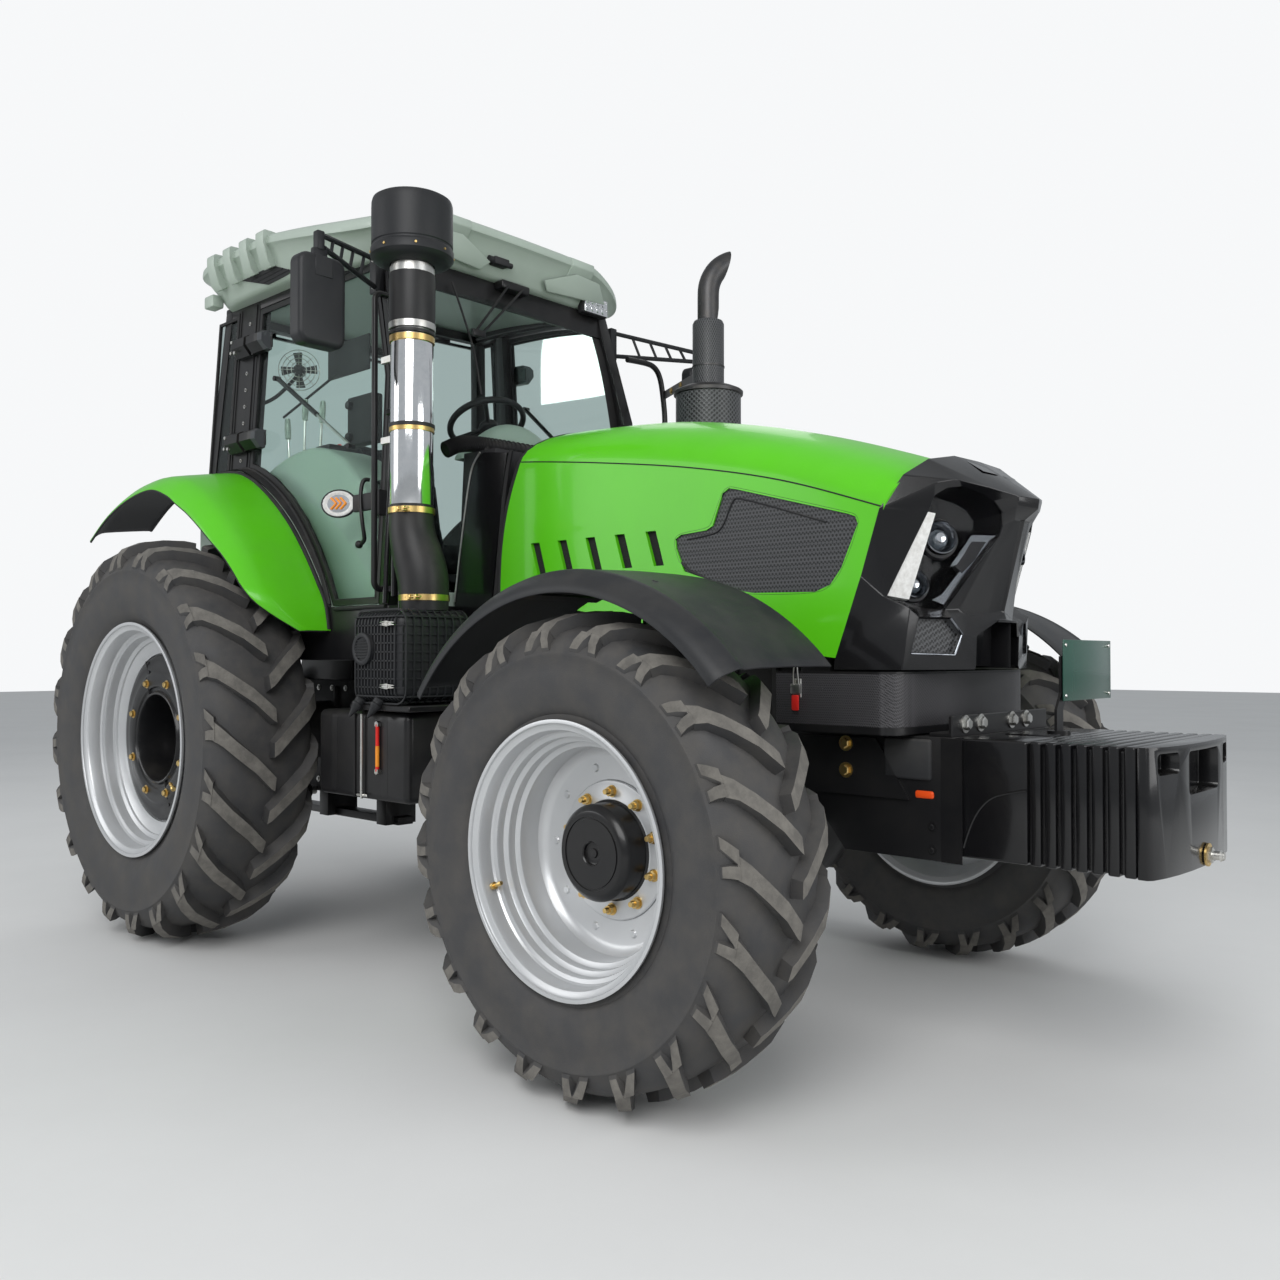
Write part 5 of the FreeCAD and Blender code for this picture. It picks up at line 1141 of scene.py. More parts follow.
roofShape = {"middle": .39, "halfLong": .79, "halfWide": .815, "plan": ((1.180, 0), (1.174, .30), (1.150, .52),
                                                                        (1.085, .690), (.970, .780), (.800, .808),
                                                                        (.400, .815), (0, .815), (-.180, .806),
                                                                        (-.310, .760), (-.380, .640), (-.400, .350),
                                                                        (-.400, 0)), "rings": ((.190, 2.918),
                                                                                               (.118, 2.920),
                                                                                               (.100, 2.926),
                                                                                               (.088, 2.938),
                                                                                               (.046, 3.010),
                                                                                               (.020, 3.050),
                                                                                               (.010, 3.058),
                                                                                               (.002, 3.064),
                                                                                               (0, 3.072),
                                                                                               (.002, 3.094),
                                                                                               (.010, 3.104),
                                                                                               (.024, 3.110),
                                                                                               (.060, 3.114),
                                                                                               (.120, 3.119),
                                                                                               (.250, 3.132),
                                                                                               (.420, 3.143),
                                                                                               (.620, 3.148)),
             "vent": ((.064, 2.984), (.333, 2.990), (.489, 2.938), (.246, 2.932)), }


def roofDroop(x, y):  # how far the front corners hang below the rest
    ahead, aside = max((x - .35) / .83, 0), max((abs(y) - .45) / .35, 0)
    return -.14 * ahead ** 1.2 * aside ** 1.5


def makeRoof():
    bm = bmesh.new()
    half = [Vector((x, y, 0)) for x, y in roofShape["plan"]]
    outline = softLine(half, 6)
    outline = outline + [Vector((p.x, -p.y, 0)) for p in reversed(outline[1:-1])]
    rings = []
    for inset, level in roofShape["rings"]:
        ring = []
        for point in outline:
            x = roofShape["middle"] + (point.x - roofShape["middle"]) * max(1 - inset / roofShape["halfLong"], 0.05)
            y = point.y * max(1 - inset / roofShape["halfWide"], 0.05)
            ring.append(bm.verts.new(along(x, y, level + roofDroop(x, y))))
        rings.append(ring)
    for first, second in zip(rings, rings[1:]):
        ringBridge(bm, first, second)
    bm.faces.new(rings[0])
    bm.faces.new(rings[-1])
    for index in range(4):  # raised ribs at the rear of each side
        x = -0.150 + index * 0.150
        rib = ((.640, 3.120), (.790, 3.128), (.822, 3.122), (.838, 3.108), (.838, 3.062), (.800, 2.990),
               (.780, 2.966), (.740, 2.990), (.700, 3.060))
        for sign in (1, -1):
            slab(bm, [along(x + max(y - .80, 0) * .8, sign * y, z) for y, z in rib], (0.070, 0, 0), 0)
    for sign in (1, -1):  # raised edge at the front, and the tray round the work lamp
        corners = [(0.70, 3.118), (1.05, 3.118), (1.150, 3.112), (1.176, 3.100), (1.180, 3.066), (1.120, 3.00),
                   (1.06, 2.99)]
        slab(bm, sideways(corners, sign * 0.300), (-.004, sign * 0.150, 0), 0)
        tray = ((1.104, .20, 2.930), (1.128, .16, 2.968), (1.160, .34, 3.034), (1.148, .500, 3.030),
                (1.100, .585, 2.958))
        slab(bm, [along(x, sign * y, z) for x, y, z in tray], (.010, 0, 0), 0)
    edges = sharpEdges(bm, 0.5)
    roundOff(bm, edges, 0.005, 2)
    for sign in (1, -1):  # vents on the sloping skirt behind the doors: a black sheet with three slats, the sheet painted as the shade inside the recess
        corners = [along(x, sign * (.815 - .088 + (z - 2.938) * .58 - .004), z) for x, z in roofShape["vent"]]
        slab(bm, corners, (0, sign * .008, -.003), 1)
        for share in (.30, .55, .80):
            a = corners[0].lerp(corners[3], share) + Vector((.012, sign * .010, 0))
            b = corners[1].lerp(corners[2], share) + Vector((-.012, sign * .010, 0))
            pipe(bm, [a, b], .003, 1, 2, 2, 2)
    finishPiece(bm, "cab_roof_shell", "root", ["roofGrey", "trimBlack"], ("cab_roof",), sharp=32)


makeRoof()
print("roof made")

# shapes swept along lines and round corners

# fenders

frontFender = {"profile": ((.800, .790), (.86, .792), (1.00, .792), (1.120, .788), (1.170, .783), (1.182, .784),
                           (1.192, .786), (1.202, .782), (1.212, .774), (1.228, .764), (1.240, .752), (1.247, .740),
                           (1.249, .724)),
               "start": 41.4, "stop": 144.5, "inside": .780, "leg": .815, "middle": 1.0}
rearFender = {"crest": ((-.875, 1.886), (-.667, 1.992), (-.421, 2.065), (-.165, 2.090), (.020, 2.083),
                        (.150, 2.045), (.270, 1.982), (.400, 1.893), (.520, 1.790), (.630, 1.668), (.720, 1.550),
                        (.785, 1.452), (.812, 1.341)), "lip": ((-.822, 1.802), (-.630, 1.900), (-.402, 1.967),
                                                               (-.165, 1.992), (0, 1.954), (.100, 1.906),
                                                               (.205, 1.855), (.310, 1.792), (.420, 1.720),
                                                               (.535, 1.645), (.648, 1.548), (.718, 1.470),
                                                               (.795, 1.341)), "across": ((.752, 0), (.800, .05),
                                                                                          (.870, .15), (.940, .26),
                                                                                          (.995, .36), (1.015, .42),
                                                                                          (1.035, .54),
                                                                                          (1.055, .72),
                                                                                          (1.070, .88), (1.079, 1)),
              "corner": ((1.300, .860), (1.341, .885), (1.375, .940), (1.410, .990), (1.450, 1.040), (1.490, 1.068),
                         (1.530, 1.079)), }


def makeFrontFender(side, sideName):
    bm = bmesh.new()
    centre = (frontAxleX, frontRadius)
    arcSweep(bm, frontFender["profile"], centre, side, frontFender["start"], frontFender["stop"], 56)
    bm = thicken(bm, "fender", .006, 1)
    edges = sharpEdges(bm, 1.2)
    roundOff(bm, edges, 0.0022, 2)
    leg, middle, inside = side * frontFender["leg"], side * frontFender["middle"], frontFender["inside"]
    for x in (-.045, .045):  # two legs on the knuckle carry the fender
        softBox(bm, (frontAxleX + x - .008, leg - .016, frontRadius + .150),
                (frontAxleX + x + .008, leg + .016, frontRadius + .786), .002, 1, 1)
    softBox(bm, (frontAxleX - .075, leg - .016, frontRadius + .150),
            (frontAxleX + .075, leg + .016, frontRadius + .220), .004, 1, 1)
    for x in (-.25, 0, .25):  # braces across, each with its two bolts on the crown
        height = math.sqrt(inside ** 2 - x * x)
        softBox(bm, (frontAxleX + x - .02, middle - .19, frontRadius + height - .012),
                (frontAxleX + x + .02, middle + .19, frontRadius + height - .004), .002, 1, 1,
                Matrix.Rotation(math.asin(x / inside), 4, "Y"))
        for y in (.86, 1.12):
            spot = Vector((frontAxleX + x * 1.02, side * y, frontRadius + height * 1.02 - .006))
            drum(bm, spot, spot - Vector((frontAxleX, side * y, frontRadius)), .011, .006, 0, 16, .007)
    finishPiece(bm, f"fender_front_{sideName}", f"knuckle_{sideName}", ["mattBlack", "frameBlack", "zincSilver"],
                (f"front_fender_{sideName}",), sharp=40)


def makeRearFenders():
    crest = softLine([Vector((x, 0, z)) for x, z in rearFender["crest"]], 5)
    lip = softLine([Vector((x, 0, z)) for x, z in rearFender["lip"]], 5)
    bm = bmesh.new()
    rows = []
    for top, low in zip(crest, lip):
        row = []
        for y, share in rearFender["across"]:
            point = top.lerp(low, share)
            reach = (smoothLine(rearFender["corner"], point.z) if top.x > .5 else 1.079) - .752
            row.append(bm.verts.new(along(point.x, .752 + (y - .752) * reach / .327, point.z)))
        rows.append(row)
    for first, second in zip(rows, rows[1:]):
        for index in range(len(first) - 1):
            bm.faces.new((first[index], first[index + 1], second[index + 1], second[index]))
    rim = [row[-1].co.copy() for row in rows] + [vert.co.copy() for vert in reversed(rows[-1][1:-1])]
    bm = thicken(bm, "fender", .007, 1, 1)
    edges = sharpEdges(bm, 1.2)
    roundOff(bm, edges, 0.0025, 2)
    pipe(bm, rim, .0050, 2, 3, 2)
    seal = [along(point.x, .760, point.z + .006) for point in crest]
    pipe(bm, seal, .0110, 2, 3, 2)
    mirrorAcross(bm)
    finishPiece(bm, "fender_rear_panels", "root", ["bonnetGreen", "trimBlack", "sealRubber"],
                ("rear_fenders",), sharp=36)


for sideName, side in (("left", 1), ("right", -1)):
    makeFrontFender(side, sideName)
makeRearFenders()
print("fenders made")


# air intake with its hose, air cleaner box and exhaust

intake = {"x": 1.462, "y": -.815, "pipe": .080, "cap": .152}


def clampBand(bm, centre, radius, finish, bolt=True):
    lathe(bm, ((-.011, radius), (-.011, radius + .003), (.011, radius + .003), (.011, radius)), centre, axisZ, 48,
          finish)
    if bolt:
        spot = Vector(centre) + Vector((radius * .55, -radius * .95, 0))
        boxAt(bm, spot, (-.028, -.007, -.010), (-.014, .007, .010), .002, 1, finish)
        boxAt(bm, spot, (.010, -.007, -.010), (.024, .007, .010), .002, 1, finish)
        drum(bm, spot + Vector((-.040, 0, 0)), axisX, .004, .085, finish, 12)
        drum(bm, spot + Vector((-.044, 0, 0)), axisX, .008, .008, finish, 6)


def makeIntakeCap():
    bm = bmesh.new()
    centre = along(intake["x"], intake["y"], 0)
    cap, pipeRadius = intake["cap"], intake["pipe"]
    lathe(bm, ((2.950, 0), (2.950, cap * .80), (2.948, cap * .90), (2.942, cap * .965), (2.929, cap * .99),
               (2.908, cap * .995), (2.774, cap * .995), (2.770, cap * .975), (2.764, cap * .975), (2.760, cap),
               (2.756, cap * 1.015), (2.728, cap * 1.015), (2.724, cap * .985), (2.717, cap * .95),
               (2.708, cap * .80), (2.702, cap * .64), (2.700, cap * .55)), centre, axisZ, 72, 0)
    for ahead, aside in ringOf(8, .3):
        out = Vector((ahead, aside, 0))
        drum(bm, centre + out * cap * 1.01 + axisZ * 2.742, out, .0045, .004, 3, 12)
    lathe(bm, ((2.702, pipeRadius * .98), (2.690, pipeRadius * .98), (2.690, pipeRadius * 1.04),
               (2.664, pipeRadius * 1.04), (2.664, pipeRadius)), centre, axisZ, 56, 1)
    lathe(bm, ((2.666, pipeRadius * 1.06), (2.648, pipeRadius * 1.08), (2.490, pipeRadius * 1.08),
               (2.478, pipeRadius * 1.06)), centre, axisZ, 56, 2)
    lathe(bm, ((2.482, pipeRadius * 1.03), (2.480, pipeRadius * 1.09), (2.456, pipeRadius * 1.09),
               (2.454, pipeRadius * 1.02)), centre, axisZ, 56, 1)
    for level, width in ((2.444, .005), (2.096, .007)):
        lathe(bm, ((level - width, pipeRadius), (level - width, pipeRadius + .006),
                   (level + width, pipeRadius + .006), (level + width, pipeRadius)), centre, axisZ, 56, 2)
    for level in (2.420, 2.084):
        clampBand(bm, centre + axisZ * level, pipeRadius + .001, 3, False)
    finishPiece(bm, "intake_cap_and_sleeve", "root", ["mattBlack", "zincSilver", "hoseRubber", "zincGold"],
                ("intake_cap",), sharp=34)


def makeIntakePipe():
    bm = bmesh.new()
    radius = intake["pipe"]
    lathe(bm, ((2.470, radius * .97), (2.466, radius), (1.770, radius), (1.764, radius * .97)),
          along(intake["x"], intake["y"], 0), axisZ, 72)
    finishPiece(bm, "intake_bright_pipe", "root", ["chrome"], ("intake_pipe",), sharp=40)


def makeIntakeHose():  # between pipe and box, in an S, with the brackets and cables beside it
    bm = bmesh.new()
    route = [(1.462, -.815, 1.800), (1.462, -.815, 1.740), (1.466, -.812, 1.680), (1.483, -.802, 1.610),
             (1.502, -.792, 1.540), (1.508, -.790, 1.480), (1.508, -.790, 1.405)]
    pipe(bm, [along(*point) for point in route], .094, 0, 14, 6, 3, (.87, .88, .92, 1, 1.02, .99, .96))
    for level, radius, point in ((1.778, .084, (1.462, -.815)), (1.452, .0915, (1.508, -.790))):
        clampBand(bm, along(*point, level), radius, 1)
    for level in (2.390, 2.075):  # brackets to the cab's front post
        spot = along(1.382, -.790, level)
        boxAt(bm, spot, (-.085, -.005, -.018), (.02, .005, .018), .002, 1, 1)
        boxAt(bm, spot, (-.150, -.006, -.014), (-.078, .006, .014), .002, 1, 2)
        hexBolt(bm, spot + Vector((-.02, -.005, 0)), (0, -1, 0), .008, .008, 1)
    for x, y, radius in ((1.292, -.742, .011), (1.318, -.748, .013), (1.345, -.740, .012)):
        pipe(bm, path((x, y, 2.76), (x, y, 2.4), (x, y, 1.9), (x, y, 1.5), (x, y, 1.38)),
             radius, 3, 4, 6)
    finishPiece(bm, "intake_hose", "root", ["hoseRubber", "zincGold", "zincSilver", "glossBlack"],
                sharp=40)


airBox = {"low": (1.305, -.985, 1.062), "high": (1.628, -.645, 1.408), "corner": .052}


def makeAirBox():
    low, high = along(*airBox["low"]), along(*airBox["high"])
    bm = bmesh.new()
    softBox(bm, low + Vector((.011, .011, .011)), high - Vector((.011, .011, .011)), airBox["corner"] - .011, 6, 0)
    middle = (low + high) / 2
    size = (high - low) / 2
    corner = airBox["corner"]
    count = 15
    for index in range(count):  # upright ribs
        x = low.x + corner * 0.35 + (high.x - low.x - corner * 0.7) * index / (count - 1)
        pull = 0.020 if index in (0, count - 1) else 0
        loop = [Vector((x, middle.y + u, middle.z + v)) for u, v in
                roundedLoop(size.y - .005 - pull, size.z - .005 - pull, corner, 5)]
        hoop(bm, loop, axisX, .0055, .006, 0)
    for index in range(10):  # level ribs
        z = low.z + corner * 0.55 + (high.z - low.z - corner * 1.1) * index / 9
        loop = [Vector((middle.x + u, middle.y + v, z)) for u, v in
                roundedLoop(size.x - .005, size.y - .005, corner, 5)]
        hoop(bm, loop, axisZ, .0050, .007, 0)
    for index in range(9):
        y = low.y + corner * 0.6 + (high.y - low.y - corner * 1.2) * index / 8
        loop = [Vector((middle.x + u, y, middle.z + v)) for u, v in
                roundedLoop(size.x - .005, size.z - .005, corner, 5)]
        hoop(bm, loop, axisY, .0050, .006, 0)
    face = along(1.400, -.982, 1.262)
    lathe(bm, ((-.004, 0), (.004, 0), (.006, .040), (.011, .043), (.012, .047), (.012, .056), (.009, .060),
               (-.004, .061)), face, (0, -1, 0), 48, 0)
    for step in range(-3, 4):
        half = math.sqrt(.040 ** 2 - (step * .0105) ** 2)
        boxAt(bm, face, (-half, -.011, step * .0105 - .002), (half, -.003, step * .0105 + .002),
                .001, 1, 0)
    for level in (1.352, 1.128):  # spring latches
        spot = along(1.560, -.990, level)
        boxAt(bm, spot, (-.030, -.004, -.006), (.030, .004, .006), .002, 1, 1)
        boxAt(bm, spot, (-.010, -.009, -.011), (.008, .003, .011), .003, 1, 1)
        pipe(bm, [spot + Vector((-.034, -.006, .004)), spot + Vector((-.005, -.012, .008)),
                  spot + Vector((.026, -.007, .005)), spot + Vector((.046, -.003, .004))], .0022, 1, 3, 4)
        pipe(bm, [spot + Vector((-.034, -.006, -.004)), spot + Vector((-.005, -.012, -.008)),
                  spot + Vector((.026, -.007, -.005)), spot + Vector((.046, -.003, -.004))], .0022, 1, 3, 4)
    for x in (1.352, 1.470):  # dust valves
        spot = along(x, -.950, 1.085)
        heading = Vector((-.18, -.55, -.80)).normalized()
        lathe(bm, ((0, 0), (0, .022), (.012, .024), (.016, .021), (.030, .020), (.034, .023), (.042, .022),
                   (.046, .018), (.088, .004), (.090, 0)), spot, heading, 28, 0)
    softBox(bm, along(1.28, -.96, 1.036), along(1.65, -.60, 1.058), .004, 1, 2)
    finishPiece(bm, "air_cleaner_box", "root", ["mattBlack", "zincSilver", "frameBlack"],
                ("air_box",), sharp=38)


exhaust = {"x": 1.730, "y": .622, "can": .148, "canTop": 2.432, "sleeve": .0717, "sleeveTop": 2.762, "pipe": .0490,
           "bendLow": 2.885, "bend": .168, "lean": (.45, .89, 0)}


def makeExhaust():
    size = exhaust
    bm = bmesh.new()
    centre = along(size["x"], size["y"], 0)
    can, top = size["can"], size["canTop"]
    lathe(bm, ((1.50, 0), (1.50, .120), (1.515, can), (top, can), (top + .004, size["sleeve"])), centre, axisZ, 72,
          1)
    lathe(bm, ((top - .014, can), (top - .012, can + .009), (top + .002, can + .010), (top + .008, can + .004),
               (top + .022, can - .028), (top + .024, size["sleeve"] - .004)), centre, axisZ, 72, 0)
    lathe(bm, ((top + .020, size["sleeve"] - .004), (top + .022, size["sleeve"]),
               (size["sleeveTop"] - .018, size["sleeve"]), (size["sleeveTop"] - .005, size["sleeve"] - .006),
               (size["sleeveTop"], size["sleeve"] - .020), (size["sleeveTop"] + .002, size["pipe"] - .002)), centre,
          axisZ, 64, 2)
    for low, high in ((2.546, 2.552), (top + .024, top + .032)):
        lathe(bm, ((low, size["sleeve"]), (low, size["sleeve"] + .0025), (high, size["sleeve"] + .0025),
                   (high, size["sleeve"])), centre, axisZ, 64, 0)
    lean = Vector(size["lean"]).normalized()
    low = centre + axisZ * size["bendLow"]
    stack = [centre + axisZ * 2.70, centre + axisZ * 2.80]
    for step in range(11):
        angle = math.radians(9 * step)
        stack.append(low + lean * size["bend"] * (1 - math.cos(angle)) + axisZ * size["bend"] * math.sin(angle))
    horn = bmesh.new()
    pipe(horn, stack, size["pipe"], 0, 10, 6, 3, None, False)
    mouth = low + lean * .100 + axisZ * .196
    bmesh.ops.bisect_plane(horn, geom=horn.verts[:] + horn.edges[:] + horn.faces[:], plane_co=mouth,
                           plane_no=lean * .16 - axisZ * .036, clear_outer=True)
    addPart(bm, thicken(horn, "horn", .0035), 0)
    flat = (Vector((1.190, .930, 2.560)), Vector((size["x"] - .055, size["y"] - .045, 2.500)))  # stay to the handrail
    slab(bm, [along(*flat[0]) - axisZ * .020, along(*flat[1]) - axisZ * .020, along(*flat[1]) + axisZ * .020,
              along(*flat[0]) + axisZ * .020], (.003, .004, 0), 0)
    for share in (.30, .62):
        hexBolt(bm, along(*flat[0].lerp(flat[1], share)), (-.35, -.9, 0), .011, .008, 3)
    finishPiece(bm, "exhaust_stack", "root", ["stackSteel", "sleeveMesh", "sleeveMesh", "zincGold"],
                ("exhaust",), sharp=34)


def makeSleeveFinish(name, colour, centre, around, pitch, rough):  # slanted rows of holes painted dark as shade, on an upright cylinder
    made = Finish(name, colour, rough)
    nodes, links = made.nodes, made.links
    split = nodes.new("ShaderNodeSeparateXYZ")
    links.new(nodes.new("ShaderNodeTexCoord").outputs["Object"], split.inputs[0])
    aside = maths(nodes, links, "SUBTRACT", split.outputs[1], float(centre.y))
    ahead = maths(nodes, links, "SUBTRACT", split.outputs[0], float(centre.x))
    turned = maths(nodes, links, "ARCTAN2", aside, ahead)
    run = maths(nodes, links, "MULTIPLY", turned, around / fullTurn)
    rise = maths(nodes, links, "MULTIPLY", split.outputs[2], 1.0 / pitch)
    joined = nodes.new("ShaderNodeCombineXYZ")
    links.new(maths(nodes, links, "ADD", run, rise), joined.inputs[0])
    links.new(maths(nodes, links, "SUBTRACT", run, rise), joined.inputs[1])
    cells = nodes.new("ShaderNodeTexVoronoi")
    cells.voronoi_dimensions = "2D"
    cells.inputs["Scale"].default_value = 1.0
    cells.inputs["Randomness"].default_value = 0.0
    links.new(joined.outputs[0], cells.inputs["Vector"])
    made.pierced(cells.outputs["Distance"], 0.26, 0.46, 0.10)


makeSleeveFinish("sleeveMesh", (0.085, 0.087, 0.092), along(exhaust["x"], exhaust["y"], 0), 40.0, 0.022, 0.40)
makeIntakeCap()
makeIntakePipe()
makeIntakeHose()
makeAirBox()
makeExhaust()
print("intake, air cleaner and exhaust made")

# chassis: the node's own shapes with rounded edges, and what is bolted to them

ballast = {"rear": 3.410, "front": 3.990, "half": .340, "low": .660, "top": 1.000, "ribs": 7, "ribFirst": 3.634,
           "ribPitch": .0417, "ribWide": .0310}


def makeBallast():
    size = ballast
    bm = bmesh.new()
    softBox(bm, along(size["rear"], -size["half"], size["low"]), along(3.628, size["half"], size["top"]), .008, 3)
    softBox(bm, along(3.60, -size["half"] + .016, size["low"] + .004), along(3.93, size["half"] - .016,
                                                                          size["top"] - .014), .004, 1)
    for index in range(size["ribs"]):
        x = size["ribFirst"] + index * size["ribPitch"]
        softBox(bm, along(x, -size["half"], size["low"]), along(x + size["ribWide"], size["half"], size["top"]),
                .006, 3)
    for sign in (1, -1):  # raised line on the smooth cheek
        line = [(3.440, .688), (3.455, .740), (3.485, .800), (3.520, .836), (3.560, .852), (3.625, .866)]
        pipe(bm, [along(x, sign * (size["half"] - .001), z) for x, z in line], .0045, 0, 2, 6)
    softBox(bm, along(3.46, -.11, size["top"] - .004), along(3.60, .11, size["top"] + .004), .003, 1)
    nose = bmesh.new()
    plan = [(3.918, .340), (3.942, .340), (3.954, .326), (3.968, .270), (3.978, .200), (3.985, .110), (3.988, 0)]
    plan = [along(x, y, size["low"]) for x, y in plan] + [along(x, -y, size["low"]) for x, y in reversed(plan[:-1])]
    slab(nose, plan, (0, 0, size["top"] - size["low"]))
    thing = tempObject(nose, "ballast_nose")
    cutters = []
    for low, high, level, tall in ((-.130, .130, .020, .115), (-.306, -.196, .018, .055), (.196, .306, .018, .055)):
        hole = bmesh.new()
        softBox(hole, along(3.922, low, size["top"] - level - tall), along(4.02, high, size["top"] - level), .012,
                3)
        cutters.append(tempObject(hole))
    openBy(thing, cutters)
    edge = thing.modifiers.new("edge", "BEVEL")
    edge.width = .005
    edge.segments = 2
    edge.angle_limit = math.radians(35)
    addPart(bm, takeBack(applyModifiers(thing)))
    finishPiece(bm, "ballast_block", "root", ["glossBlack"], ("front_weight",), sharp=36, merge=0)


def makeTowStud():  # pin with its plate and nuts
    bm = bmesh.new()
    tip = along(3.990, 0, .690)
    drum(bm, tip, axisX, .032, .005, 0, 28)
    drum(bm, tip + axisX * .004, axisX, .022, .010, 1, 6)
    drum(bm, tip + axisX * .012, axisX, .0125, .030, 1, 20)
    drum(bm, tip + axisX * .034, axisX, .016, .010, 1, 20, .010)
    finishPiece(bm, "tow_stud", "root", ["zincGold", "zincSilver"], ("tow_pin",), sharp=30)


def makeCarrier():
    bm = bmesh.new()
    softened(bm, "weight_carrier", .004)
    outer = .345
    for x, z in ((3.062, .968), (3.062, .886)):
        for sign in (1, -1):
            hexBolt(bm, along(x, sign * (outer + .010), z), (0, sign, 0), .0165, .014, 1)
    for sign in (1, -1):
        boltRow(bm, along(3.345, sign * outer, .738), (0, 0, -.068), 2, (0, sign, 0), .009, 0)
        slab(bm, [along(x, sign * (outer + .001), z) for x, z in
                  ((2.870, .988), (3.165, .988), (3.275, .812), (2.900, .812))], (0, sign * .010, 0), 0)
        slab(bm, [along(x, sign * outer, z) for x, z in
                  ((3.375, .998), (3.440, .998), (3.440, .640), (3.375, .640))], (0, sign * .004, 0), 0)
        softBox(bm, along(3.190, sign * .31 - .046, .872), along(3.345, sign * .31 + .046, .992), .008, 2, 3)
        softBox(bm, along(3.290, sign * .33 - .02, .818), along(3.352, sign * .33 + .02, .842), .008, 3, 4)
    softBox(bm, along(3.330, -.335, .998), along(3.404, .335, 1.012), .003, 1, 0)
    softBox(bm, along(3.392, -.335, 1.006), along(3.404, .335, 1.062), .003, 1, 0)
    for y in (-.255, -.155, .062, .168):
        hexBolt(bm, along(3.404, y, 1.036), (1, 0, 0), .0185, .018, 2)
    finishPiece(bm, "ballast_carrier", "root", ["frameBlack", "zincGold", "zincSilver", "roughGrey",
                                                "orangePlastic"], ("weight_carrier",), sharp=30,
                merge=0)


def makeBlankPlate():  # on its bent strut
    bm = bmesh.new()
    foot = along(3.580, 0, 0)
    drum(bm, foot + axisZ * 1.0, axisZ, .034, .012, 0, 28)
    bar = [(0, 1.010), (0, 1.075), (.035, 1.125), (.035, 1.235)]
    for (y0, z0), (y1, z1) in zip(bar, bar[1:]):
        slab(bm, [foot + Vector((-.004, y0 - .024, z0)), foot + Vector((-.004, y0 + .024, z0)),
                  foot + Vector((-.004, y1 + .024, z1)), foot + Vector((-.004, y1 - .024, z1))], (.008, 0, 0), 0)
    boxAt(bm, foot, (.0115, 0, 1.100), (.0150, .388, 1.285), .0015, 2, 1)
    for y in (.018, .370):
        for z in (1.116, 1.269):
            lathe(bm, ((0, .006), (.002, .0055), (.0035, .003), (.004, 0)), foot + Vector((.015, y, z)), axisX, 16,
                  2)
    finishPiece(bm, "blank_plate", "root", ["frameBlack", "plateGreen", "zincSilver"],
                ("sign_plate",), sharp=30, merge=0)


def makeBand():
    bm = bmesh.new()
    plan = [(2.870, .448), (3.190, .448), (3.245, .440), (3.272, .418), (3.286, .360), (3.289, .22), (3.290, .0)]
    line = softLine([along(x, y, 0) for x, y in plan], 6)
    line = line + [Vector((p.x, -p.y, 0)) for p in reversed(line[:-1])]
    for low, high, finish in ((1.026, 1.184, 0), (1.182, 1.189, 2), (1.006, 1.028, 2)):
        hoop(bm, [point + axisZ * (low + high) / 2 for point in line], axisZ, high - low, .006, finish, False)
    plate = [point + axisZ * 1.003 for point in line]
    slab(bm, plate, (0, 0, .012), 2)
    finishPiece(bm, "grille_band", "root", ["bandMesh", "zincSilver", "frameBlack"],
                ("radiator_band",), sharp=36, merge=0)


def makeBandLatches():  # a toggle latch on each side
    bm = bmesh.new()
    for sign in (1, -1):
        place = along(2.950, sign * .452, 0)
        out = Vector((0, sign, 0))
        softBox(bm, place + Vector((-.016, -.003, 1.108)) + out * .003,
                place + Vector((.016, .003, 1.166)) + out * .003, .002, 1, 0)
        for x in (-.010, .010):
            pipe(bm, [place + out * .010 + Vector((x, 0, 1.150)), place + out * .014 + Vector((x * .8, 0, 1.190)),
                      place + out * .010 + Vector((x * .3, 0, 1.226))], .0026, 0, 3, 4)
        pipe(bm, [place + out * .010 + Vector((0, 0, 1.222)), place + out * .006 + Vector((0, 0, 1.246)),
                  place + out * .002 + Vector((0, 0, 1.268))], .0036, 0, 3, 4)
        softBox(bm, place + out * .011 + Vector((-.018, -.005, 1.120)),
                place + out * .011 + Vector((.018, .005, 1.150)), .003, 2, 0)
        softBox(bm, place + out * .014 + Vector((-.013, -.004, 1.068)),
                place + out * .014 + Vector((.013, .004, 1.116)), .004, 2, 1)
    finishPiece(bm, "band_latches", "root", ["zincSilver", "redPlastic"], sharp=30, merge=0)


def makeFrameRails():
    bm = bmesh.new()
    softened(bm, "main_frame", .004)
    for sign in (1, -1):
        for start, count in ((1.66, 4), (2.42, 2), (2.90, 2)):
            boltRow(bm, along(start, sign * .330, .960), (.07, 0, 0), count, (0, sign, 0), .012)
            boltRow(bm, along(start, sign * .330, .840), (.07, 0, 0), count, (0, sign, 0), .012)
    finishPiece(bm, "frame_rails", "root", ["frameBlack", "zincGold"], ("main_frame",), sharp=30,
                merge=0)


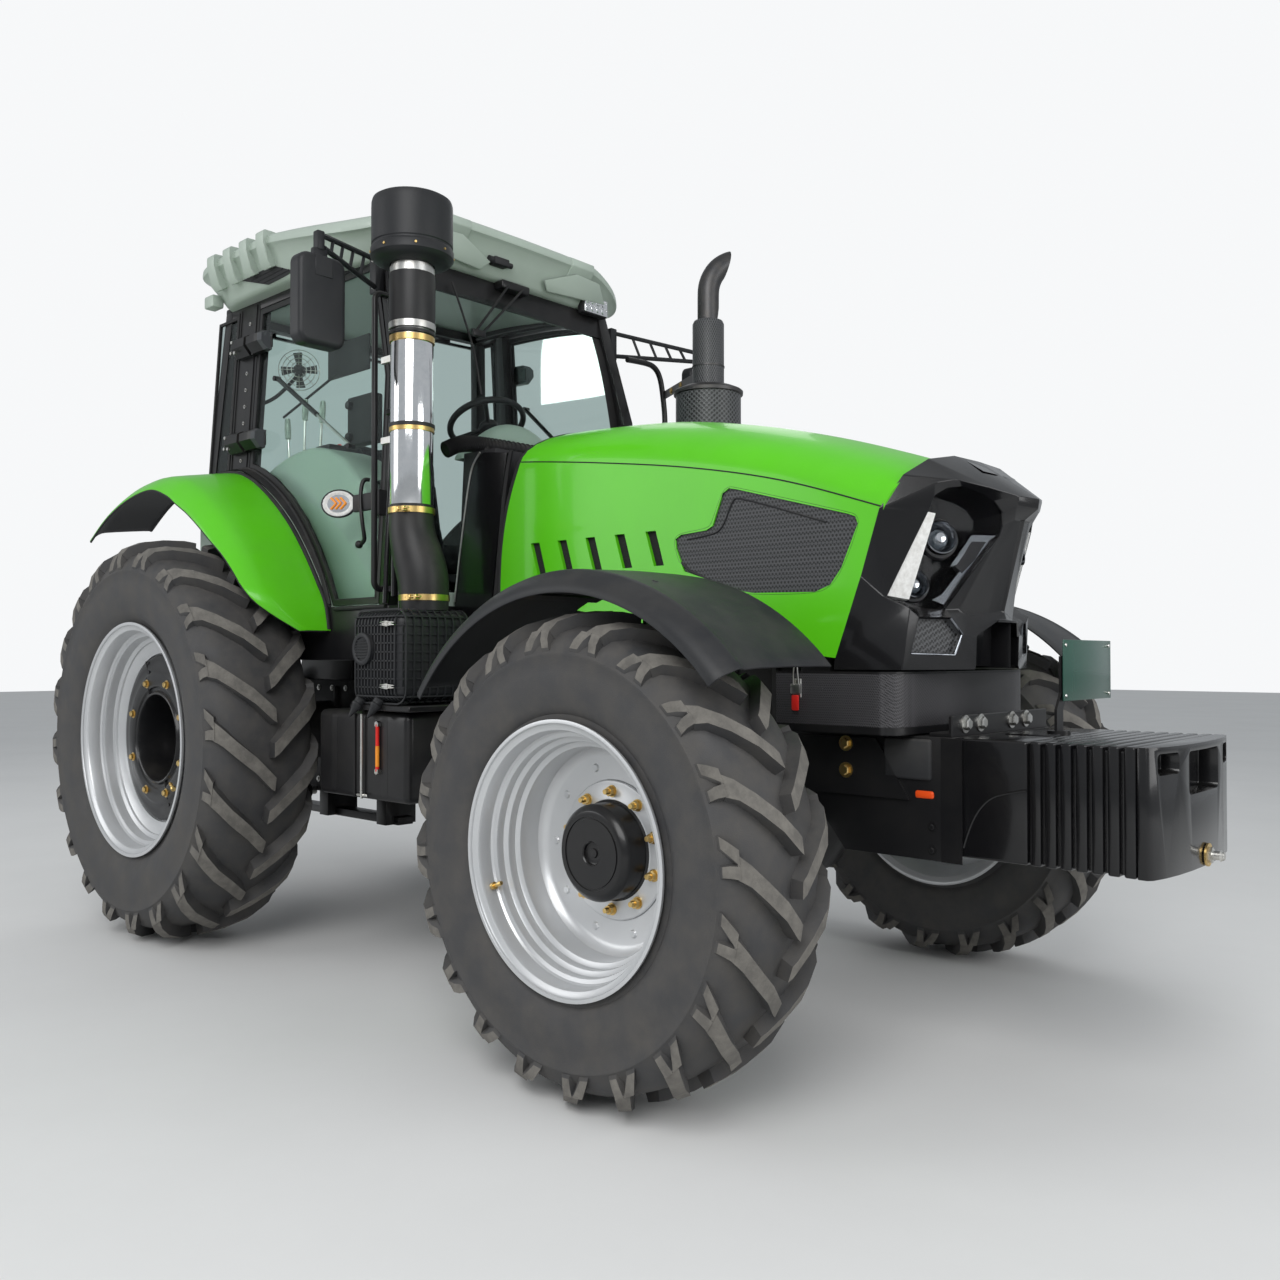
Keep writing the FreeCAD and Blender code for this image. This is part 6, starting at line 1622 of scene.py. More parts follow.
def makeEngine():
    bm = bmesh.new()
    softened(bm, "engine_block", .006)
    for sign in (1, -1):
        for x in (1.90, 2.07, 2.24, 2.41, 2.58, 2.75):  # cylinder ribs and head bolts
            softBox(bm, along(x - .012, sign * .285 - .012, 1.00), along(x + .012, sign * .285 + .012, 1.56), .004,
                    1)
            hexBolt(bm, along(x + .08, sign * .284, 1.66), (0, sign, 0), .012, .010, 1)
        softBox(bm, along(1.86, sign * .285 - .014, 1.58), along(2.83, sign * .285 + .014, 1.62), .005, 1)
        boltRow(bm, along(1.92, sign * .224, .716), (.085, 0, 0), 5, (0, sign, 0), .008)
    finishPiece(bm, "engine", "root", ["castBlack", "zincSilver"], ("engine_block",), sharp=30,
                merge=0)


def makeGearbox():
    bm = bmesh.new()
    softened(bm, "gearbox", .008)
    for sign in (1, -1):
        for ahead, up in ringOf(10, .5):  # flange of the rear axle housing
            hexBolt(bm, along(.163 * ahead, sign * .729, rearRadius + .163 * up), (0, -sign, 0), .012, .010, 1)
        boltRow(bm, along(-.33, sign * .250, .62), (.12, 0, 0), 6, (0, sign, 0), .010)
        boltRow(bm, along(-.33, sign * .250, 1.08), (.12, 0, 0), 6, (0, sign, 0), .010)
        for x in (.06, .26):  # stiffening ribs
            softBox(bm, along(x, sign * .25 - .016, .60), along(x + .022, sign * .25 + .016, 1.09), .004, 1)
    cover = along(-.380, 0, .67)  # power shaft cover, splines and rear couplings
    lathe(bm, ((0, .095), (-.012, .095), (-.016, .085), (-.016, .045)), cover, axisX, 40)
    for aside, up in ringOf(8):
        hexBolt(bm, cover + Vector((-.012, .078 * aside, .078 * up)), (-1, 0, 0), .007, .006, 1)
    for aside, up in ringOf(12):
        drum(bm, cover - axisX * .086 + Vector((0, aside, up)) * .0165, axisX, .0036, .080, 1, 8)
    for y in (-.19, -.13, .13, .19):
        for z in (.93, 1.00):
            lathe(bm, ((0, .024), (-.020, .024), (-.024, .019), (-.050, .018), (-.052, .010), (-.044, .009),
                       (-.044, 0)), along(-.380, y, z), axisX, 24, 2)
    finishPiece(bm, "gearbox_casting", "root", ["castBlack", "zincSilver", "redPlastic"], ("gearbox",),
                sharp=32, merge=0)


def makeFrontAxle():
    bm = bmesh.new()
    softened(bm, "front_axle", .006)
    for aside, up in ringOf(10):
        out = Vector((0, aside, up))
        hexBolt(bm, along(2.612, 0, frontRadius) + out * .164, (-1, 0, 0), .009, .008, 1)
        hexBolt(bm, along(2.745, 0, frontRadius) + out * .120, (1, 0, 0), .009, .008, 1)
    finishPiece(bm, "front_axle_casting", "root", ["frameBlack", "zincSilver"], ("front_axle",),
                sharp=32, merge=0)


def makeKnucklesAndLinks():
    for sideName, sign in (("left", 1), ("right", -1)):
        bm = bmesh.new()
        softened(bm, f"knuckle_{sideName}", .005)
        for z in (frontRadius + .165, frontRadius - .165):
            up = 1 if z > frontRadius else -1
            for ahead, aside in ringOf(4, .5):
                hexBolt(bm, along(2.70 + .048 * ahead, sign * .80 + .048 * aside, z), (0, 0, up), .008, .007, 1)
        finishPiece(bm, f"knuckle_casting_{sideName}", f"knuckle_{sideName}", ["castBlack", "zincSilver"],
                    (f"knuckle_{sideName}",), sharp=32, merge=0)
        bm = bmesh.new()
        softened(bm, f"lower_link_{sideName}", .003)
        finishPiece(bm, f"lower_link_bar_{sideName}", f"lower_link_{sideName}", ["frameBlack"],
                    (f"lower_link_{sideName}",), sharp=32, merge=0)


smallNodes = (
    # node, body, rounding, finish, slot
    ("steer_rod", "steer_rod", .003, "zincSilver", "zinc_steel"),
    ("drawbar", "root", .003, "frameBlack", "frame_black"),
    ("top_link", "root", .003, "frameBlack", "frame_black"),
    ("link_pins", "root", .002, "zincSilver", "zinc_steel"),
    ("lift_arms", "lift_arms", .005, "frameBlack", "frame_black"),
)


def makeSmallNodes():
    for node, body, radius, finish, slot in smallNodes:
        bm = bmesh.new()
        softened(bm, node, radius)
        if node == "top_link":
            base = along(-.44, 0, 0)
            for level in (1.10, 1.16, 1.22, 1.28, 1.34, 1.40):
                lathe(bm, ((-.006, .019), (-.002, .0235), (.002, .0235), (.006, .019)), base + axisZ * level, axisZ,
                      28, 1)
            lathe(bm, ((-.05, .019), (-.05, .028), (.05, .028), (.05, .019)), base + axisZ * 1.25, axisZ, 28, 0)
        finishPiece(bm, f"{node}_piece", body, [finish, "zincSilver"], (node,), sharp=32, merge=0)


def makeTanks():
    bm = bmesh.new()
    for sign in (1, -1):
        low, high = along(1.010, sign * .675 - .255, .700), along(1.600, sign * .675 + .255, 1.030)
        softBox(bm, low, high, .028, 4, 0)
        softBox(bm, along(1.11, sign * .31 - .12, .765), along(1.19, sign * .31 + .12, .835), .004, 1, 0)
        for x in (1.13, 1.46):  # straps
            loop = [Vector((along(x, 0, 0).x, sign * .675 + u, .865 + v)) for u, v in
                    roundedLoop(.2555, .1655, .030, 4)]
            hoop(bm, loop, axisX, .036, .003, 0)
        outer = sign * .931
        softBox(bm, along(1.270, outer - .006, .706), along(1.276, outer + .006, 1.020), .002, 1, 0)
        pipe(bm, path((1.330, outer + sign * .010, 1.020), (1.330, outer + sign * .010, .900),
                      (1.330, outer + sign * .010, .705)), .006, 1, 3, 2)
        softBox(bm, along(1.296, outer - .012, .712), along(1.364, outer + sign * .012 + .006, .722), .003, 1, 1)
        pipe(bm, path((1.428, outer + sign * .008, .985), (1.428, outer + sign * .008, .900),
                      (1.428, outer + sign * .008, .812)), .007, 2, 4, 2)
        pipe(bm, path((1.428, outer + sign * .008, .905), (1.428, outer + sign * .008, .870),
                      (1.428, outer + sign * .008, .830)), .0076, 3, 4, 2)
        for z in (.985, .812):
            drum(bm, along(1.428, outer, z), (0, sign, 0), .012, .014, 1, 6)
    lathe(bm, ((0, .052), (.022, .050), (.026, .044), (.026, 0)), along(1.09, .78, 1.030), axisZ, 32, 0)
    hexBolt(bm, along(1.30, -.80, .700), (0, 0, -1), .014, .012, 1)
    hexBolt(bm, along(1.30, .80, .700), (0, 0, -1), .014, .012, 1)
    finishPiece(bm, "side_tanks", "root", ["frameBlack", "zincSilver", "redPlastic", "amberLamp"],
                ("fuel_tanks",), sharp=34, merge=0)


def makeSteps():  # punched treads between two cheeks
    bm = bmesh.new()
    for level in (.462, .752, 1.032):
        softBox(bm, along(1.030, .950, level - .012), along(1.370, 1.110, level), .004, 2, 0)
        for index in range(7):
            for y in (.985, 1.030, 1.075):
                drum(bm, along(1.075 + index * .042, y, level - .001), axisZ, .012, .0035, 1, 14, .009)
    for x in (1.016, 1.370):
        softBox(bm, along(x, .930, .430), along(x + .014, 1.110, 1.160), .003, 2, 0)
    finishPiece(bm, "cab_steps", "root", ["frameBlack", "zincSilver"], ("steps",), sharp=32, merge=0)


makeMesh("bandMesh", (0.052, 0.050, 0.054), 0.0052, 0.42, 0.40)
makeBallast()
makeTowStud()
makeCarrier()
makeBlankPlate()
makeBand()
makeBandLatches()
makeFrameRails()
makeEngine()
makeGearbox()
makeFrontAxle()
makeKnucklesAndLinks()
makeSmallNodes()
makeTanks()
makeSteps()
print("front end, chassis and tanks made")

# cab: the sides lean in towards the roof, so every point on them is given by its place forward and its height

cabShape = {"sill": 1.440, "sillHalf": .750, "lean": .0676, "door": ((.046, 2.874), (.984, 2.874), (1.060, 2.640),
                                                                     (1.134, 2.380), (1.150, 1.90), (1.154, 1.446),
                                                                     (.828, 1.446), (.753, 1.570), (.661, 1.690),
                                                                     (.548, 1.816), (.424, 1.922), (.290, 2.012),
                                                                     (.160, 2.076), (.046, 2.114)),
            "house": ((-.345, 2.106), (-.120, 2.106), (.030, 2.104), (.155, 2.060), (.282, 1.996), (.415, 1.906),
                      (.536, 1.802), (.648, 1.678), (.738, 1.560), (.790, 1.470), (.806, 1.440)),
            "screen": ((1.196, 1.500), (1.196, 1.750), (1.192, 2.020), (1.180, 2.260), (1.150, 2.480),
                       (1.105, 2.690), (1.045, 2.880)), "hinges": (2.240, 2.700), }


def cabSide(x, z, out=0.0, sign=1):
    return along(x, sign * (cabShape["sillHalf"] - (z - cabShape["sill"]) * cabShape["lean"] + out), z)


def sidePane(bm, outline, out, depth, finish, sign=1):
    slab(bm, [cabSide(x, z, out, sign) for x, z in outline], (0, -sign * depth, 0), finish)


def shrunk(outline, amount):  # the same outline pulled in evenly
    count = len(outline)
    result = []
    for index in range(count):
        before, here, after = (Vector(outline[(index + shift) % count]) for shift in (-1, 0, 1))
        into, out = (here - before).normalized(), (after - here).normalized()
        normalIn, normalOut = Vector((into.y, -into.x)), Vector((out.y, -out.x))
        result.append(tuple(here + (normalIn + normalOut) * amount / (1 + normalIn.dot(normalOut))))
    return result


def sideFrame(bm, outline, width, out, depth, finish, sign=1):  # a strip of even width along the outline
    inner = shrunk(outline, width)
    whole, bm = bm, bmesh.new()
    rows = []
    for line, lift in ((outline, out), (inner, out), (inner, out - depth), (outline, out - depth)):
        rows.append([bm.verts.new(cabSide(x, z, lift, sign)) for x, z in line])
    for first, second in zip(rows, rows[1:] + rows[:1]):
        ringBridge(bm, first, second)
    addPart(whole, bm, finish)


def facetedCase(bm, low, high, sign, finish, capFinish=None, rear=False):  # hinge cover with slanted lower face
    whole, bm = bm, bmesh.new()
    (x0, z0), (x1, z1) = low, high
    drop = (z1 - z0) * .42
    section = [(.000, z1), (.040, z1), (.066, z1 - .016), (.066, z0 + drop), (.030, z0), (.000, z0)]
    ends = []
    for x, inset in ((x0, .012 if rear else 0), (x0 + (.022 if rear else .0), 0), (x1 - (0 if rear else .022), 0),
                     (x1, 0 if rear else .012)):
        middle = (z0 + z1) / 2
        ends.append([bm.verts.new(cabSide(x, z + (middle - z) * inset * 8, out * (1 - inset * 12), sign))
                     for out, z in section])
    for first, second in zip(ends, ends[1:]):
        ringBridge(bm, first, second)
    bm.faces.new(ends[0])
    bm.faces.new(ends[-1])
    for face in bm.faces:
        face.material_index = finish
        if capFinish is not None and face.calc_center_median().x > along(x1 - .024, 0, 0).x:
            face.material_index = capFinish
    addPart(whole, bm)


def makeDoor(side, sign):
    body = f"door_{side}"
    bm = bmesh.new()
    sideFrame(bm, cabShape["door"], .020, .000, .024, 0, sign)
    sideFrame(bm, shrunk(cabShape["door"], .020), .007, .002, .012, 1, sign)
    for level in cabShape["hinges"]:  # front half of each hinge, with its strap on the glass
        facetedCase(bm, (.050, level - .045), (.176, level + .045), sign, 0, 2)
        softBox(bm, cabSide(.055, level - .030, -.004 if sign > 0 else .004, sign) - Vector((0, .003, 0)),
                cabSide(.180, level + .030, .004, sign) + Vector((0, .003, 0)), .002, 1, 0)
    bar = [(1.058, 1.950), (1.050, 1.955), (1.046, 1.930), (1.052, 1.860), (1.066, 1.780), (1.068, 1.728),
           (1.050, 1.700), (1.018, 1.690)]
    pipe(bm, [cabSide(x, z, .012 + .034 * math.sin(math.pi * min(index / 6, 1)), sign) for index, (x, z) in
              enumerate(bar)], .0085, 0, 4, 6)
    bmesh.ops.create_uvsphere(bm, u_segments=16, v_segments=10, radius=.0165,
                              matrix=Matrix.Translation(cabSide(1.014, 1.690, .014, sign)))
    softBox(bm, cabSide(1.035, 1.800, -.035, sign) - Vector((0, .012, 0)),
            cabSide(1.110, 1.950, -.035, sign) + Vector((0, .012, 0)), .006, 2, 0)
    strut = [cabSide(.200, 2.520, -.030, sign), cabSide(.850, 2.120, -.030, sign)]  # gas strut inside the glass
    pipe(bm, strut, .0060, 3, 3, 2, 2)
    pipe(bm, [strut[0], strut[0] + (strut[1] - strut[0]) * .55], .0110, 0, 4, 2, 2)
    for point in strut:
        drum(bm, point - Vector((0, sign * .010, 0)), (0, sign, 0), .012, .034, 0, 16)
    finishPiece(bm, f"door_frame_{side}", body, ["frameBlack", "sealRubber", "dashGrey", "zincSilver"],
                (body,), sharp=32, merge=0)
    bm = bmesh.new()
    sidePane(bm, shrunk(cabShape["door"], .016), -.008, .005, 0, sign)
    finishPiece(bm, f"door_pane_{side}", body, ["screenGlass"], (f"door_glass_{side}",), sharp=30)


def makeCabPosts():
    bm = bmesh.new()
    softened(bm, "cab_frame", .006)
    for sign in (1, -1):
        post = ((-.150, 2.110), (.018, 2.110), (.018, 2.905), (-.120, 2.905))
        sidePane(bm, post[::-1], .004, .012, 0, sign)
        sideFrame(bm, ((-.148, 2.900), (-.118, 2.900), (-.118, 2.112), (-.148, 2.112)), .008, .008, .008, 1, sign)
        for level in (2.16, 2.34, 2.42, 2.50, 2.58, 2.82):
            drum(bm, cabSide(-.035, level, .002, sign), (0, sign, 0), .0085, .005, 2, 14)
            drum(bm, cabSide(-.035, level, .006, sign), (0, sign, 0), .0045, .002, 1, 6)
        for level in cabShape["hinges"]:
            facetedCase(bm, (-.110, level - .048), (.028, level + .048), sign, 0, None, True)
            for x, z in ((-.084, -.026), (-.050, -.030), (-.084, .026)):
                drum(bm, cabSide(x, level + z, .060, sign), (0, sign, 0), .008, .010, 2, 12)
        sideFrame(bm, ((-.345, 2.100), (-.345, 2.880), (-.150, 2.880), (-.150, 2.100)), .014, .006, .014, 1, sign)
        softBox(bm, cabSide(-.30, 2.892, -.050, sign) - Vector((0, .022, 0)),
                cabSide(.99, 2.918, -.035, sign) + Vector((0, .022, 0)), .004, 1, 0)
        sill = [cabSide(.850, 1.432, .004, sign), cabSide(1.210, 1.432, .004, sign)]
        pipe(bm, [sill[0], sill[1]], .009, 1, 3, 2, 2)
        house = softLine([Vector((x, 0, z)) for x, z in cabShape["house"]], 3)
        flap = bmesh.new()
        lower = [flap.verts.new(along(point.x, sign * .758, point.z + .004)) for point in house]
        upper = [flap.verts.new(cabSide(point.x + .004, point.z + .012, .003, sign)) for point in house]
        for a, b, c, d in zip(lower, lower[1:], upper[1:], upper):
            flap.faces.new((a, b, c, d) if sign > 0 else (d, c, b, a))
        drawOut(flap, flap.faces[:], (0, -sign * .006, -.008))
        addPart(bm, flap, 1)
        pipe(bm, [cabSide(point.x + .004, point.z + .012, .004, sign) for point in house], .0075, 1, 3, 2)
    # header over the windscreen, with the wiper's two arms and blade
    slab(bm, path((1.052, -.62, 2.802), (1.052, .62, 2.802), (1.040, .62, 2.905), (1.040, -.62, 2.905)),
         (.012, 0, .003), 0)
    softBox(bm, along(1.050, -.07, 2.885), along(1.110, .095, 2.925), .008, 2, 0)
    lower = ((-.262, 2.632), (-.218, 2.640))
    for (y0, z0), (y1, z1) in (((-.030, 2.905), lower[0]), ((.055, 2.905), lower[1])):
        pipe(bm, [along(1.105, y0, z0), along(1.150, (y0 + y1) / 2, (z0 + z1) / 2 + .01), along(1.150, y1, z1)],
             .0058, 0, 3, 4)
    softBox(bm, along(1.142, -.275, 2.618), along(1.158, -.205, 2.650), .004, 2, 0)
    pipe(bm, path((1.082, -.330, 2.850), (1.118, -.295, 2.700), (1.146, -.262, 2.560), (1.168, -.250, 2.420),
                  (1.176, -.245, 2.365)), .0050, 1, 3, 6)
    finishPiece(bm, "cab_posts", "root", ["frameBlack", "sealRubber", "zincSilver"], ("cab_frame",),
                sharp=32, merge=0)


def makeWindscreen():  # soft bend towards the roof, slight bow across, black edge
    bm = bmesh.new()
    line = softLine([Vector((x, 0, z)) for x, z in cabShape["screen"]], 4)
    columns = 16
    rows = []
    for point in line:
        half = cabShape["sillHalf"] - (point.z - cabShape["sill"]) * cabShape["lean"] - .046
        row = []
        for column in range(columns + 1):
            share = column / columns * 2 - 1
            share = math.copysign(abs(share) ** .85, share)
            row.append(bm.verts.new(along(point.x - .016 * share * share, share * half, point.z)))
        rows.append(row)
    for level, (first, second) in enumerate(zip(rows, rows[1:])):
        for column in range(columns):
            face = bm.faces.new((first[column], first[column + 1], second[column + 1], second[column]))
            face.material_index = 1 if column in (0, columns - 1) or level == len(rows) - 2 else 0
    bmesh.ops.solidify(bm, geom=bm.faces[:], thickness=.006)
    finishPiece(bm, "windscreen_pane", "root", ["screenGlass", "sealRubber"], ("windscreen",),
                sharp=30)


def makeFixedPanes():
    bm = bmesh.new()
    for sign in (1, -1):
        sidePane(bm, ((-.335, 2.112), (-.335, 2.878), (-.130, 2.878), (-.155, 2.112)), -.004, .006, 0, sign)
    slab(bm, path((-.338, -.715, 1.735), (-.338, .715, 1.735), (-.338, .700, 2.106), (-.300, .645, 2.878),
                  (-.300, -.645, 2.878), (-.338, -.700, 2.106)), (.006, 0, 0), 0)
    finishPiece(bm, "side_and_rear_panes", "root", ["screenGlass"], ("cab_glass",), sharp=30)


def makeRearWindowFrame():  # with handle and hinges
    bm = bmesh.new()
    rear = [(-.705, 1.745), (.705, 1.745), (.700, 2.106), (.640, 2.870), (-.640, 2.870), (-.700, 2.106)]
    hoop(bm, [along(-.338 if z < 2.5 else -.302, y, z) for y, z in rear], axisX, .020, .014, 0)
    for y in (-.42, .42):
        softBox(bm, along(-.330, y - .04, 2.862), along(-.285, y + .04, 2.896), .006, 2, 0)
    softBox(bm, along(-.362, -.055, 1.760), along(-.332, .055, 1.800), .008, 2, 0)
    pipe(bm, path((-.345, -.07, 1.810), (-.385, -.05, 1.812), (-.385, .05, 1.812), (-.345, .07, 1.810)), .007, 0, 3,
         4)
    finishPiece(bm, "rear_window_frame", "root", ["frameBlack"], sharp=32, merge=0)


def makeCabFloor():
    bm = bmesh.new()
    softened(bm, "cab_floor", .005)
    bmesh.ops.bisect_plane(bm, geom=bm.verts[:] + bm.edges[:] + bm.faces[:], plane_co=(0, 0, 1.443),
                           plane_no=(0, 0, 1))
    for face in bm.faces:
        if face.calc_center_median().z < 1.4429:
            face.material_index = 2
    for sign in (1, -1):  # rubber feet with their plates below the floor, the mat on it
        for x in (.06, 1.02):
            lathe(bm, ((1.060, .062), (1.066, .070), (1.110, .070), (1.120, .058)), along(x, sign * .46, 0), axisZ,
                  32, 1)
            softBox(bm, along(x - .06, sign * .46 - .06, 1.020), along(x + .06, sign * .46 + .06, 1.062), .006, 1,
                    2)
        softBox(bm, along(.99, sign * .34 - .14, 1.022), along(1.05, sign * .34 + .14, 1.058), .004, 1, 2)
    softBox(bm, along(.10, -.40, 1.259), along(1.16, .70, 1.268), .004, 1, 1)
    finishPiece(bm, "cab_floor_pan", "root", ["wheelHouse", "trimBlack", "frameBlack"], ("cab_floor",),
                sharp=32, merge=0)


for side, sign in (("left", 1), ("right", -1)):
    makeDoor(side, sign)
makeCabPosts()
makeWindscreen()
makeFixedPanes()
makeRearWindowFrame()
makeCabFloor()
print("cab made")


# cowl between cab and bonnet, lamps, mirrors and handrails

def makeCowl():
    bm = bmesh.new()
    softened(bm, "cowl", .012, 0, 3)
    for sign in (1, -1):
        seam = ((1.236, 1.46), (1.262, 1.62), (1.300, 1.82), (1.337, 1.99), (1.370, 2.036), (1.398, 2.060))
        panel = [(1.226, 1.300), (1.236, 1.46), (1.262, 1.62), (1.300, 1.82), (1.337, 1.99), (1.370, 2.036),
                 (1.420, 2.058), (1.560, 2.040), (1.540, 1.93), (1.512, 1.747), (1.472, 1.483), (1.440, 1.300)]
        slab(bm, sideways(panel, sign * .424), (0, sign * .008, 0), 1)
        pipe(bm, sideways(seam, sign * .434), .0040, 2, 3, 6)
        pipe(bm, sideways(((1.470, 1.30), (1.500, 1.483), (1.532, 1.747), (1.560, 1.95), (1.590, 2.045)),
                          sign * .434), .0095, 3, 3, 6)
    finishPiece(bm, "cowl_panels", "root", ["trimBlack", "glossBlack", "zincSilver", "sealRubber"],
                ("cowl",), sharp=34, merge=0)


def makeDuct():  # ribbed air duct across the top of the cowl
    bm = bmesh.new()
    route = path((1.300, -.530, 2.070), (1.305, -.450, 2.104), (1.310, -.300, 2.116), (1.312, 0, 2.118),
                 (1.310, .300, 2.116), (1.305, .450, 2.104), (1.300, .530, 2.070))
    line = softLine(route, 12)
    for index in range(len(line) - 1):
        lathe(bm, ((-.003, .027), (0, .034), (.003, .027)), line[index], line[index + 1] - line[index], 20, 0)
    pipe(bm, route, .0275, 0, 5, 8)
    for y in (-.34, .34):
        softBox(bm, along(1.285, y - .014, 2.060), along(1.335, y + .014, 2.110), .004, 1, 0)
    finishPiece(bm, "cowl_duct", "root", ["hoseRubber"], sharp=50, merge=0)


def addSideLamp(bm, sign):  # oval lamp beside the door
    whole, bm = bm, bmesh.new()
    place = cabSide(.925, 1.860, .062, sign)
    outward = Vector((.62, sign, .03)).normalized()
    turn = outward.to_track_quat("X", "Z")
    lathe(bm, ((-.030, 0), (-.030, .030), (-.018, .052), (-.002, .0595), (.005, .060), (.008, .057), (.006, .052)),
          place, outward, 48, 0)
    lathe(bm, ((.004, .055), (.008, .053), (.009, .044), (.005, .038)), place, outward, 48, 3)
    lathe(bm, ((.003, .040), (.007, .038), (.010, .020), (.011, 0)), place, outward, 40, 1)
    for aside, up in ringOf(20):
        drum(bm, place + turn @ Vector((.009, .0485 * aside, .0485 * up)), outward, .0046, .002, 3, 8)
    for shift in (-.020, -.004, .012):
        for tilt in (1, -1):
            pipe(bm, [place + turn @ Vector((.0115, sign * (shift + .012), tilt * .024)),
                      place + turn @ Vector((.0125, sign * (shift - .006), 0))], .0042, 2, 2, 2, 2)
    stand = Matrix.Translation(place) @ turn.to_matrix().to_4x4()
    bmesh.ops.transform(bm, matrix=stand @ Matrix.Diagonal((1, 1.30, .98, 1)) @ stand.inverted(), verts=bm.verts)
    addPart(whole, bm)


def makeLamps():
    bm = bmesh.new()
    for sign in (1, -1):
        middle = along(1.090, sign * .528, 2.940)
        boxAt(bm, middle, (-.030, -.082, -.043), (.012, .082, .043), .008, 2, 0)
        boxAt(bm, middle, (.008, -.078, -.039), (.018, .078, .039), .004, 2, 1)
        for row in (-.018, .018):
            for column in range(4):
                spot = middle + Vector((.017, (column - 1.5) * .036, row))
                lathe(bm, ((.0, .0150), (.004, .0155), (.002, .0120), (-.003, .006), (-.003, 0)), spot, axisX, 18,
                      1)
        boxAt(bm, middle, (-.020, -.012, .040), (.000, .012, .078), .003, 1, 0)
        addSideLamp(bm, sign)
        softBox(bm, cabSide(.985, 1.822, .030, sign) - Vector((0, .008, 0)), cabSide(1.150, 1.892, .030, sign)
                + Vector((0, .008, 0)), .006, 2, 0)
        softBox(bm, cabSide(1.125, 1.800, .0, sign) - Vector((0, .030, 0)), cabSide(1.165, 1.900, .0, sign)
                + Vector((0, .034, 0)), .005, 2, 0)
        rear = along(-.345, sign * .560, 2.935)
        boxAt(bm, rear, (-.020, -.055, -.032), (.030, .055, .032), .008, 2, 0)
        boxAt(bm, rear, (-.026, -.050, -.027), (-.018, .050, .027), .003, 2, 1)
        corner = along(-.250, sign * .735, 2.950)  # small pale block under the rear corner of the roof
        boxAt(bm, corner, (-.045, -.030, -.030), (.045, .030, .030), .010, 2, 4)
    box = along(1.135, -.106, 2.982)
    boxAt(bm, box, (-.030, -.042, -.017), (.018, .042, .017), .006, 2, 0)
    drum(bm, box + Vector((-.004, .040, .0)), (0, 1, 0), .012, .030, 0, 16)
    drum(bm, box + Vector((-.004, -.040, .002)), (0, -1, 0), .015, .022, 0, 16)
    finishPiece(bm, "work_and_side_lamps", "root", ["trimBlack", "chrome", "amberLamp", "runningLight", "roofGrey"],
                ("lamps",), sharp=32, merge=0)


def makeMirrors():
    bm = bmesh.new()
    middle = along(1.280, 1.100, 2.540)
    head = bmesh.new()
    boxAt(head, middle, (-.030, -.098, -.168), (.036, .098, .168), 0, 1)
    upright = [edge for edge in head.edges if abs((edge.verts[0].co - edge.verts[1].co).normalized().x) > .9]
    roundOff(head, upright, .042, 6, False)
    front = [edge for edge in head.edges if all(vert.co.x > middle.x + .030 for vert in edge.verts)
             and edge.calc_face_angle(0) > .5]
    roundOff(head, front, .022, 5, False)
    addPart(bm, head)
    boxAt(bm, middle, (.030, -.036, .085), (.0385, .036, .160), .002, 1, 0)
    boxAt(bm, middle, (-.034, -.086, -.156), (-.028, .086, .156), .002, 1, 1)
    boxAt(bm, middle, (-.010, -.030, .150), (.014, .030, .196), .006, 2, 0)
    boxAt(bm, middle, (-.016, -.016, .190), (.018, .016, .262), .006, 2, 0)
    root = along(1.056, .700, 2.835)
    tipTop, tipLow = middle + Vector((0, 0, .252)), middle + Vector((0, -.020, .205))
    rootTop, rootLow = root + Vector((0, 0, .020)), root + Vector((0, 0, -.095))
    for start, stop in ((rootTop, tipTop), (rootLow, tipLow), (rootLow, rootTop)):
        pipe(bm, [start, stop], .011, 0, 2, 2, 2)
    for share in (.22, .42, .60, .77):
        top = rootTop + (tipTop - rootTop) * share
        low = rootLow + (tipLow - rootLow) * min(share + .10, 1)
        pipe(bm, [top, low], .007, 0, 2, 2, 2)
    boxAt(bm, root, (-.030, -.030, -.120), (.016, .012, .040), .006, 2, 0)
    for z in (-.095, .015):
        hexBolt(bm, root + Vector((0, .010, z)), (0, 1, 0), .009, .008, 2)
    softBox(bm, along(1.020, .645, 2.740), along(1.058, .690, 2.862), .005, 1, 0)
    mirrorAcross(bm)
    finishPiece(bm, "mirror_pair", "root", ["mattBlack", "mirrorFace", "zincSilver"], ("mirrors",),
                sharp=36, merge=0)


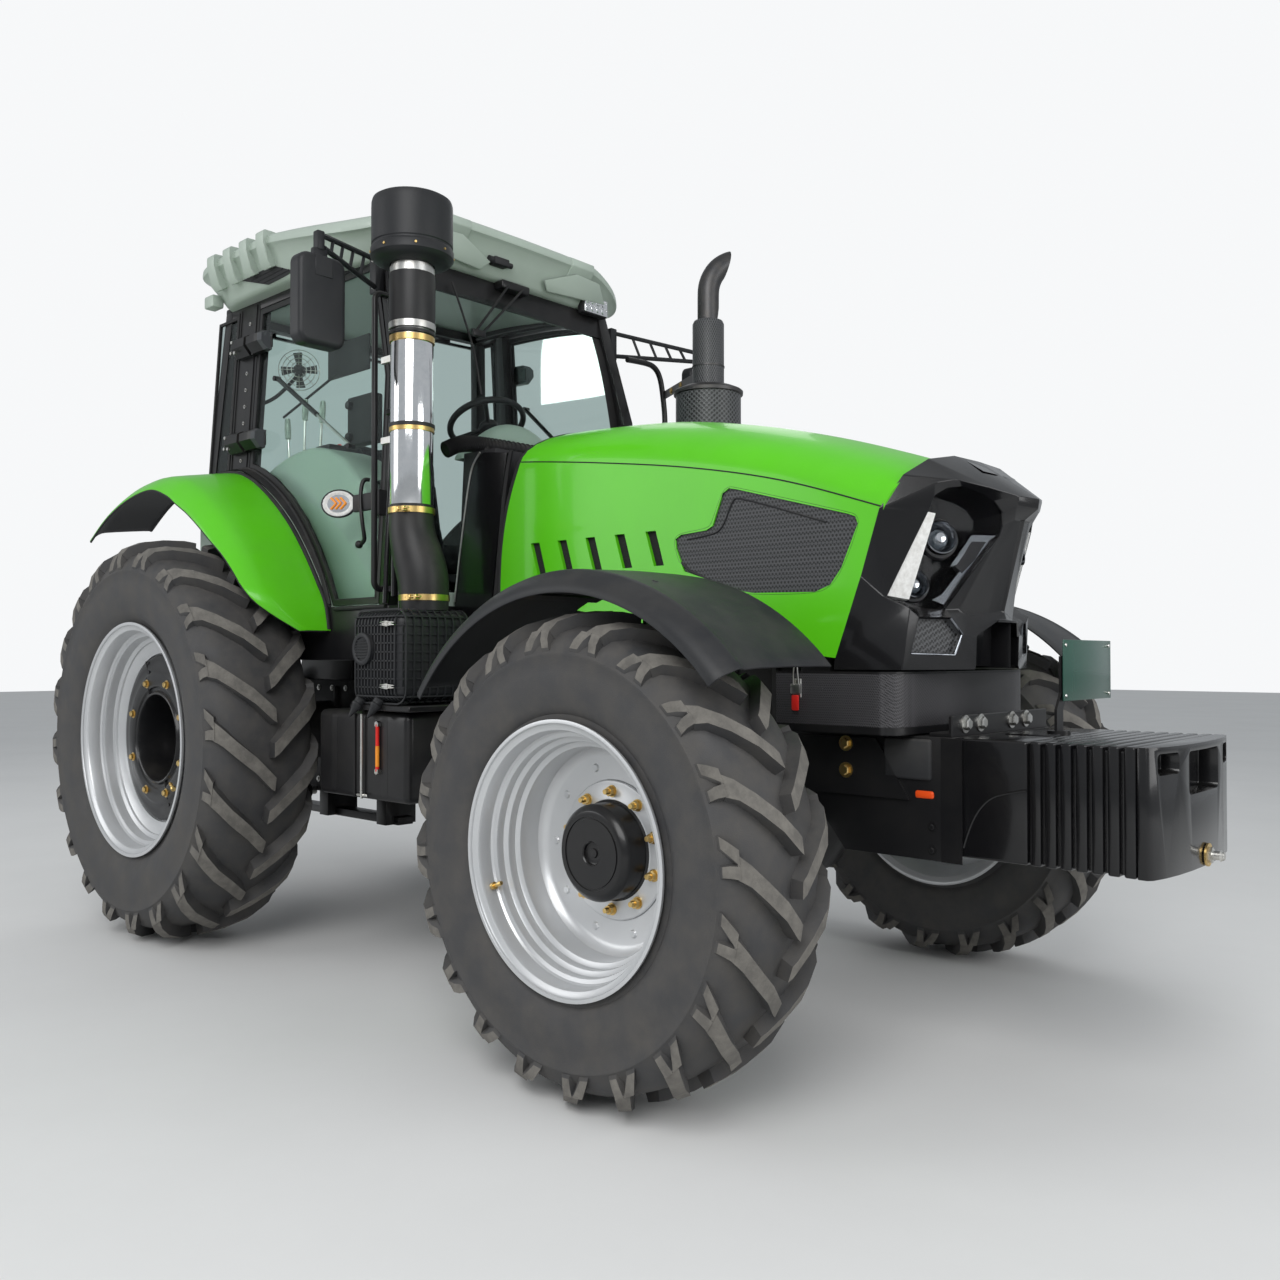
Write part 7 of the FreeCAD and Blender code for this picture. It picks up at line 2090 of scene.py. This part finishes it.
def makeHandrails():
    bm = bmesh.new()
    softened(bm, "handrails", .001, 0, 1)
    for sign in (1, -1):
        for z in (1.500, 2.670):
            place = cabSide(1.190, z, -.004, sign)
            drum(bm, place, (0, sign, 0), .024, .006, 0, 24)
    pipe(bm, [cabSide(x, z, out, -1) for x, z, out in ((1.216, 1.445, .010), (1.214, 1.60, .014),
                                                       (1.208, 2.10, .014), (1.190, 2.42, .014),
                                                       (1.130, 2.66, .012), (1.080, 2.82, .004))], .0135, 1, 4, 6)
    for joint in bm.faces[:]:
        if joint.calc_center_median().y > 0:
            bm.faces.remove(joint)
    bmesh.ops.delete(bm, geom=[vert for vert in bm.verts if not vert.link_faces], context="VERTS")
    pipe(bm, path((1.190, .660, 2.690), (1.190, .800, 2.702), (1.190, .868, 2.690), (1.190, .905, 2.645),
                  (1.190, .925, 2.560), (1.190, .945, 2.420), (1.192, .925, 2.150), (1.196, .850, 1.800),
                  (1.198, .812, 1.620), (1.198, .795, 1.560), (1.200, .735, 1.540)), .0140, 0, 5, 8)
    pipe(bm, path((1.262, -.752, 1.47), (1.258, -.748, 1.80), (1.250, -.738, 2.20), (1.226, -.716, 2.50),
                  (1.170, -.690, 2.72), (1.110, -.672, 2.84)), .0125, 1, 4, 6)
    for z in (1.50, 2.20):
        softBox(bm, along(1.205, -.756, z - .012), along(1.270, -.728, z + .012), .003, 1, 0)
    finishPiece(bm, "grab_rails", "root", ["frameBlack", "glossBlack"], ("handrails",), sharp=30,
                merge=0)


makeCowl()
makeDuct()
makeLamps()
makeMirrors()
makeHandrails()
print("cowl, lamps, mirrors and rails made")

# inside the cab: dash, console, steering wheel and the padded seat

padTable = {  # low corner, high corner, lean of the top, cap on how far a point may swell, fill
    "seat_cushion": ((.062, -.218, 1.640), (.500, .218, 1.742), 0.0, .022, .7),
    "seat_backrest": ((.052, -.205, 1.770), (.135, .205, 2.325), -.085, .022, .7),
}


clothFrames = 20


def swell(pad, cap):  # cloth under pressure, no point further out than the cap
    start = [vert.co.copy() for vert in pad.data.vertices]
    cloth = pad.modifiers.new("swell", "CLOTH")
    cloth.settings.use_pressure = True
    cloth.settings.uniform_pressure_force = 4
    cloth.settings.quality = 5
    cloth.settings.mass = .3
    cloth.settings.tension_stiffness = 15
    cloth.settings.compression_stiffness = 15
    cloth.settings.bending_stiffness = .5
    cloth.settings.effector_weights.gravity = 0
    cloth.point_cache.frame_start = 1
    cloth.point_cache.frame_end = clothFrames
    for frameNumber in range(1, clothFrames + 1):
        bpy.context.scene.frame_set(frameNumber)
    swollen = pad.evaluated_get(bpy.context.evaluated_depsgraph_get()).data
    places = [vert.co.copy() for vert in swollen.vertices]
    pad.modifiers.remove(cloth)
    bpy.context.scene.frame_set(1)
    for vert, before, after in zip(pad.data.vertices, start, places):
        move = after - before
        if move.length > cap:
            move *= cap / move.length
        vert.co = before + move


def weltEnds(low, high, lean):  # the welts' ends in front of the back, or over the cushion
    if lean:
        middle = (along(*low) + along(*high)) / 2
        return [[Vector((middle.x + lean * rise + .090, y,
                         low[2] + (high[2] - low[2]) * rise)) for rise in (.03, .97)] for y in (-.115, .115)]
    top = high[2] + .06
    return [path((low[0] + .02, y, top), (high[0] - .01, y, top)) for y in (-.115, .115)] + [
        path((.205, -.19, top), (.205, .19, top))]


def makePad(name):
    low, high, lean, cap, fill = padTable[name]
    bm = bmesh.new()
    softBox(bm, along(*low), along(*high), .030, 4, 0)
    if lean:  # the back leans to the rear and narrows upwards
        for vert in bm.verts:
            rise = (vert.co.z - low[2]) / (high[2] - low[2])
            vert.co.x += lean * rise - .018 * math.sin(rise * math.pi)
            vert.co.y *= 1 - .14 * rise
    else:
        for vert in bm.verts:
            share = (vert.co.y / high[1]) ** 2
            vert.co.z += .012 * share if vert.co.z > (low[2] + high[2]) / 2 else 0
    pad = tempObject(bm, "pad")
    remesh = pad.modifiers.new("remesh", "REMESH")
    remesh.mode = "VOXEL"
    remesh.voxel_size = .0060
    remesh.use_smooth_shade = True
    applyModifiers(pad)
    swell(pad, cap)
    smooth = pad.modifiers.new("smooth", "SUBSURF")
    smooth.levels = 1
    smooth.render_levels = 1
    applyModifiers(pad)
    bm = bmesh.new()
    bm.from_mesh(pad.data)
    seams = []
    for start, end in weltEnds(low, high, lean):
        line = []
        for step in range(25):
            _, spot, normal, _ = pad.closest_point_on_mesh(start.lerp(end, step / 24))
            line.append(spot + normal * .0005)
        seams.append(line)
    bpy.data.objects.remove(pad)
    for line in seams:
        pipe(bm, line, .0032, 1, 3, 2)
    piece = finishPiece(bm, name, "root", ["seatCloth", "dashGrey"], sharp=60, merge=0)


def makeSeatBase():
    bm = bmesh.new()
    softBox(bm, along(.110, -.190, 1.261), along(.450, .190, 1.300), .008, 2, 0)
    for index in range(7):  # folded boot round the suspension
        z = 1.300 + index * .038
        softBox(bm, along(.125, -.175, z), along(.435, .175, z + .030), .012, 2, 1)
    softBox(bm, along(.060, -.200, 1.575), along(.490, .200, 1.632), .012, 2, 0)
    for sign in (1, -1):
        softBox(bm, along(.10, sign * .215 - .018, 1.560), along(.46, sign * .215 + .018, 1.600), .006, 2, 0)
        pipe(bm, path((.10, sign * .225, 1.60), (.03, sign * .225, 1.68), (.010, sign * .222, 1.86),
                      (-.030, sign * .210, 2.10)), .012, 0, 3, 6)
    pipe(bm, path((.470, -.23, 1.585), (.530, -.23, 1.580)), .006, 0, 3, 2, 2)
    softBox(bm, along(.500, -.242, 1.570), along(.545, -.218, 1.592), .006, 2, 2)
    finishPiece(bm, "seat_base", "root", ["frameBlack", "trimBlack", "redPlastic"], ("driver_seat",),
                sharp=34, merge=0)


def addConsole(bm):  # curved top towards the front, the same pale shell as the wheel house, with its levers
    console = softLine([Vector((x, 0, z)) for x, z in ((.080, 2.10), (.20, 2.140), (.34, 2.166), (.480, 2.170),
                                                       (.620, 2.140), (.740, 2.080), (.850, 1.980), (.935, 1.850),
                                                       (.990, 1.690), (1.020, 1.480), (1.026, 1.264))], 3)
    corners = [along(point.x, -.636, point.z) for point in console] + [along(.080, -.636, 1.264)]
    slab(bm, corners, (0, .230, 0), 0)
    long = sharpEdges(bm, 1.0)
    roundOff(bm, long, .022, 4)
    for x, top, tilt in ((.135, 2.262, -.01), (.262, 2.330, .01), (.395, 2.300, .02)):  # levers with pale grips
        foot = along(x, -.550, 2.120)
        head = along(x + tilt, -.550, top)
        pipe(bm, [foot, foot.lerp(head, .5) + Vector((.004, 0, 0)), head], .0055, 3, 3, 3)
        lathe(bm, ((0, .006), (.004, .0130), (.050, .0150), (.092, .0125), (.100, .008), (.102, 0)), head,
              head - foot, 20, 4)
        lathe(bm, ((-.01, .024), (.006, .022), (.028, .009), (.030, .006)), foot, (0, 0, 1), 20, 1)
    softBox(bm, along(.44, -.60, 2.150), along(.56, -.46, 2.182), .008, 2, 1)
    for x in (.47, .50, .53):
        drum(bm, along(x, -.53, 2.180), (0, 0, 1), .009, .010, 2, 12)
    softBox(bm, along(.10, -.628, 1.62), along(.30, -.440, 1.98), .012, 2, 1)


def addKnobPanel(bm):  # two round knobs beside the front post
    softBox(bm, along(.758, -.640, 2.135), along(.948, -.585, 2.345), .010, 2, 1)
    for z in (2.172, 2.308):
        lathe(bm, ((0, .020), (.004, .020), (.010, .017), (.016, .017), (.018, .012), (.018, 0)),
              along(.785, -.640, z), (0, -1, 0), 24, 1)


def addFanAndVisor(bm):
    fan = along(.135, -.500, 2.600)
    heading = Vector((.80, -.60, -.10)).normalized()
    for radius in (.095, .075, .055, .035):
        bulge = .020 * (1 - (radius / .095) ** 2)
        ring = [(bulge + .0018 * a, radius + .0018 * b) for a, b in ringOf(6)]
        lathe(bm, ring, fan, heading, 40, 3, True)
    lathe(bm, ((-.060, 0), (-.060, .026), (-.020, .030), (.018, .026), (.022, 0)), fan, heading, 28, 1)
    turn = heading.to_track_quat("X", "Z")
    for index, (aside, up) in enumerate(ringOf(8)):
        spoke = turn @ Vector((0, aside, up))
        pipe(bm, [fan + spoke * .022 + heading * .018, fan + spoke * .095], .0016, 3, 2, 2, 2)
        if index % 2 == 0:
            side = turn @ Vector((0, -up, aside))
            slab(bm, [fan + spoke * .024 - side * .012, fan + spoke * .024 + side * .012,
                      fan + spoke * .080 + side * .028 - heading * .008, fan + spoke * .084 - side * .014],
                 heading * .003, 1)
    pipe(bm, [fan - heading * .05, fan + Vector((-.07, .0, -.05)), along(-.02, -.560, 2.46),
              along(-.05, -.62, 2.44)], .009, 1, 3, 4)
    softBox(bm, along(.405, -.515, 2.500), along(.735, -.503, 2.660), .008, 2, 1)
    pipe(bm, path((.100, -.560, 2.370), (.300, -.540, 2.445), (.470, -.510, 2.520)), .006, 1, 3, 4)


def addDash(bm):  # dark column, the pale dome that shows over the bonnet, gauges towards the seat, pedals
    softBox(bm, along(.930, -.175, 1.262), along(1.160, .175, 2.100), .030, 3, 1)
    softBox(bm, along(.895, -.178, 1.900), along(1.160, .178, 2.190), .050, 4, 1)
    dome = softLine([Vector((x, 0, z)) for x, z in ((.905, 2.100), (.915, 2.175), (.960, 2.240), (1.040, 2.276),
                                                    (1.105, 2.268), (1.146, 2.215), (1.156, 2.100))], 4)
    rows = []
    crown = bmesh.new()
    for index in range(21):
        share = index / 10 - 1
        fall = abs(share) ** 2.2
        rows.append([crown.verts.new(along(point.x + (1.03 - point.x) * fall * .25, .01 + share * .255,
                                        2.100 + (point.z - 2.100) * (1 - fall * .80))) for point in dome])
    for first, second in zip(rows, rows[1:]):
        ringBridge(crown, first, second)
    crown.faces.new(rows[0])
    crown.faces.new(rows[-1])
    addPart(bm, crown, 0)
    gauge = along(.898, 0, 2.085)
    ring = ((0, .048), (.008, .047), (.006, .042), (.002, .041), (.002, 0))
    for profile, finish in ((ring, 3), (((.003, .040), (.0035, 0)), 1)):
        for y in (-.075, .075):
            lathe(bm, profile, gauge + Vector((0, y, 0)), (-1, 0, .35), 32, finish)
    for sign in (1, -1):  # pedals
        softBox(bm, along(.800, sign * .110 - .035, 1.330), along(.822, sign * .110 + .035, 1.420), .006, 2, 1,
                Matrix.Rotation(-.5, 4, "Y"))
        pipe(bm, path((.830, sign * .110, 1.385), (.900, sign * .110, 1.440), (.950, sign * .110, 1.560)),
             .009, 1, 3, 4)


def makeControls():
    bm = bmesh.new()
    addConsole(bm)
    addKnobPanel(bm)
    addFanAndVisor(bm)
    addDash(bm)
    finishPiece(bm, "dash_and_console", "root", ["wheelHouse", "trimBlack", "redPlastic", "zincSilver", "roofGrey"],
                ("controls",), sharp=34, merge=0)


def makeSteeringWheel():
    bm = bmesh.new()
    centre = along(.858, -.012, 2.302)
    normal = Vector((-.469, 0, .883))
    tube = [(.0150 * a, .186 + .0150 * b) for a, b in ringOf(12)]
    lathe(bm, tube, centre, normal, 72, 0, True)
    lathe(bm, ((-.034, 0), (-.034, .030), (-.022, .046), (-.006, .050), (.004, .044), (.008, .030), (.009, 0)),
          centre - normal * .012, normal, 40, 0)
    turn = normal.to_track_quat("Z", "X")
    for angle in (math.pi * .5, math.pi * 1.18, math.pi * 1.82):
        out = turn @ Vector((math.cos(angle), math.sin(angle), 0))
        pipe(bm, [centre + out * .036 - normal * .018, centre + out * .10 - normal * .014, centre + out * .184],
             .0115, 0, 4, 5)
    pipe(bm, [centre - normal * .030, centre - normal * .085], .026, 0, 6, 2, 2)
    knob = centre + (turn @ Vector((.186 * math.cos(2.6), .186 * math.sin(2.6), 0)))
    lathe(bm, ((.010, .008), (.022, .008), (.026, .018), (.044, .021), (.056, .014), (.059, 0)), knob, normal, 24,
          0)
    finishPiece(bm, "wheel_rim_and_hub", "root", ["trimBlack"], ("steering_wheel",), sharp=34, merge=0)


makePad("seat_cushion")
makePad("seat_backrest")
makeSeatBase()
makeControls()
makeSteeringWheel()
print("inside of the cab made")

# bonnet's side panels: fine mesh in a raised frame, and foam behind the slots

def makeMeshPanels():
    bm = bmesh.new()
    outline = bonnetShape["mesh"]
    half = bonnetShape["half"]
    for sign in (1, -1):
        inner = shrunk(outline[::-1], .003)
        slab(bm, sideways(inner, sign * (half - .006)), (0, -sign * .006, 0), 0)
        rim = [along(x, sign * (half - .004), z) for x, z in shrunk(outline[::-1], .006)]
        pipe(bm, rim + rim[:1], .0042, 1, 3, 3)
        pipe(bm, sideways(((2.50, 1.628), (2.60, 1.634), (2.652, 1.652), (2.690, 1.742), (2.72, 1.752),
                           (3.05, 1.642)), sign * (half - .0045)), .0028, 1, 3, 4)
        for points in slotPoints:
            middle = sum((Vector((x, 0, z)) for x, z in points), Vector()) / 4
            slab(bm, [along(middle.x + (x - middle.x) * 1.02, sign * (half - .0145),
                            middle.z + (z - middle.z) * 1.02) for x, z in points], (0, -sign * .008, 0), 2)
    finishPiece(bm, "bonnet_mesh_panels", "bonnet", ["mattMesh", "trimBlack", "foamBlack"],
                ("bonnet_mesh",), sharp=30, merge=0)


Finish("foamBlack", (0.008, 0.008, 0.008), 0.95).layer("patches", (0.020, 0.020, 0.019), 0.9, 140.0).bump(
    0.9, 0.002, 420.0, 120.0, 0.5)
makeMeshPanels()
print("mesh panels made")
